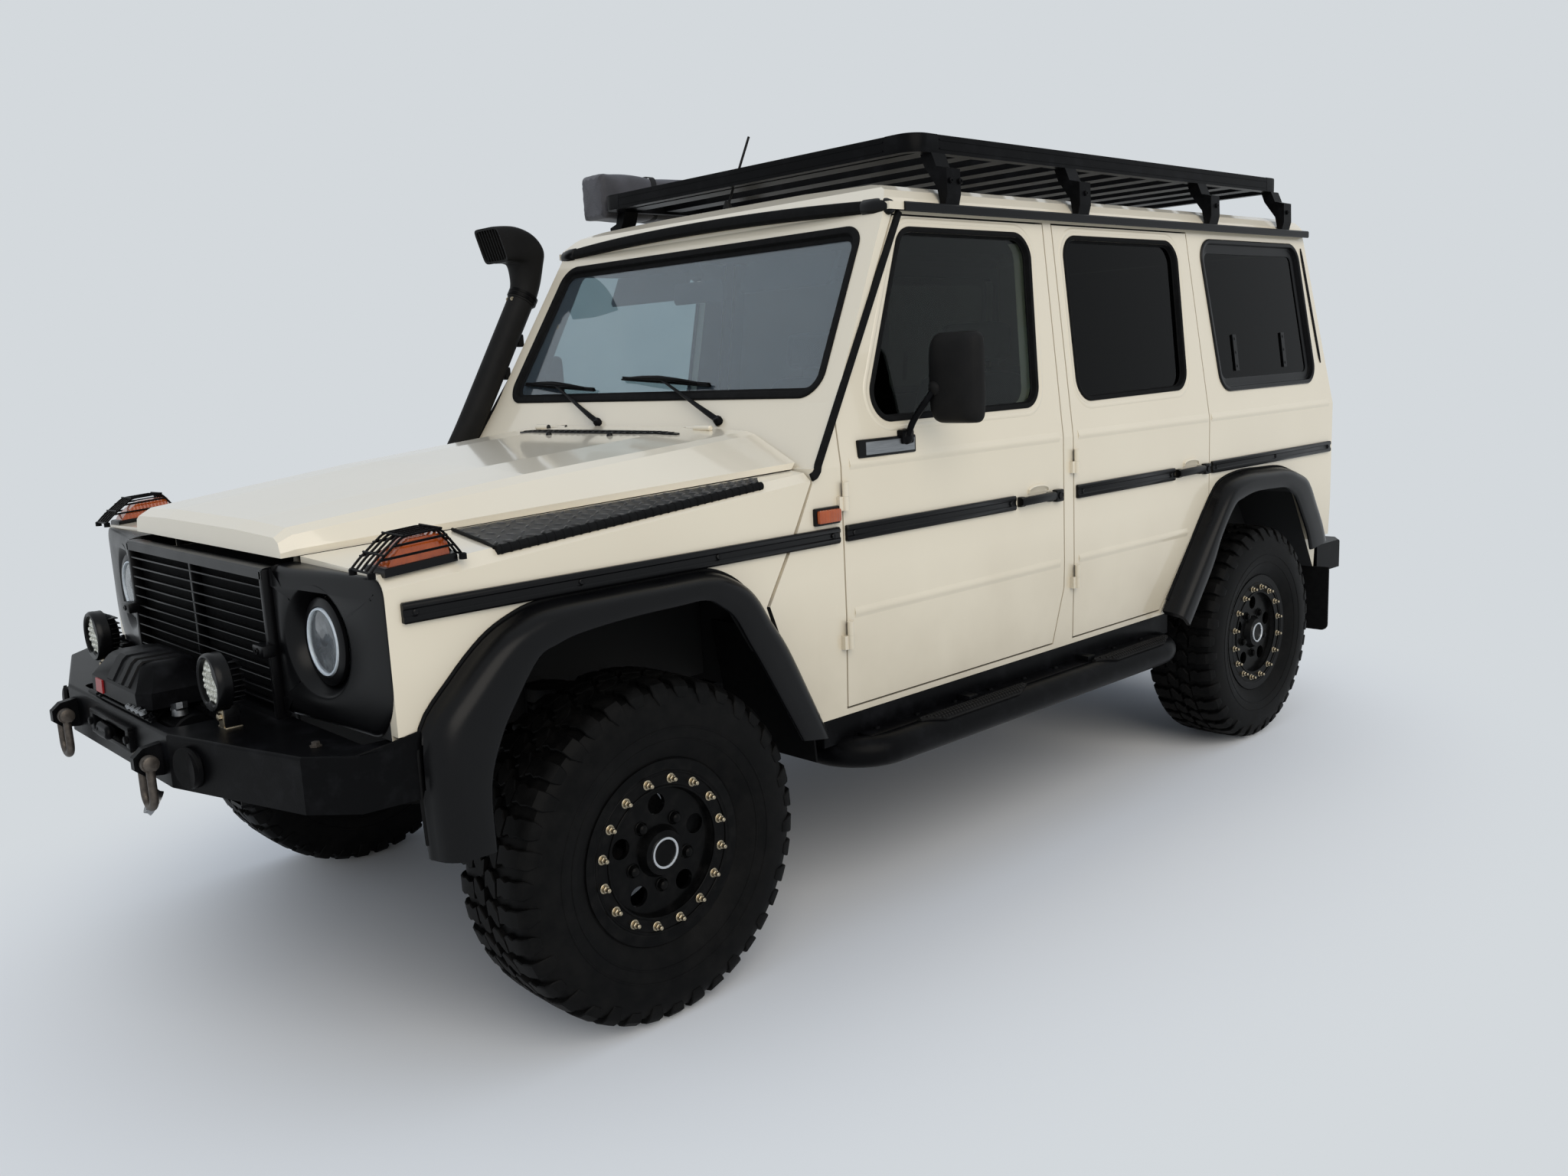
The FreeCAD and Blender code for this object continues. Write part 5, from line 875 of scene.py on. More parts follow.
# black anodised chequer plate: satin, worn to bare grey on the crests
chequer, tree, surface, where = material("black_anodised_chequer_plate", "#3A3A3B", 0.38, 0.75)
wear = add(tree, "TexNoise", {"Vector": where, "Scale": 1 / 0.03, "Detail": 5.0})
tint = add(tree, "Mix", {0: wear, 6: "#2A2A2B", 7: "#6A6968"}, data_type="RGBA")
skin = add(tree, "Bump", {"Height": wear, "Strength": 0.2, "Distance": 0.4 * MM})
feed(surface, Base_Color=tint, Normal=skin)
PLATE_FRONT, PLATE_REAR = -338, 400
WING_FRONT, WING_REAR, GAP_FRONT, GAP_REAR = -630, 552, 458, 778    # the bonnet's gap widens backwards
for hand, side in HANDS:
    def plate_point(u, v, lift):
        """u runs back along the wing from 0 to 1, v from the bonnet's gap out to the edge."""
        y = PLATE_FRONT + (PLATE_REAR - PLATE_FRONT) * u + 46 * (1 - v) * (1 - u) + 40 * (1 - v) * u
        inner = GAP_FRONT + (GAP_REAR - GAP_FRONT) * (y - WING_FRONT) / (WING_REAR - WING_FRONT) + 24
        x = inner + (waist - 19 - inner) * v
        return place(side * x, y, top_of("wings", side * x, y) + lift)

    form = bmesh.new()
    grid = [[plate_point(u / 24, v / 6, 3) for v in range(7)] for u in range(25)]
    verts = [[form.verts.new(p) for p in row] for row in grid]
    for i in range(24):
        for j in range(6):
            form.faces.new((verts[i][j], verts[i][j + 1], verts[i + 1][j + 1], verts[i + 1][j]))
    bmesh.ops.solidify(form, geom=form.faces[:], thickness=2.5 * MM)
    # raised bars, 24 mm long, lie alternately one way and the other
    bars = 26
    diamond = ((-13, 0), (-5, 3), (5, 3), (13, 0), (5, -3), (-5, -3))
    for i in range(bars):
        for j in range(5):
            u, v = (i + 0.5) / bars, (j + 0.5) / 5
            here = plate_point(u, v, 3)
            ahead_here, beside = plate_point(min(u + 0.01, 1), v, 3), plate_point(u, min(v + 0.05, 1), 3)
            along, out = (ahead_here - here).normalized(), (beside - here).normalized()
            up_here = along.cross(out).normalized()
            up_here = up_here if up_here.z > 0 else -up_here
            lean = 1 if (i + j) % 2 else -1
            way = (along + out * lean).normalized()
            over = way.cross(up_here)
            ring = [here + way * (a * MM) + over * (b * MM) for a, b in diamond]
            crest = [here + (p - here) * 0.55 + up_here * 2.2 * MM for p in ring]
            loft(form, [ring, crest])
    piece("tread_plate_" + hand, form, "body", chequer, "rack_aluminium", crease=25)
    form = bmesh.new()
    edge = [plate_point(u / 16, 1.0, 2) + mm(side * 6, 0, -3) for u in range(17)]
    front_run = [plate_point(0, v / 4, 4) for v in range(5)]
    tube(form, edge, 10, 14)
    tube(form, front_run, 4, 8)
    for u in range(34):
        at = edge[0].lerp(edge[-1], (u + 0.5) / 34)
        t = (edge[-1] - edge[0]).normalized() * 2.5 * MM
        tube(form, [at - t, at + t], 11, 14)
    piece("tread_plate_edge_" + hand, form, "body", soft_rubber, "rubber")

    def lamp_point(x, y, lift):
        """A point so far above the wing, by the front indicator."""
        return place(side * x, y, top_of("wings", side * min(x, 815), max(y, -585)) + lift)

    form = bmesh.new()
    base = [(754, -588), (836, -586), (836, -430), (788, -418), (750, -440)]
    loft(form, [[lamp_point(798 + (x - 798) * narrow, -505 + (y + 505) * shorter, lift) for x, y in base]
                for lift, narrow, shorter in ((-6, 1, 1), (7, 1, 1), (11, 0.93, 0.96))])
    piece("front_indicator_base_" + hand, form, "body", abs_black, "black_plastic")
    form = bmesh.new()
    shape = [(762, -578), (828, -576), (828, -442), (790, -430), (758, -450)]
    loft(form, [[lamp_point(796 + (x - 796) * narrow, -505 + back + (y + 505) * shorter, lift) for x, y in shape]
                for lift, narrow, shorter, back in ((8, 1.0, 1.0, 0), (22, 0.95, 0.93, 4), (38, 0.84, 0.78, 12),
                                                    (50, 0.72, 0.60, 20), (54, 0.62, 0.50, 22))])
    bmesh.ops.bevel(form, geom=[e for e in form.edges if e.calc_face_angle(0) > 0.5], offset=4 * MM, segments=2,
                    affect="EDGES")
    piece("front_indicator_lens_" + hand, form, "body", amber, "lamp_glass")
    form = bmesh.new()
    wire = 2.6
    for x in (762, 782, 802, 822, 842):
        high = x * 0.98 + 15
        hoop = ((x, -618, 8), (x, -600, 26), (high, -545, 66), (high, -465, 66), (x, -436, 26), (x, -424, 8))
        tube(form, bend([lamp_point(*at) for at in hoop], 12), wire, 6)
    for y, lift in ((-618, 8), (-588, 38), (-545, 67), (-465, 67), (-448, 42), (-424, 8)):
        tube(form, [lamp_point(758, y, lift), lamp_point(846, y, lift)], wire, 6)
    for lift, front, rear in ((30, -596, -440), (52, -566, -454)):
        for x in (846, 757):
            tube(form, [lamp_point(x, front, lift), lamp_point(x, rear, lift)], wire, 6)
    for x, y in ((764, -616), (842, -616), (846, -424), (766, -424)):
        turn(form, [(-5, 0), (-5, 8), (6, 8), (8, 5), (8, 0)], lamp_point(x, y, 2), (0, 0, 1), 12)
    piece("front_indicator_guard_" + hand, form, "body", powder, "black_steel")

# ---- wheel-arch flares
# Vacuum-formed black ABS arches bolted to the body over a rubber bead: a rounded roll out from
# the side, then a flat face down to the lip. Both are drawn through the CAD's own stations.


def smooth_run(rows, count):
    """More rows between the given ones, along a smooth curve through them."""
    out = []
    for i in range(len(rows) - 1):
        a, b = rows[max(i - 1, 0)], rows[i]
        c, d = rows[i + 1], rows[min(i + 2, len(rows) - 1)]
        for t in [k / count for k in range(count)]:
            out.append([0.5 * (2 * q + (r - p) * t + (2 * p - 5 * q + 4 * r - s) * t * t +
                               (3 * q - p - 3 * r + s) * t ** 3) for p, q, r, s in zip(a, b, c, d)])
    return out + [rows[-1]]


FRONT_FLARE = [(-556, 552, -442, 552), (-560, 700, -440, 690), (-550, 818, -408, 782), (-478, 902, -369, 846),
               (-400, 971, -309, 925), (-332, 1006, -262, 944), (-258, 1024, -206, 957), (-100, 1027, -85, 967),
               (60, 1027, 60, 971), (190, 1025, 140, 971), (262, 1002, 185, 948), (318, 960, 224, 916),
               (362, 895, 264, 850), (416, 817, 306, 781), (486, 680, 368, 672), (549, 552, 425, 572)]
REAR_FLARE = [(-618, 586, -560, 532), (-470, 758, -408, 712), (-372, 874, -343, 816), (-290, 962, -252, 913),
              (-224, 1001, -190, 934), (-97, 1019, -90, 948), (60, 1016, 50, 945), (210, 1009, 147, 938),
              (310, 985, 205, 912), (395, 948, 239, 883), (468, 848, 290, 815), (520, 772, 338, 746),
              (562, 696, 370, 672)]
low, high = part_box("tyre_rear_left")
rear_axle_y = (low.y + high.y) / 2
flare_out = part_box("front_flares")[1].x / MM - waist
for label, rows, axle, node_name in (("front_flare", FRONT_FLARE, 0, "front_flares"),
                                     ("rear_flare", REAR_FLARE, (rear_axle_y - axle_y) / MM, "rear_flares")):
    for hand, side in HANDS:
        form = bmesh.new()
        rings = []
        stations = smooth_run(rows, 4)
        for oy, oz, iy, iz in stations:
            # section: distance out from the body side, share of the way from the outer edge to the lip
            section = [(-1, 0.0), (10, 0.0), (14, 0.02)]
            section += [(14 + (flare_out - 14) * sin(radians(a)), 0.04 + 0.42 * (1 - cos(radians(a))))
                        for a in (15, 30, 45, 60, 75, 90)]
            section += [(flare_out, 0.7), (flare_out, 0.94), (flare_out - 2, 0.985), (flare_out - 6, 1.0),
                        (flare_out - 12, 0.99), (flare_out - 14, 0.9), (flare_out - 14, 0.55),
                        (flare_out - 26, 0.42), (10, 0.3), (-1, 0.3)]
            ring = []
            for out, share in section:
                y, z = oy + (iy - oy) * share, oz + (iz - oz) * share
                if label == "front_flare" and y < -495 and 672 < z < 803 and out < 18:
                    out = 18        # it is cut away round the bumper's end
                ring.append(place(side * (waist + out), axle + y, z))
            rings.append(ring)
        loft(form, rings)
        made = piece("%s_%s" % (label, hand), form, "body", abs_black, "flare_plastic", crease=50)
        if hand == "left":
            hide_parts(node_name)
        # the bead between flare and body
        form = bmesh.new()
        tube(form, [place(side * (waist + 2), axle + oy, oz + 3) for oy, oz, iy, iz in stations[1:-1]], 4.5, 8)
        piece("%s_bead_%s" % (label, hand), form, "body", soft_rubber, "rubber")

# ---- front: grille, lamps, winch and bumper
# Headlamps have a clear ribbed lens in a bright halo; driving lamps carry a grid of LEDs; the
# winch's relay box is ribbed and its rope's thimble lies in the fairlead. The grille is bare.
grille_low, grille_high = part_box("grille")
GRILLE_FRONT = (grille_low.y - axle_y) / MM
LOUVRES = 11
grille_deep, grille_tall = (grille_high.y - grille_low.y) / MM, (grille_high.z - grille_low.z) / MM


def on_grille(x, y, z):
    """A point in millimetres from the middle of the grille's lower front edge."""
    return Vector((0, grille_low.y, grille_low.z)) + mm(x, y, z)


form = bmesh.new()
hood = [(0, -24), (0, -7), (5, -1.5), (12, 0), (33, 0), (33, -24)]
loft(form, [[on_grille(side * 438, y, grille_tall + z) for y, z in hood] for side in (-1, 1)])
foot = [(2, 0), (2, 14), (31, 14), (31, 0)]
loft(form, [[on_grille(side * 438, y, z) for y, z in foot] for side in (-1, 1)])
for side in (-1, 1):
    block(form, on_grille(side * 421, 0, 0), on_grille(side * 439, grille_deep, grille_tall - 3), 5)
block(form, on_grille(-6, 4, 6), on_grille(6, grille_deep - 3, grille_tall - 12), 2)
blade = [(3, -2), (2.2, 0), (3, 1.6), (26, -5), (26, -8.5)]
for i in range(LOUVRES):
    z = 22 + (grille_tall - 52) * (i + 0.5) / LOUVRES
    loft(form, [[on_grille(side * 424, y, z + up) for y, up in blade] for side in (-1, 1)])
made = piece("grille_louvres", form, "body", abs_black, "black_plastic")
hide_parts("grille")
form = bmesh.new()
block(form, on_grille(-424, grille_deep - 4, 8), on_grille(424, grille_deep, grille_tall - 8), 1)
piece("grille_gauze", form, "body", soft_rubber, "black_plastic")
form = bmesh.new()
for side in (1, -1):
    block(form, place(side * 405, GRILLE_FRONT - 24, 935), place(side * 462, GRILLE_FRONT + 6, 962), 6)
    turn(form, [(-2, 0), (-2, 7), (4, 7), (4, 4), (1, 4), (1, 0)],
         place(side * 432, GRILLE_FRONT - 23, 949), (0, -1, 0), 16)
piece("grille_frame_and_sensors", form, "body", abs_black, "black_plastic")

# clear polycarbonate: almost invisible, with faint ribs
clear, tree, surface, where = material("clear_polycarbonate", "#E8EDF0", 0.05, Transmission_Weight=0.9)
ribs = add(tree, "TexVoronoi", {"Vector": where, "Scale": 1 / 0.018})
skin = add(tree, "Bump", {"Height": ribs, "Strength": 0.3, "Distance": 1 * MM})
haze = add(tree, "TexNoise", {"Vector": where, "Scale": 1 / 0.05, "Detail": 3.0})
tint = add(tree, "Mix", {0: haze, 6: "#D5DDE2", 7: "#F4F7F8"}, data_type="RGBA")
feed(surface, Normal=skin, Base_Color=tint)
# the halo round each headlamp: milky diffusing acrylic, faintly mottled
milky, tree, surface, where = material("milky_acrylic", "#C9D0D4", 0.35)
haze = add(tree, "TexNoise", {"Vector": where, "Scale": 1 / 0.01, "Detail": 3.0})
tint = add(tree, "Mix", {0: haze, 6: "#AEB8BE", 7: "#DDE3E6"}, data_type="RGBA")
feed(surface, Base_Color=tint)
# LED chips: warm yellow phosphor under tiny lenses
phosphor, tree, surface, where = material("led_phosphor", "#D9D6A8", 0.3, Coat_Weight=0.6)
chips = add(tree, "TexVoronoi", {"Vector": where, "Scale": 1 / 0.006})
tint = add(tree, "Mix", {0: chips, 6: "#F1F1E4", 7: "#77776A"}, data_type="RGBA")
feed(surface, Base_Color=tint)

# each surround is one deep moulding: a cone round the lamp and softly rolled outer edges
lamp_low, lamp_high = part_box("headlamps")
lamp_z = (lamp_low.z + lamp_high.z) / 2
lamp_x = 600
lamp_y = lamp_low.y + 27 * MM        # the lens lies in the bottom of the surround's cone
corners = ((441, 1128, 6), (841, 1124, 46), (841, 858, 130), (772, 800, 60), (441, 800, 6))
outline = []
for i, (x, z, r) in enumerate(corners):
    here = Vector((x, z))
    last, following = Vector(corners[i - 1][:2]), Vector(corners[(i + 1) % len(corners)][:2])
    into, out = (here - last).normalized(), (following - here).normalized()
    cut_back = r * tan(into.angle(out) / 2)
    start, end = here - into * cut_back, here + out * cut_back
    for k in range(9):
        t = k / 8
        outline.append(start * (1 - t) ** 2 + here * 2 * t * (1 - t) + end * t * t)
dense = []
for a, b in zip(outline, outline[1:] + outline[:1]):
    parts = max(1, int((b - a).length / 14))
    dense += [a.lerp(b, k / parts) for k in range(parts)]
surround_y = (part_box("headlamp_surrounds")[0].y - axle_y) / MM
for hand, side in HANDS:
    rings = [[] for _ in range(13)]
    for i, p in enumerate(dense):
        run = (dense[(i + 1) % len(dense)] - dense[i - 1]).normalized()
        inward = Vector((-run.y, run.x))
        hub = Vector((lamp_x, lamp_z / MM))
        if inward.dot(hub - p) < 0:
            inward = -inward
        soft = 0.3 if p.x < 446 else 1.0
        ray = (p - hub).normalized()
        steps = [(hub + ray * 92, 59), (hub + ray * 92, 46), (hub + ray * 106, 22), (hub + ray * 114, 3),
                 (hub + ray * 119, 0.2), (p + inward * 44 * soft, 0), (p + inward * 28 * soft, 2.5),
                 (p + inward * 14 * soft, 8), (p + inward * 5 * soft, 18), (p + inward * 1 * soft, 32), (p, 46),
                 (p, 60), (p + inward * 6, 60)]
        for ring, (spot, back) in zip(rings, steps):
            # the face is swept back towards the truck's side
            swept = max(0, min(58, 0.145 * (spot.x - 441)))
            ring.append(place(side * spot.x, surround_y + swept + (60 - swept) * back / 60, spot.y))
    form = bmesh.new()
    loft(form, rings, closed=True)
    made = piece("headlamp_surround_" + hand, form, "body", abs_black, "black_plastic", crease=50)
    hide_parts("headlamp_surrounds")
for hand, side in HANDS:
    face = Vector((side * lamp_x * MM, lamp_y, lamp_z))
    form = bmesh.new()
    turn(form, [(-4, 0), (-4, 74), (-2, 74), (0, 72)] +
         [(4 + 9 * cos(radians(a)), 72 * sin(radians(a))) for a in (80, 65, 50, 35, 20, 8)] +
         [(13.2, 0)], face, (0, -1, 0), 48)
    made = piece("headlamp_lens_" + hand, form, "body", clear, "lamp_glass", crease=60)
    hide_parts("headlamps")
    # the bowl behind: a dish with a projector and its cut-off shield in the middle
    form = bmesh.new()
    turn(form, [(-34, 0), (-34, 30), (-30, 52), (-20, 72), (-7, 84), (-7, 88), (-36, 88), (-40, 60),
                (-40, 0)], face, (0, -1, 0), 48)
    turn(form, [(-34, 0), (-34, 34), (-14, 32), (-10, 28), (-4, 18), (-2, 0)],
         face + mm(0, 0, 8), (0, -1, 0), 32)
    for i in range(6):
        a = radians(210 + 24 * i)
        turn(form, [(-30, 0), (-30, 12), (-14, 10), (-12, 0)],
             face + Vector((58 * MM * cos(a), 0, 58 * MM * sin(a))), (0, -1, 0), 16)
    piece("headlamp_bowl_" + hand, form, "body", bowl, "lamp_glass", crease=40)
    for label, finish, slot, section in (
            ("halo", milky, "lamp_glass", ((71, 2), (71, -9), (70, -12), (66.5, -12), (65.5, -10), (65.5, 2))),
            ("ring", abs_black, "black_plastic", ((92, 2), (92, -5), (88, -8), (74, -10), (71, -7), (71, 2)))):
        form = bmesh.new()
        loft(form, [[face + mm(r * cos(a), y, r * sin(a)) for r, y in section] for a in around(64)], closed=True)
        piece("headlamp_%s_%s" % (label, hand), form, "body", finish, slot)

# driving lamps: a round grid of LEDs in a shallow finned housing, on a bolted foot
drive_low, drive_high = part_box("driving_lamps")
for hand, side in HANDS:
    face = Vector((side * 400 * MM, drive_low.y, drive_high.z - 62 * MM))
    # a shallow cast can, its bezel drawn in at three lobes over the lens
    form = bmesh.new()
    turn(form, [(-10, 0), (-10, 57), (3, 58), (2, 62), (-22, 62), (-26, 56), (-44, 46), (-48, 40), (-48, 0)],
         face, (0, -1, 0), 56)
    rings = []
    for a in around(72):
        lobe = 13 * max(0, cos(1.5 * (a - 0.5))) ** 6
        rings.append([face + mm(r * cos(a), y, r * sin(a)) for r, y in (
            (62.5, 6), (62.5, -3), (59, -8), (55 - lobe, -9), (51 - lobe, -6), (51 - lobe, 4))])
    loft(form, rings, closed=True)
    for fin in range(8):
        z = -42 + fin * 12
        wide = sqrt(max(0, 56 ** 2 - z ** 2))
        block(form, face + mm(-wide, 24, z - 1.5), face + mm(wide, 50, z + 1.5), 1)
    for foot in (-1, 1):
        block(form, face + mm(foot * 16 - 3, 12, -104), face + mm(foot * 16 + 3, 44, -52), 2)
    made = piece("driving_lamp_bezel_" + hand, form, "body", abs_black, "black_steel")
    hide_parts("driving_lamps")
    form = bmesh.new()
    turn(form, [(-7, 0), (-7, 52), (-3, 52), (-3, 0)], face, (0, -1, 0), 40)
    for row in range(-3, 4):
        for column in range(-3, 4):
            if hypot(column, row) * 13 <= 45:
                turn(form, [(-4, 0), (-4, 6), (0.5, 5), (2, 2.5), (2.4, 0)],
                     face + mm(column * 13, 0, row * 13), (0, -1, 0), 10)
    piece("driving_lamp_leds_" + hand, form, "body", phosphor, "lamp_glass")
    # the foot: a folded zinc-plated bracket with its bolt
    form = bmesh.new()
    block(form, face + mm(-22, 10, -102), face + mm(22, 46, -97), 1.5)
    block(form, face + mm(-13, 10, -100), face + mm(13, 14, -56), 1.5)
    turn(form, [(0, 0), (0, 8), (6, 8), (7, 6), (7, 0)], face + mm(0, 10, -76), (0, -1, 0), 6)
    piece("driving_lamp_foot_" + hand, form, "body", zinc, "shackle_steel")

# the winch's plain maker's plate: stoved red enamel, faintly mottled
red_enamel, tree, surface, where = material("stoved_red_enamel", "#8E1A1C", 0.35)
mottle = add(tree, "TexNoise", {"Vector": where, "Scale": 1 / 0.02, "Detail": 4.0})
tint = add(tree, "Mix", {0: mottle, 6: "#7E1416", 7: "#9C2224"}, data_type="RGBA")
feed(surface, Base_Color=tint)

# winch: relay box with ribs, a drum between two round ends, tie bars and terminals
winch_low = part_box("winch")[0]


def chamfered(z, x0, x1, y0, y1, cut):
    """One level of the winch case: a rectangle in plan with its corners cut."""
    return [place(x, y, z) for x, y in ((x0 + cut, y0), (x1 - cut, y0), (x1, y0 + cut), (x1, y1 - cut),
                                        (x1 - cut, y1), (x0 + cut, y1), (x0, y1 - cut), (x0, y0 + cut))]


form = bmesh.new()
loft(form, [chamfered(*level) for level in (
    (806, -170, 176, -852, -706, 20), (812, -180, 186, -862, -700, 24), (848, -178, 184, -862, -700, 26),
    (853, -174, 180, -858, -702, 26), (896, -132, 138, -832, -716, 22), (903, -122, 128, -824, -722, 20),
    (905, -112, 118, -816, -730, 18))])
for x, wide in ((48, 15), (96, 15), (-20, 26)):      # ribs pressed up over the top and the front slope
    section = ((-1, 0, 0), (-0.8, -2, 4), (0.8, -2, 4), (1, 0, 0), (0, 4, -6))
    loft(form, [[place(x + dx * wide, y + dy, z + dz) for dx, dy, dz in section]
                for y, z in ((-858, 853), (-832, 896), (-822, 904), (-740, 905))])
made = piece("winch_case", form, "body", powder, "black_plastic", crease=28)
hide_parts("winch")
form = bmesh.new()
loft(form, [[place(x, y, z) for x, z in ((-118, 815), (-70, 815), (-66, 847), (-112, 847))] for y in (-861, -866)])
piece("winch_blank_plate", form, "body", red_enamel, "black_plastic", crease=40)
form = bmesh.new()
for start, wide, r in ((-110, 220, 36), (110, 125, 52), (-235, 125, 52)):
    turn(form, [(0, 0), (0, r - 4), (4, r), (wide - 4, r), (wide, r - 4), (wide, 0)],
         place(start, -770, 745), (1, 0, 0), 36)
for k in range(17):                                   # steel-grey rope lying on the drum
    turn(form, [(-6, 37), (-3, 42), (3, 42), (6, 37)], place(-98 + 12.2 * k, -770, 745), (1, 0, 0), 28)
for x in (-125, 105):
    block(form, place(x, -822, 742), place(x + 20, -718, 812), 3)
block(form, place(-128, -815, 790), place(128, -725, 810), 3)
piece("winch_drum_and_ends", form, "body", powder, "black_steel", crease=30)
form = bmesh.new()
for y in (0.02, 0.13):
    tube(form, [Vector((x, winch_low.y + y, winch_low.z + 0.105)) for x in (-0.225, 0.225)], 7, 12)
for x in (-0.16, -0.13, 0.15, 0.18, 0.21):
    turn(form, [(0, 0), (0, 9), (7, 9), (8, 7), (8, 4), (16, 4), (16, 0)],
         (x, winch_low.y + 0.022, winch_low.z + 0.108), (0, -0.3, 1), 6)
piece("winch_tie_bars", form, "body", powder, "black_steel")

# fairlead: a black powder-coated frame with a rounded mouth, and the rope's thimble in it
bumper_low, bumper_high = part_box("front_bumper")
fair_y = touch("front_bumper", place(0, -1300, 775), (0, 1, 0)).y
mouth = Vector((0, fair_y, 0))
form = bmesh.new()
for x0, x1, z0, z1 in ((-140, 140, 716, 727), (-140, 140, 763, 774), (-140, -116, 724, 766), (116, 140, 724, 766)):
    block(form, mouth + mm(x0, -14, z0), mouth + mm(x1, 4, z1), 4)
for x in (-128, 128):
    turn(form, [(0, 0), (0, 9), (6, 9), (7, 7), (7, 0)], mouth + mm(x, -14, 745), (0, -1, 0), 6)
piece("fairlead", form, "body", powder, "black_steel")
form = bmesh.new()
ring = ((-30, -22, 752), (-34, -24, 738), (34, -24, 738), (30, -22, 752), (-28, -22, 754))
tube(form, bend([mouth + mm(*at) for at in ring], 12), 9, 12)
block(form, mouth + mm(-36, -30, 735), mouth + mm(36, -8, 757), 7)
piece("rope_thimble", form, "body", powder, "black_steel")

# round cover plugs, the bolts on top of the bumper and the pins through the shackle lugs
form = bmesh.new()
for side in (1, -1):
    hit = touch("front_bumper", place(side * 425, -1300, 735), (0, 1, 0))
    out = Vector((side * 0.27, -1, 0)).normalized()
    turn(form, [(-4, 0), (-4, 43), (2.5, 43), (4, 40), (3, 30), (3, 0)], hit, out, 40)
piece("bumper_plugs", form, "body", soft_rubber, "rubber")
form = bmesh.new()
for side in (1, -1):
    for y in (-700, -600):
        hit = touch("front_bumper", place(side * 700, y, 1200), (0, 0, -1))
        if hit:
            turn(form, [(-1, 0), (-1, 13), (2, 13), (2.5, 9), (9, 8.5), (9.5, 7), (9.5, 0)], hit, (0, 0, 1), 6)
    low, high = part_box("tow_shackles")
    turn(form, [(-44, 0), (-44, 13), (-32, 15), (-30, 9), (30, 9), (32, 16), (42, 16), (44, 13), (44, 0)],
         Vector((side * 300 * MM, low.y + 18 * MM, high.z - 16 * MM)), (1, 0, 0), 16)
piece("bumper_bolts", form, "body", forged, "shackle_steel")

# ---- windscreen, cowl and visor
# Two wipers parked on the glass, washer nozzles and a vent in the bonnet's rear edge, and a
# black rubber-faced visor bar across the front of the roof with moulded end caps.


def on_screen(x, z, lift):
    """A point above the glass of the windscreen."""
    hit = touch("windscreen", place(x, -200, z), (0, 1, 0)) or touch("cab_shell", place(x, -200, z), (0, 1, 0))
    return hit + screen_out * (lift * MM)


for label, pivot, blade in (("near", (401, 1336), ((-143, 1462), (289, 1435))),
                            ("far", (-164, 1331), ((-688, 1455), (-273, 1431)))):
    form = bmesh.new()
    foot = touch("cab_shell", place(pivot[0], -200, pivot[1]), (0, 1, 0)) + mm(0, -6, 8)
    ends = [on_screen(x, z, 12) for x, z in blade]
    mid = (ends[0] + ends[1]) / 2 + screen_out * 14 * MM
    knuckle = foot + (mid - foot) * 0.28 + screen_out * 10 * MM
    turn(form, [(-10, 0), (-10, 13), (4, 13), (10, 9), (10, 0)], foot, (0, -0.6, 0.8), 20)
    tube(form, [foot, foot.lerp(knuckle, 0.4) + screen_out * 4 * MM, knuckle, knuckle.lerp(mid, 0.5), mid],
         [9, 8.5, 7, 4.5, 4], 10)
    # the blade's bridge, its four claws and its rubber
    bows = [(((0.12, 4), (0.3, 14), (0.5, 19), (0.7, 14), (0.88, 4)), [4, 6, 7.5, 6, 4], 8)]
    bows += [(((a, -3), (a + 0.12, 5), (a + 0.24, -3)), [2, 3, 2], 6) for a in (0.02, 0.26, 0.5, 0.74)]
    for bow, radii, sides in bows:
        tube(form, [ends[0].lerp(ends[1], t) + screen_out * h * MM for t, h in bow], radii, sides)
    piece("wiper_" + label, form, "body", powder, "black_steel")
    form = bmesh.new()
    section = [(-6, -5), (6, -5), (6, -1), (2, 0), (1.5, -11), (-1.5, -11), (-2, 0), (-6, -1)]
    sweep(form, [ends[0].lerp(ends[1], i / 8) for i in range(9)], section, screen_out, closed=False)
    piece("wiper_rubber_" + label, form, "body", soft_rubber, "rubber")

# cream rest rollers and black washer nozzles on the bonnet, and the slotted vent at its rear
form = bmesh.new()
for x in (395, -395):
    z = top_of("bonnet", x, 588) or 1318
    loft(form, [[place(x + u, 588 + r * cos(a), z + 5 + r * sin(a)) for a in around(16)]
                for u, r in ((-36, 5), (-33, 8), (-10, 9), (10, 9), (33, 8), (36, 5))])
piece("bonnet_rest_rollers", form, "bonnet_lid", cream, "body_paint")
form = bmesh.new()
for x in (-153, 153):
    z = top_of("bonnet", x, 450)
    turn(form, [(-4, 0), (-4, 9), (3, 9), (9, 5), (10, 0)], place(x, 450, z), (0, 0.2, 1), 16)
piece("washer_jets", form, "bonnet_lid", abs_black, "black_plastic")
form = bmesh.new()
rows = []
for i in range(33):
    x = -390 + 780 * i / 32
    wide = 44 * sqrt(max(0, 1 - (x / 396) ** 2)) + 4
    edges = [(y, top_of("bonnet", x, y)) for y in (505 - wide / 2, 505 + wide / 2)]
    rows.append([place(x, y, z + 4) for y, z in edges] + [place(x, y, z - 3) for y, z in edges[::-1]])
loft(form, rows)
for i in range(25):
    x = -360 + 30 * i
    wide = 36 * sqrt(max(0, 1 - (x / 396) ** 2)) + 2
    z = top_of("bonnet", x, 505)
    block(form, place(x - 4, 505 - wide / 2, z), place(x + 4, 505 + wide / 2, z + 6), 1)
piece("bonnet_vent", form, "bonnet_lid", abs_black, "black_plastic")

# the visor bar, bowed over the roof's front edge
form = bmesh.new()
roof_low, roof_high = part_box("roof")
BAR_HALF = 752


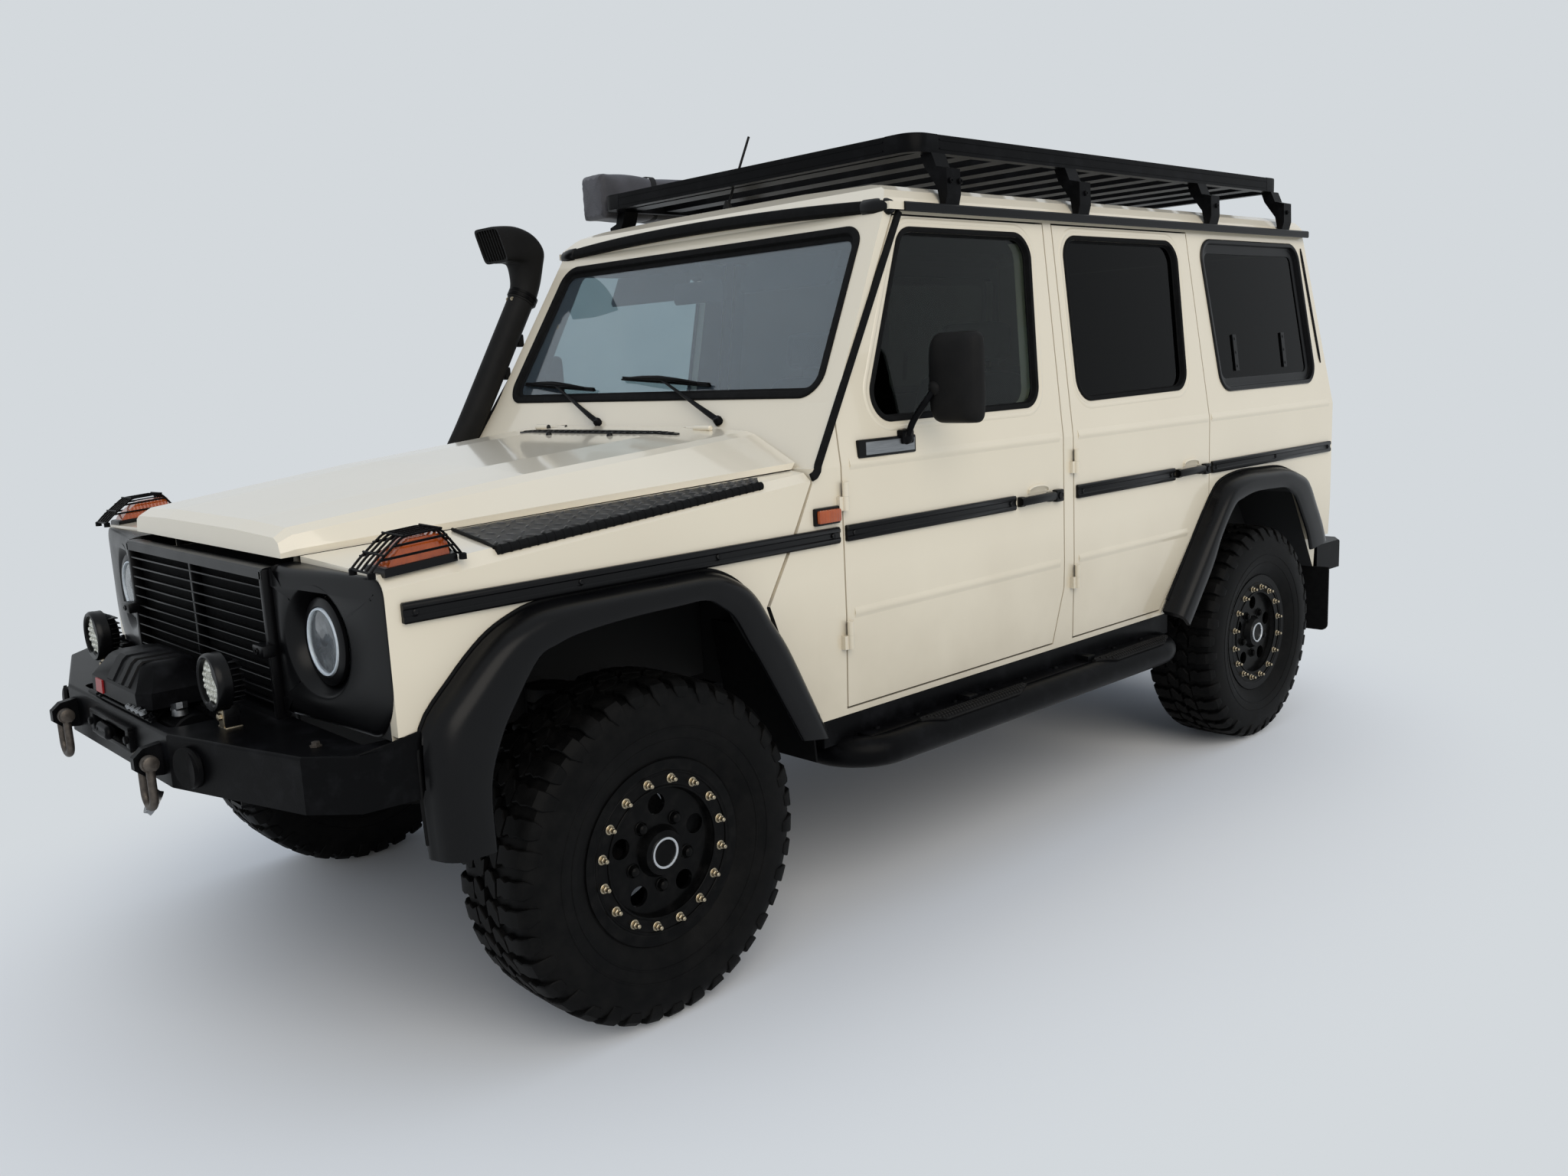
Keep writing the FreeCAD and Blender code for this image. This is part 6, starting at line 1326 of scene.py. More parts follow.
def on_bar(x, side=1):
    """A point on the visor bar's bowed axis."""
    off = min(x, BAR_HALF) / BAR_HALF
    return Vector((side * x * MM, roof_low.y + (-10 + 26 * off ** 4) * MM, (1908 - 20 * (x / BAR_HALF) ** 2) * MM))


section = [(-16, -9), (-18, 6), (-12, 15), (0, 18), (12, 15), (18, 6), (16, -9), (0, -12)]
sweep(form, [on_bar(BAR_HALF * (i / 12 - 1)) for i in range(25)], section, (0, -1, 0.25), closed=False)
piece("visor_bar", form, "body", soft_rubber, "rubber", crease=40)
form = bmesh.new()
for side in (1, -1):
    loft(form, [[on_bar(x, side) + mm(0, -0.95 * r * cos(a), r * sin(a)) for a in around(24)]
                for x, r in ((676, 19), (680, 22), (720, 24), (752, 23), (766, 18), (772, 9))])
piece("visor_bar_ends", form, "body", abs_black, "black_plastic", crease=60)

# black strips over the gutters and down the screen pillars, hooked forward at the foot
for hand, side in HANDS:
    form = bmesh.new()
    x = roof_high.x / MM
    path = [place(side * (x + 0.5), y, 1889) for y in (1016, 1500, 2000, 2500, 3000, 3390, 3424)]
    sweep(form, path, [(-11, -2), (11, -2), (13, 2), (9, 5), (-9, 5), (-13, 2)], (side, 0, 0), closed=False)
    piece("gutter_strip_" + hand, form, "body", abs_black, "black_plastic")
    form = bmesh.new()
    pillar = [(1012 - 430 * i / 12, 1876 - 640 * i / 12) for i in range(13)] + [(577, 1222), (568, 1212), (556, 1208)]
    path = [place(side * (waist - (max(z, 1225) - 1225) * 0.1328 + 3), y, z) for y, z in pillar]
    sweep(form, path, [(-9, -5), (9, -5), (11, 0), (8, 6), (-8, 6), (-11, 0)], (side, 0, 0.13), closed=False)
    piece("pillar_strip_" + hand, form, "body", soft_rubber, "rubber")

# ---- roof rack and awning bag
# Black extruded beams joined by cast corner pieces and clamped to the gutters; beside it hangs
# a side awning, rolled up in a sewn PVC-coated polyester bag closed by webbing straps.
rack_low, rack_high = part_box("roof_rack")
beam_x = 728 * MM
form = bmesh.new()
for sx in (1, -1):
    for end, y in ((-1, rack_low.y), (1, rack_high.y)):
        centre = Vector((sx * (beam_x - 60 * MM), y - end * 60 * MM, rack_high.z))
        section = ((50, -46), (60.5, -46), (60.5, -4), (57, 1.5), (40, 1.5), (34, -1), (34, -46))
        rings = [[centre + mm(r * sx * cos(a), r * end * sin(a), z) for r, z in section]
                 for a in [pi / 2 * i / 8 for i in range(9)]]
        first, last = [p + mm(0, -end * 46, 0) for p in rings[0]], [p + mm(-sx * 46, 0, 0) for p in rings[-1]]
        loft(form, [first] + rings + [last])
piece("rack_corner_castings", form, "body", powder, "rack_aluminium")
form = bmesh.new()
groove = [(-2, -4), (2, -4), (2, 1.6), (-2, 1.6)]
for drop in (13, 37):
    z = rack_high.z - drop * MM
    runs = [((side * beam_x, rack_low.y + 112 * MM, z), (side * beam_x, rack_high.y - 112 * MM, z), (side, 0, 0))
            for side in (1, -1)]
    runs.append(((-beam_x + 112 * MM, rack_low.y, z), (beam_x - 112 * MM, rack_low.y, z), (0, -1, 0)))
    for start, end, out in runs:
        sweep(form, [Vector(start), Vector(end)], groove, out, closed=False)
for side in (1, -1):
    for y in (1225, 1845, 2665, 3250):
        for dy in (-20, 20):
            hit = touch("roof_rack", place(side * 1500, y + dy, 1965), (-side, 0, 0))
            if hit and abs(hit.x) > 0.7:
                turn(form, [(-3, 0), (-3, 8), (5, 8), (7, 6), (7, 3), (4, 2.5), (4, 0)],
                     hit, (side, 0, 0), 12)
piece("rack_ribs_and_bolts", form, "body", powder, "rack_aluminium")

# PVC-coated polyester: dull dark grey, a 2 mm plain weave drawn at 5 mm, dusty along the folds
canvas, tree, surface, where = material("pvc_coated_polyester", "#3C3B3E", 0.75, Sheen_Weight=0.2)
warp = add(tree, "TexWave", {"Vector": where, "Scale": 0.314 / 0.005}, bands_direction="Y")
weft = add(tree, "TexWave", {"Vector": where, "Scale": 0.314 / 0.005}, bands_direction="Z")
cloth = add(tree, "Math", {0: warp.outputs[1], 1: weft.outputs[1]}, operation="MULTIPLY")
crumple = add(tree, "TexNoise", {"Vector": where, "Scale": 1 / 0.09, "Detail": 5.0})
tint = add(tree, "Mix", {0: crumple, 6: "#262527", 7: "#56555A"}, data_type="RGBA")
mixed = add(tree, "Math", {0: cloth, 1: 0.12, 2: crumple}, operation="MULTIPLY_ADD")
skin = add(tree, "Bump", {"Height": mixed, "Strength": 0.6, "Distance": 5 * MM})
feed(surface, Base_Color=tint, Normal=skin)
bag_low, bag_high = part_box("awning_bag")


def oblong(square, count, shift=0.0):
    """Points of a unit outline that is round at a power of 1 and nearly square at 0.2."""
    return [(copysign(abs(cos(a)) ** square, cos(a)), copysign(abs(sin(a)) ** square, sin(a)))
            for a in around(count, shift)]


form = bmesh.new()
rng = random.Random(7)
stations = 74
rings = []
bag_mid = Vector(((bag_low.x + bag_high.x) / 2, 0, (bag_low.z + bag_high.z) / 2))
half_x, half_z = (bag_high.x - bag_low.x) / 2 - 3 * MM, (bag_high.z - bag_low.z) / 2 - 3 * MM
straps = [0.12, 0.37, 0.63, 0.88]
for s in range(stations + 1):
    t = s / stations
    y = bag_low.y + 4 * MM + (bag_high.y - bag_low.y - 8 * MM) * t
    near_end = min(1.0, min(t, 1 - t) / 0.045)
    close = 1.02 - 0.05 * sin(pi * near_end)
    power = 0.2 + 0.2 * near_end        # the sewn end stands open in sharp corners
    pinch = 1 - 0.06 * sum(exp(-((t - k) / 0.014) ** 2) for k in straps)
    swell = 1 + 0.02 * sin(9 * pi * t)
    ring = []
    for a, (x, z) in zip(around(36), oblong(power, 36)):
        # a soft box: fuller below, where the rolled cloth lies, with the seam's lip along the top
        full = 1.0 if z < 0 else 0.94 + 0.03 * sin(31 * t)
        wrinkle = 1 + 0.012 * sin(5 * a + 40 * t) + 0.008 * (rng.random() - 0.5)
        ring.append(Vector((bag_mid.x + half_x * x * close * pinch * wrinkle * swell * 0.97, y,
                            bag_mid.z + half_z * z * close * pinch * full * wrinkle * 0.98)))
    rings.append(ring)
loft(form, rings)
bag = piece("awning_bag_cover", form, "body", canvas, "bag_fabric", crease=60)
round_off = bag.modifiers.new("sewn_round", "SUBSURF")
round_off.levels = round_off.render_levels = 1
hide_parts("awning_bag")
# four webbing straps round the bag
form = bmesh.new()
for k in straps:
    y = bag_low.y + (bag_high.y - bag_low.y) * k
    path = [Vector((bag_mid.x + half_x * x * 0.945, y, bag_mid.z + half_z * z * 0.945)) for x, z in oblong(0.42, 32)]
    middle = sum(path, Vector()) / len(path)
    band = ((-1, -12), (1.6, -12), (1.6, 12), (-1, 12))
    loft(form, [[p + (p - middle).normalized() * (o * MM) + mm(0, u, 0) for o, u in band] for p in path], closed=True)
# webbing: ribbed nylon tape, 1 mm ribs drawn at 3 mm
webbing, tree, surface, where = material("nylon_webbing", "#121213", 0.7, Specular_IOR_Level=0.3)
ribs = add(tree, "TexWave", {"Vector": where, "Scale": 0.314 / 0.003}, bands_direction="DIAGONAL")
tint = add(tree, "Mix", {0: ribs.outputs[1], 6: "#0B0B0C", 7: "#1E1E20"}, data_type="RGBA")
skin = add(tree, "Bump", {"Height": ribs.outputs[1], "Strength": 0.4, "Distance": 0.6 * MM})
feed(surface, Base_Color=tint, Normal=skin)
piece("awning_straps", form, "body", webbing, "bag_fabric")

# ---- snorkel and mirrors
# A rotomoulded polyethylene air pipe up the right-hand pillar, with a forward-facing ram head
# clamped on its neck; the mirror shells are the same plastic on powder-coated tube arms.
pipe_x = -843
top_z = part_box("snorkel")[1].z / MM - 121      # the gutter's height, where the head begins


def egg(x, y, z, ahead_y, ahead_z, wide, deep, square):
    """A ring round a pipe that runs in the side plane."""
    back = Vector((1, 0, 0)).cross(Vector((0, ahead_y, ahead_z)).normalized())
    return [place(x, y, z) + mm(wide * c, 0, 0) + back * (deep * MM * s) for c, s in oblong(square, 40, 0.5)]


stations = [  # x, y, z, direction in the side plane, half width, half depth, power of the outline
    (-866, 420, 1088, 0.66, 0.75, 22, 34, 0.8), (-866, 470, 1150, 0.62, 0.78, 23, 40, 0.85),
    (-863, 520, 1215, 0.55, 0.84, 24, 43, 0.9), (-856, 558, 1275, 0.50, 0.87, 32, 44, 0.95),
    (-847, 592, 1335, 0.497, 0.868, 40, 45, 1.0), (-843, 650, 1436, 0.497, 0.868, 42, 46, 1.0),
    (-842, 760, 1628, 0.497, 0.868, 42, 46, 1.0), (-841, 828, 1747, 0.497, 0.868, 42, 46, 1.0)]
form = bmesh.new()
loft(form, [egg(*station) for station in smooth_run(stations, 5)])
# two moulded lugs take the bolts of the pillar bracket
for t in (0.45, 0.72):
    y, z = 638 + 236 * t, 1313 + 412 * t
    block(form, place(pipe_x - 12, y - 10, z - 22), place(pipe_x + 16, y + 12, z + 22), 6)
shaft = piece("snorkel_pipe", form, "body", poly, "black_plastic", crease=45)
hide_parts("snorkel")
neck = [(-841, 826, 1742, 0.497, 0.868, 45, 49, 1.0), (-841, 842, 1778, 0.42, 0.9, 46, 50, 1.0),
        (-841, 852, 1818, 0.2, 0.98, 50, 53, 0.9), (-841, 856, top_z - 16, 0.0, 1.0, 57, 56, 0.7),
        (-841, 854, top_z + 14, -0.36, 0.93, 66, 58, 0.45), (-841, 830, top_z + 40, -0.78, 0.62, 72, 57, 0.36),
        (-841, 790, top_z + 53, -0.98, 0.18, 75, 58, 0.3), (-841, 752, top_z + 54, -0.97, -0.24, 76, 60, 0.28),
        (-841, 726, top_z + 51, -0.95, -0.31, 76, 61, 0.26)]
form = bmesh.new()
mouth_x, mouth_y, mouth_z, ahead_y, ahead_z = neck[-1][:5]
loft(form, [egg(*station) for station in smooth_run(neck, 5)] +
     [egg(mouth_x, mouth_y + 1, mouth_z, ahead_y, ahead_z, 68, 53, 0.24),
      egg(mouth_x, mouth_y + 44, mouth_z + 12, ahead_y, ahead_z, 64, 49, 0.3)])
slope = Vector((0, ahead_y, ahead_z)).normalized()
upward = Vector((1, 0, 0)).cross(slope)
for i in range(-3, 4):
    centre = place(mouth_x + i * 17, mouth_y + 8, mouth_z + 2)
    loft(form, [[centre + upward * (u * 55 * MM) + mm(x, 0, 0) + slope * (d * MM)
                 for x, d in ((-1.6, -4), (1.6, -4), (1.6, 6), (-1.6, 6))] for u in (-1, 1)])
loft(form, [[place(x + dx, y + dy, z) for dx, dy in ((-1, -3), (5, -3), (5, 3), (-1, 3))]
            for x, y, z in ((-894, 852, 1795), (-899, 866, 1850))])
piece("snorkel_head", form, "body", poly, "black_plastic", crease=45)
form = bmesh.new()
for middle in (-8, 6):
    loft(form, [egg(pipe_x + 2, 836 + d * 0.497, 1758 + d * 0.868, 0.497, 0.868, 46.5 + h, 51.5 + h, 1.0)
                for d, h in ((middle - 5, 0), (middle - 5, 1.8), (middle + 5, 1.8), (middle + 5, 0))])
piece("snorkel_clamp_band", form, "body", powder, "black_steel")
form = bmesh.new()
tube(form, [place(-858, 785, 1752), place(-826, 785, 1752)], 5, 10)
for x in (-857, -829):
    turn(form, [(0, 0), (0, 8), (7, 8), (7, 0)], place(x, 785, 1752), (1, 0, 0), 6)
piece("snorkel_clamp_screw", form, "body", zinc, "shackle_steel")

# silvered mirror glass: a perfect mirror but for a trace of dust
silvered, tree, surface, where = material("silvered_mirror_glass", "#D9DEE1", 0.03, 1.0)
dust = add(tree, "TexNoise", {"Vector": where, "Scale": 1 / 0.06, "Detail": 5.0})
film = add(tree, "MapRange", {"Value": dust, "From Min": 0.5, "To Min": 0.02, "To Max": 0.12})
tint = add(tree, "Mix", {0: dust, 6: "#DDE2E5", 7: "#C4C9CC"}, data_type="RGBA")
feed(surface, Roughness=film, Base_Color=tint)
for hand, side in HANDS:
    rides = "front_%s_door" % hand
    form = bmesh.new()

    def oval(y, wide, tall, square, lean=0):
        """A ring of the mirror's shell: a rounded rectangle that faces backwards."""
        return [place(side * (955 + lean + wide * c), y, 1432 + tall * s) for c, s in oblong(square, 48, 0.5)]

    loft(form, [oval(*ring) for ring in (
        (955.5, 22, 34, 0.9, -4), (957, 42, 66, 0.7, -3), (961, 57, 92, 0.55, -2), (968, 70, 108, 0.42),
        (978, 76, 115, 0.32, 3), (992, 79.5, 118.5, 0.27, 4), (1006, 80, 119, 0.25, 4), (1011, 78, 117, 0.25, 4),
        (1011, 72, 110, 0.25, 4), (1004, 70, 108, 0.25, 4))])
    turn(form, [(0, 0), (-4, 18), (6, 22), (14, 18), (20, 10), (20, 0)],
         place(side * 912, 966, 1408), (-side * 0.35, -0.8, -0.45), 24)
    shell = piece("mirror_shell_" + hand, form, rides, poly, "black_plastic", crease=50)
    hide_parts("mirror_" + hand)
    form = bmesh.new()
    loft(form, [oval(1004, 69.5, 107.5, 0.25, 4), oval(1006.5, 69, 107, 0.25, 4), oval(1007.5, 66, 104, 0.25, 4)])
    piece("mirror_glass_" + hand, form, rides, silvered, "screen_glass")
    form = bmesh.new()
    arm = ((850, 918, 1288), (862, 924, 1322), (886, 942, 1366), (911, 957, 1404))
    tube(form, bend([place(side * x, y, z) for x, y, z in arm], 30, 4), 9, 14)
    foot_at = place(side * 846, 917, 1283)
    turn(form, [(-6, 0), (-6, 22), (4, 20), (9, 15), (11, 9), (11, 0)], foot_at, (side, 0, 0.133), 24)
    block(form, place(side * 826, 893, 1264), place(side * 853, 941, 1302), 7)
    piece("mirror_arm_" + hand, form, rides, powder, "black_steel", crease=50)

# ---- rear corners and tail door
# Black vent slits behind the side windows, lamp clusters of coloured acrylic low on the corners,
# and on the tail door a bare number plate under its lamp, a lever handle, a wiper and reflectors.
for hand, side in HANDS:
    form = bmesh.new()
    rings = []
    for t in [k / 24 for k in range(25)]:
        hit = touch("body_sides", place(side * 1400, 3391 + 72 * t, 1836 - 447 * t), (-side, 0, 0))
        half = 9 * sqrt(max(0.02, 1 - (2 * t - 1) ** 12))
        if hit:
            rings.append([hit + mm(side * o, u * half, 0)
                          for u, o in ((-1, -3), (-1, 2.5), (-0.5, 4), (0.5, 4), (1, 2.5), (1, -3))])
    loft(form, rings)
    piece("rear_vent_slit_" + hand, form, "body", soft_rubber, "rubber")

# lamp lenses: injection-moulded acrylic with fine ribs, one colour to each moulding
lens_finish = {}
for label, dark, light in (("red", "#5E0B0B", "#8C1512"), ("orange", "#A8430E", "#D2611A"),
                           ("clear", "#A9AFB2", "#D5D9DB")):
    glassy, tree, surface, where = material("%s_acrylic" % label, light, 0.12, Coat_Weight=0.5,
                                            Specular_IOR_Level=0.5)
    ribs = add(tree, "TexWave", {"Vector": where, "Scale": 0.314 / 0.006}, bands_direction="X")
    tint = add(tree, "Mix", {0: ribs.outputs[1], 6: dark, 7: light}, data_type="RGBA")
    skin = add(tree, "Bump", {"Height": ribs.outputs[1], "Strength": 0.4, "Distance": 1 * MM})
    feed(surface, Base_Color=tint, Normal=skin)
    lens_finish[label] = glassy
for hand, side in HANDS:
    behind = place(side * 720, 4300, 800)
    hit = touch("cab_shell", behind, (0, -1, 0)) or touch("body_sides", behind, (0, -1, 0))
    rear_y = (hit.y - axle_y) / MM if hit else 3541
    form = bmesh.new()
    block(form, place(side * 662, rear_y - 6, 706), place(side * 800, rear_y + 20, 852), 8)
    piece("tail_lamp_case_" + hand, form, "body", abs_black, "black_plastic")
    for label, low, high in (("red", 806, 846), ("orange", 764, 803), ("clear", 738, 761), ("red", 712, 735)):
        form = bmesh.new()
        block(form, place(side * 668, rear_y + 8, low), place(side * 794, rear_y + 30, high), 5)
        piece("tail_lamp_%s_%d_%s" % (label, low, hand), form, "body", lens_finish[label], "lamp_glass")
    form = bmesh.new()
    block(form, place(side * 640, 3700, 560), place(side * 730, 3704, 590), 3)
    piece("bumper_reflector_" + hand, form, "body", lens_finish["red"], "lamp_glass")

door_y = (touch("tail_door", place(0, 4300, 830), (0, -1, 0)).y - axle_y) / MM
# the plate: aluminium sheet under white reflective film, left bare
plate_film, tree, surface, where = material("white_reflective_film", "#D9DAD6", 0.4, Specular_IOR_Level=0.3)
cells = add(tree, "TexVoronoi", {"Vector": where, "Scale": 1 / 0.006})
tint = add(tree, "Mix", {0: cells, 6: "#DEDFDB", 7: "#C3C4C0"}, data_type="RGBA")
feed(surface, Base_Color=tint)
form = bmesh.new()
block(form, place(-260, door_y + 4, 760), place(260, door_y + 8, 870), 2)
piece("bare_number_plate", form, "tail", plate_film, "body_paint")
form = bmesh.new()
block(form, place(-270, door_y - 2, 752), place(270, door_y + 5, 878), 3)
for x in (-215, 215):
    block(form, place(x - 26, door_y - 4, 884), place(x + 26, door_y + 26, 912), 7)
# the lever handle with its round lock, in a dished plate
block(form, place(470, door_y - 4, 1000), place(600, door_y + 9, 1058), 6)
lever = ((585, 8), (585, 36), (490, 36), (478, 8))
tube(form, bend([place(x, door_y + off, 1029) for x, off in lever], 14, 3), 8, 12)
for x in (-170, 170):
    block(form, place(x - 40, door_y - 3, 1190), place(x + 40, door_y + 6, 1210), 3)
piece("tail_door_fittings", form, "tail", abs_black, "black_plastic")
form = bmesh.new()
turn(form, [(-4, 0), (-4, 12), (9, 12), (12, 9), (12, 0)], place(452, door_y + 4, 1029), (0, 1, 0), 20)
for x in (-244, 244):
    for z in (775, 855):
        turn(form, [(0, 0), (0, 7), (4, 6), (5, 0)], place(x, door_y + 7, z), (0, 1, 0), 12)
piece("tail_door_lock_and_screws", form, "tail", zinc, "shackle_steel")
form = bmesh.new()
wipe = []
for x, z in ((60, 1262), (10, 1305), (-180, 1350), (-330, 1362)):
    hit = touch("tail_window", place(x, 4300, z), (0, -1, 0)) or touch("tail_door", place(x, 4300, z), (0, -1, 0))
    wipe.append(hit + mm(0, 16, 0))
tube(form, bend(wipe, 20, 3), 5, 10)
turn(form, [(-24, 0), (-24, 22), (0, 20), (8, 13), (10, 0)], wipe[0], (0, 1, 0), 24)
tube(form, [wipe[3] + Vector((-0.11, -9 * MM, 0.012)), wipe[3] + Vector((0.21, -9 * MM, -0.03))], 4, 8)
piece("tail_wiper", form, "tail", powder, "black_steel")

# ---- cabin: seats, mirror and visors
# Moulded foam pads in sewn twill covers on black steel plinths; the dashboard is padded vinyl.
# Every pad is a crowned closed form with its seams and channels drawn in.

# twill: black and charcoal yarns, 2 mm in life and drawn at 4 mm, with a soft sheen
twill, tree, surface, where = material("charcoal_seat_twill", "#1D1E20", 0.85, Sheen_Weight=0.25)
yarn = add(tree, "TexWave", {"Vector": where, "Scale": 0.314 / 0.004}, bands_direction="DIAGONAL")
worn = add(tree, "TexNoise", {"Vector": where, "Scale": 1 / 0.1, "Detail": 4.0})
weave = add(tree, "Math", {0: yarn.outputs[1], 1: worn}, operation="MULTIPLY")
tint = add(tree, "Mix", {0: weave, 6: "#131315", 7: "#33353A"}, data_type="RGBA")
skin = add(tree, "Bump", {"Height": yarn.outputs[1], "Strength": 0.4, "Distance": 0.8 * MM})
feed(surface, Base_Color=tint, Normal=skin)


def pad(name, centre, size, tilt, seams):
    """A foam pad: size is across, thick, long; it is crowned on its thin way and has sewn channels across it."""
    form = bmesh.new()
    bmesh.ops.create_cube(form, size=2.0)
    bmesh.ops.subdivide_edges(form, edges=form.edges[:], cuts=23, use_grid_fill=True)
    lean = Matrix.Rotation(radians(tilt), 3, "X")
    for v in form.verts:
        u, w, t = v.co
        power = (abs(u) ** 7 + abs(w) ** 4 + abs(t) ** 7) ** (1 / 7) if max(abs(u), abs(w), abs(t)) else 1
        u, w, t = u / power, w / power, t / power
        crown = 0.80 + 0.20 * (1 - u * u) ** 0.5 * (1 - t * t) ** 0.5 if abs(u) < 1 and abs(t) < 1 else 0.80
        groove = sum(exp(-((t - s) / 0.035) ** 2) for s in seams) * (1 - abs(u) ** 6)
        groove += sum(exp(-((u - s) / 0.03) ** 2) for s in (-0.66, 0.66))
        w *= crown - 0.07 * min(1.3, groove)
        v.co = lean @ mm(u * size[0] / 2, w * size[1] / 2, t * size[2] / 2) + place(*centre)
    made = piece(name, form, "body", twill, "seat_fabric", crease=80)
    smooth = made.modifiers.new("foam_round", "SUBSURF")
    smooth.levels = smooth.render_levels = 1
    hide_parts("seats")


bench_back = (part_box("rear_door_left")[0].y - axle_y) / MM + 377 - 1180
for hand, side in HANDS:
    x = side * 375
    pad("seat_cushion_" + hand, (x, 1418, 905), (470, 130, 455), 92, (-0.35, 0.3))
    pad("seat_back_" + hand, (x, 1752, 1195), (450, 108, 480), -14, (-0.45, 0.05, 0.5))
    pad("seat_headrest_" + hand, (x, 1814, 1528), (260, 96, 130), -8, ())
    pad("bench_headrest_" + hand, (side * 330, 1814 + bench_back, 1528), (240, 96, 130), -8, ())
pad("bench_cushion", (0, 1418 + bench_back, 905), (1090, 130, 455), 92, (-0.35, 0.3))
pad("bench_back", (0, 1752 + bench_back, 1195), (1080, 108, 480), -14, (-0.45, 0.05, 0.5))
form = bmesh.new()
for x, y, half in ((375, 0, 210), (-375, 0, 210), (0, bench_back, 500)):
    block(form, place(x - half, 1215 + y, 645), place(x + half, 1690 + y, 835), 12)
    for leg in ((-60, 60) if half < 300 else (-390, -270, 270, 390)):
        tube(form, [place(x + leg, 1798 + y, 1420), place(x + leg, 1812 + y, 1490)], 6, 10)
piece("seat_plinths", form, "body", powder, "black_steel")
form = bmesh.new()
outline = ((-1, -24), (-0.94, -33), (0.94, -33), (1, -24), (1, 20), (0.92, 32), (-0.92, 32), (-1, 20))
loft(form, [[place(-40 + w * 120, y, 1718 + h) for w, h in outline] for y in (968, 984)])
tube(form, [place(-40, 984, 1725), place(-30, 990, 1775), place(-30, 966, 1812)], 7, 10)
for side in (1, -1):
    outline = ((-1, -44), (-0.92, -56), (0.92, -56), (1, -44), (1, 38), (-1, 38))
    loft(form, [[place(side * (330 + w * 190), y + (h + 40) * 0.45, 1758 + h) for w, h in outline]
                for y in (985, 1003)])
piece("cabin_mirror_and_visors", form, "body", vinyl, "black_plastic")
form = bmesh.new()
outline = ((-1, -20), (-0.94, -29), (0.94, -29), (1, -20), (1, 17), (0.92, 28), (-0.92, 28), (-1, 17))
loft(form, [[place(-40 + w * 112, y, 1718 + h * 0.9) for w, h in outline] for y in (983, 986.5)])
piece("cabin_mirror_glass", form, "body", silvered, "screen_glass")

# ---- frame front, aprons, step treads and bumper fittings
# The box-section frame kicks up behind the bumper; rubber aprons close the wheel houses; the steps
# carry studded rubber treads; the bumper's ends are plated up and its shackle holds a rope thimble.
rails = bmesh.new()
rails.from_mesh(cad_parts["chassis_frame"].data)
front_end = min(v.co.y for v in rails.verts)
front_low = min(v.co.z for v in rails.verts if v.co.y < front_end + 60 * MM)
rise = bumper_low.z + 8 * MM - front_low
bend_y = place(0, -330, 0).y
for y in range(-340, -621, -40):
    everything = rails.verts[:] + rails.edges[:] + rails.faces[:]
    bmesh.ops.bisect_plane(rails, geom=everything, plane_co=place(0, y, 0), plane_no=(0, 1, 0))
for v in rails.verts:
    t = min(1, max(0, (bend_y - v.co.y) / 0.25))
    v.co.z += rise * t * t * (3 - 2 * t)
made = piece("frame_with_kick_up", rails, "body", wax, "chassis_black", crease=30)
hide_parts("chassis_frame")

form = bmesh.new()
section = [(520, 815), (536, 720), (550, 640), (557, 560), (566, 462), (560, 462), (551, 560), (544, 640),
           (530, 720), (514, 812)]
for side in (1, -1):
    loft(form, [[place(side * x, y, z) for y, z in section] for x in (470, 640, 812)])
piece("wheel_house_aprons", form, "body", soft_rubber, "rubber")

# the steps: a bent tube under a plated sill board, with studded pads let into its top
step_x, step_z, step_r = 900, 471, 42
form = bmesh.new()
for side in (1, -1):
    route = [(500, 640), (770, 640)]
    route += [(770 + 130 * sin(radians(a)), 770 - 130 * cos(radians(a))) for a in range(6, 91, 7)]
    route += [(step_x, 900), (step_x, 1500), (step_x, 2000)]
    route += [(770 + 130 * cos(radians(a)), 2100 + 130 * sin(radians(a))) for a in range(0, 91, 7)]
    path = [place(side * x, y, step_z) for x, y in route + [(500, 2230)]]
    sweep(form, path, [(step_r * cos(a), step_r * sin(a)) for a in around(28)], (0, 0, 1), closed=False)
    for y in (1135, 1735):
        block(form, place(side * 460, y - 20, 506), place(side * 880, y + 20, 530), 3)
    block(form, place(side * 790, 573, 499), place(side * 832, 2280, 571), 3)
    block(form, place(side * 826, 700, 505), place(side * 884, 2170, 514), 3)
    for k in range(9):
        turn(form, [(0, 9), (5, 8), (7, 4), (7, 0)], place(side * 846, 760 + 165 * k, 513), (0, 0, 1), 12)
made = piece("side_step_tubes", form, "body", powder, "black_steel")
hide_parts("side_steps")
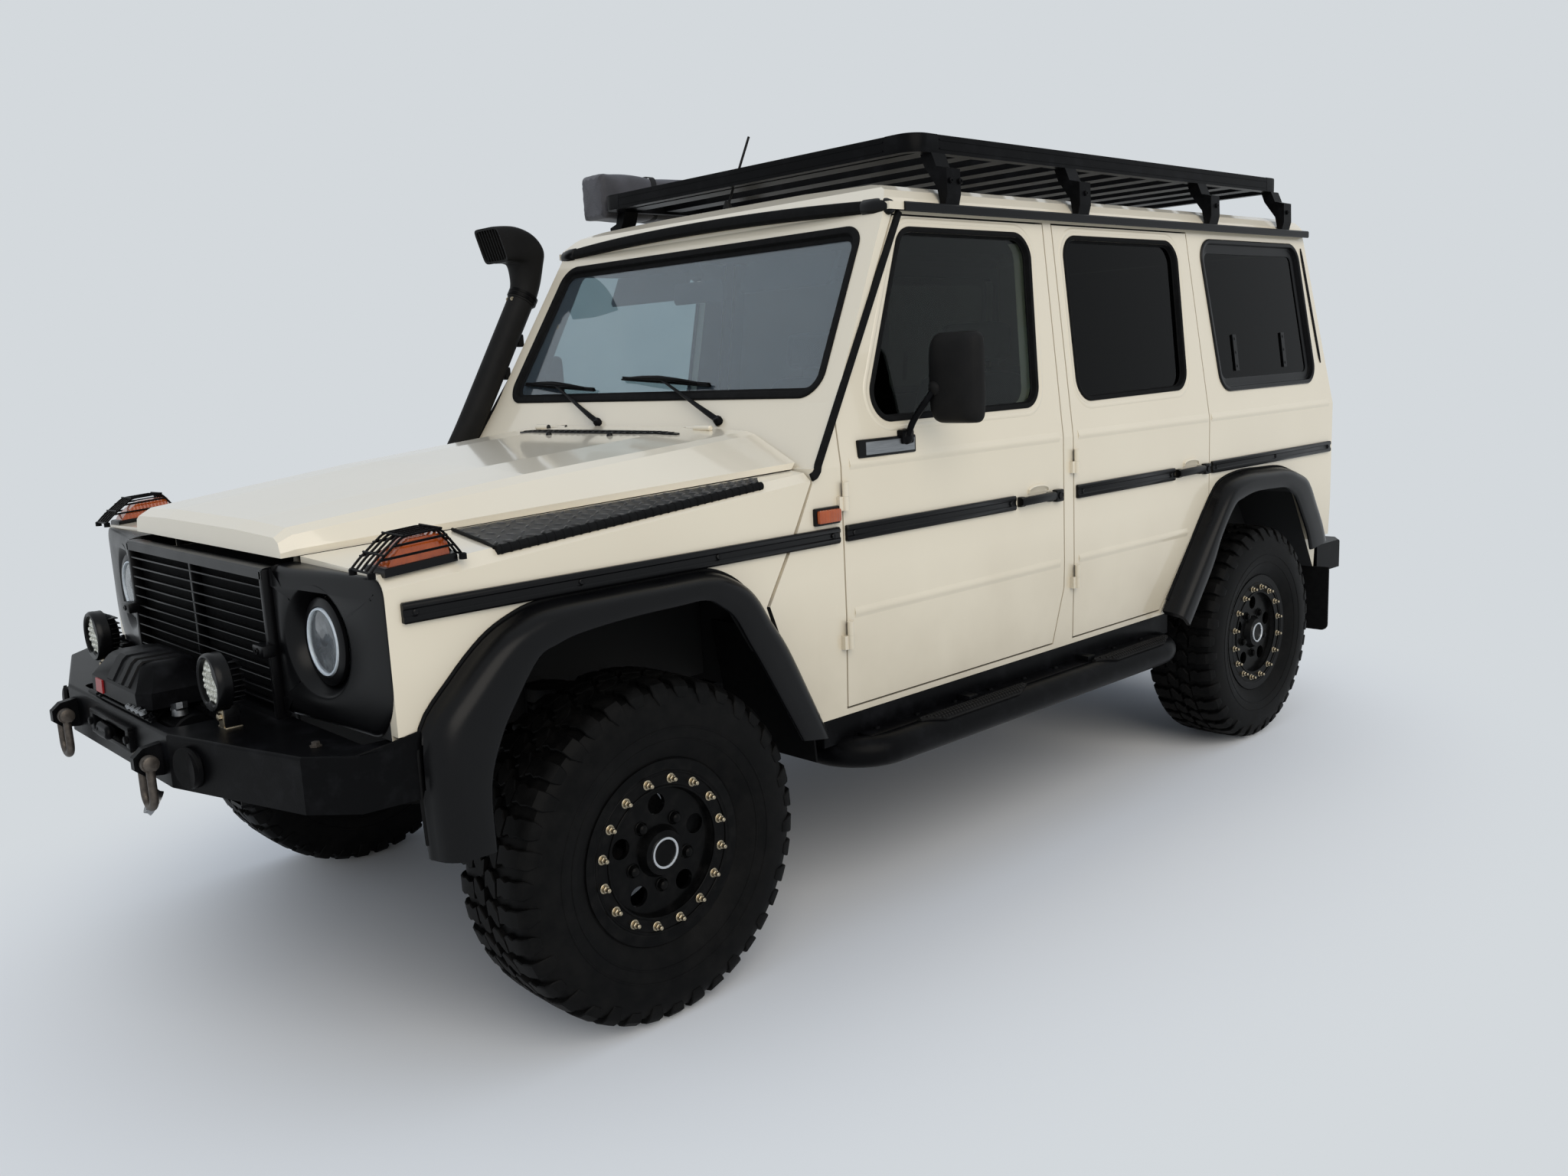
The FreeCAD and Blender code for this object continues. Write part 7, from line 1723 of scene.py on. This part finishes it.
for hand, side in HANDS:
    form = bmesh.new()
    for start, end in ((885, 1367), (1734, 2170)):
        def half(y):
            """Half the pad's angle at y: its ends run out to a blunt point."""
            return 8 + 44 * min(1, (min(y - start, end - y) + 1) / 75)

        rim = [(step_r + 6, u / 5) for u in range(-5, 6)] + [(step_r - 3, u / 5) for u in range(5, -6, -1)]
        rings = []
        for y in [start + (end - start) * k / 40 for k in range(41)]:
            turned = [(r, radians(104 + half(y) * u)) for r, u in rim]
            rings.append([place(side * (step_x + r * cos(a)), y, step_z + r * sin(a)) for r, a in turned])
        loft(form, rings)
        for row in range(-3, 4):
            a = radians(104 + 13 * row)
            for k in range(40):
                y = start + 8 + 12.4 * (k + 0.5 * (row % 2))
                if y <= end - 8 and half(y) >= abs(13 * row) + 6:
                    out = Vector((side * cos(a), 0, sin(a)))
                    foot = place(side * step_x, y, step_z) + out * (step_r + 6) * MM
                    turn(form, [(0, 5.4), (4.2, 4.2), (4.8, 0)], foot, out, 6)
    piece("step_treads_" + hand, form, "body", poly, "rubber")

form = bmesh.new()
for side in (1, -1):
    rings = []
    for x, y, lift in ((820, -690, -4), (834, -676, 2), (842, -610, 12), (848, -556, 22), (849.5, -513, 30)):
        corner = place(side * x, y, bumper_high.z / MM)
        rings.append([corner + mm(-side * inset, 0, up) for inset, up in (
            (0, -14), (0, lift - 2), (2, lift), (5, lift), (7, lift - 2), (7, -14))])
    loft(form, rings)
piece("bumper_end_lips", form, "body", powder, "black_steel")

form = bmesh.new()
eye = place(280, -888, 638)
one, two = Vector((-0.92, 0.0, -0.38)), Vector((0.30, -0.62, -0.72))
flat = one.cross(two).normalized()
rings = []
for a in around(28):
    drop = 1 + 0.45 * max(0, cos(a)) ** 3       # the eye is drawn out to a point
    way = one * cos(a) * drop + two * sin(a)
    rings.append([eye + way * 0.024 + way.normalized() * (o * MM) + flat * (f * MM)
                  for o, f in ((-4, -5), (4, -7), (2, 0), (4, 7), (-4, 5))])
loft(form, rings, closed=True)
# the clutch lever on the winch's end, and the cap screws of its foot
hub = place(214, -792, 797)
turn(form, [(0, 0), (0, 17), (12, 16), (15, 12), (15, 0)], hub, (0, 0, 1), 24)
lever = ((-34, -9), (20, -12), (24, 0), (20, 12), (-34, 9))
loft(form, [[hub + mm(x, y, z + x * 0.25) for x, y in lever] for z in (13, 27)])
for k in range(4):
    screw = place(112 + 30 * k, -862, 812)
    turn(form, [(0, 0), (0, 8), (8, 8), (8, 4), (4, 3.5), (4, 0)], screw, (0, -0.35, 1), 14)
piece("thimble_lever_and_screws", form, "body", brushed, "shackle_steel")

# ---- sizes and end
# The finished model's box, in metres, beside the box straight from the CAD that was taken at the start.
low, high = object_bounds()
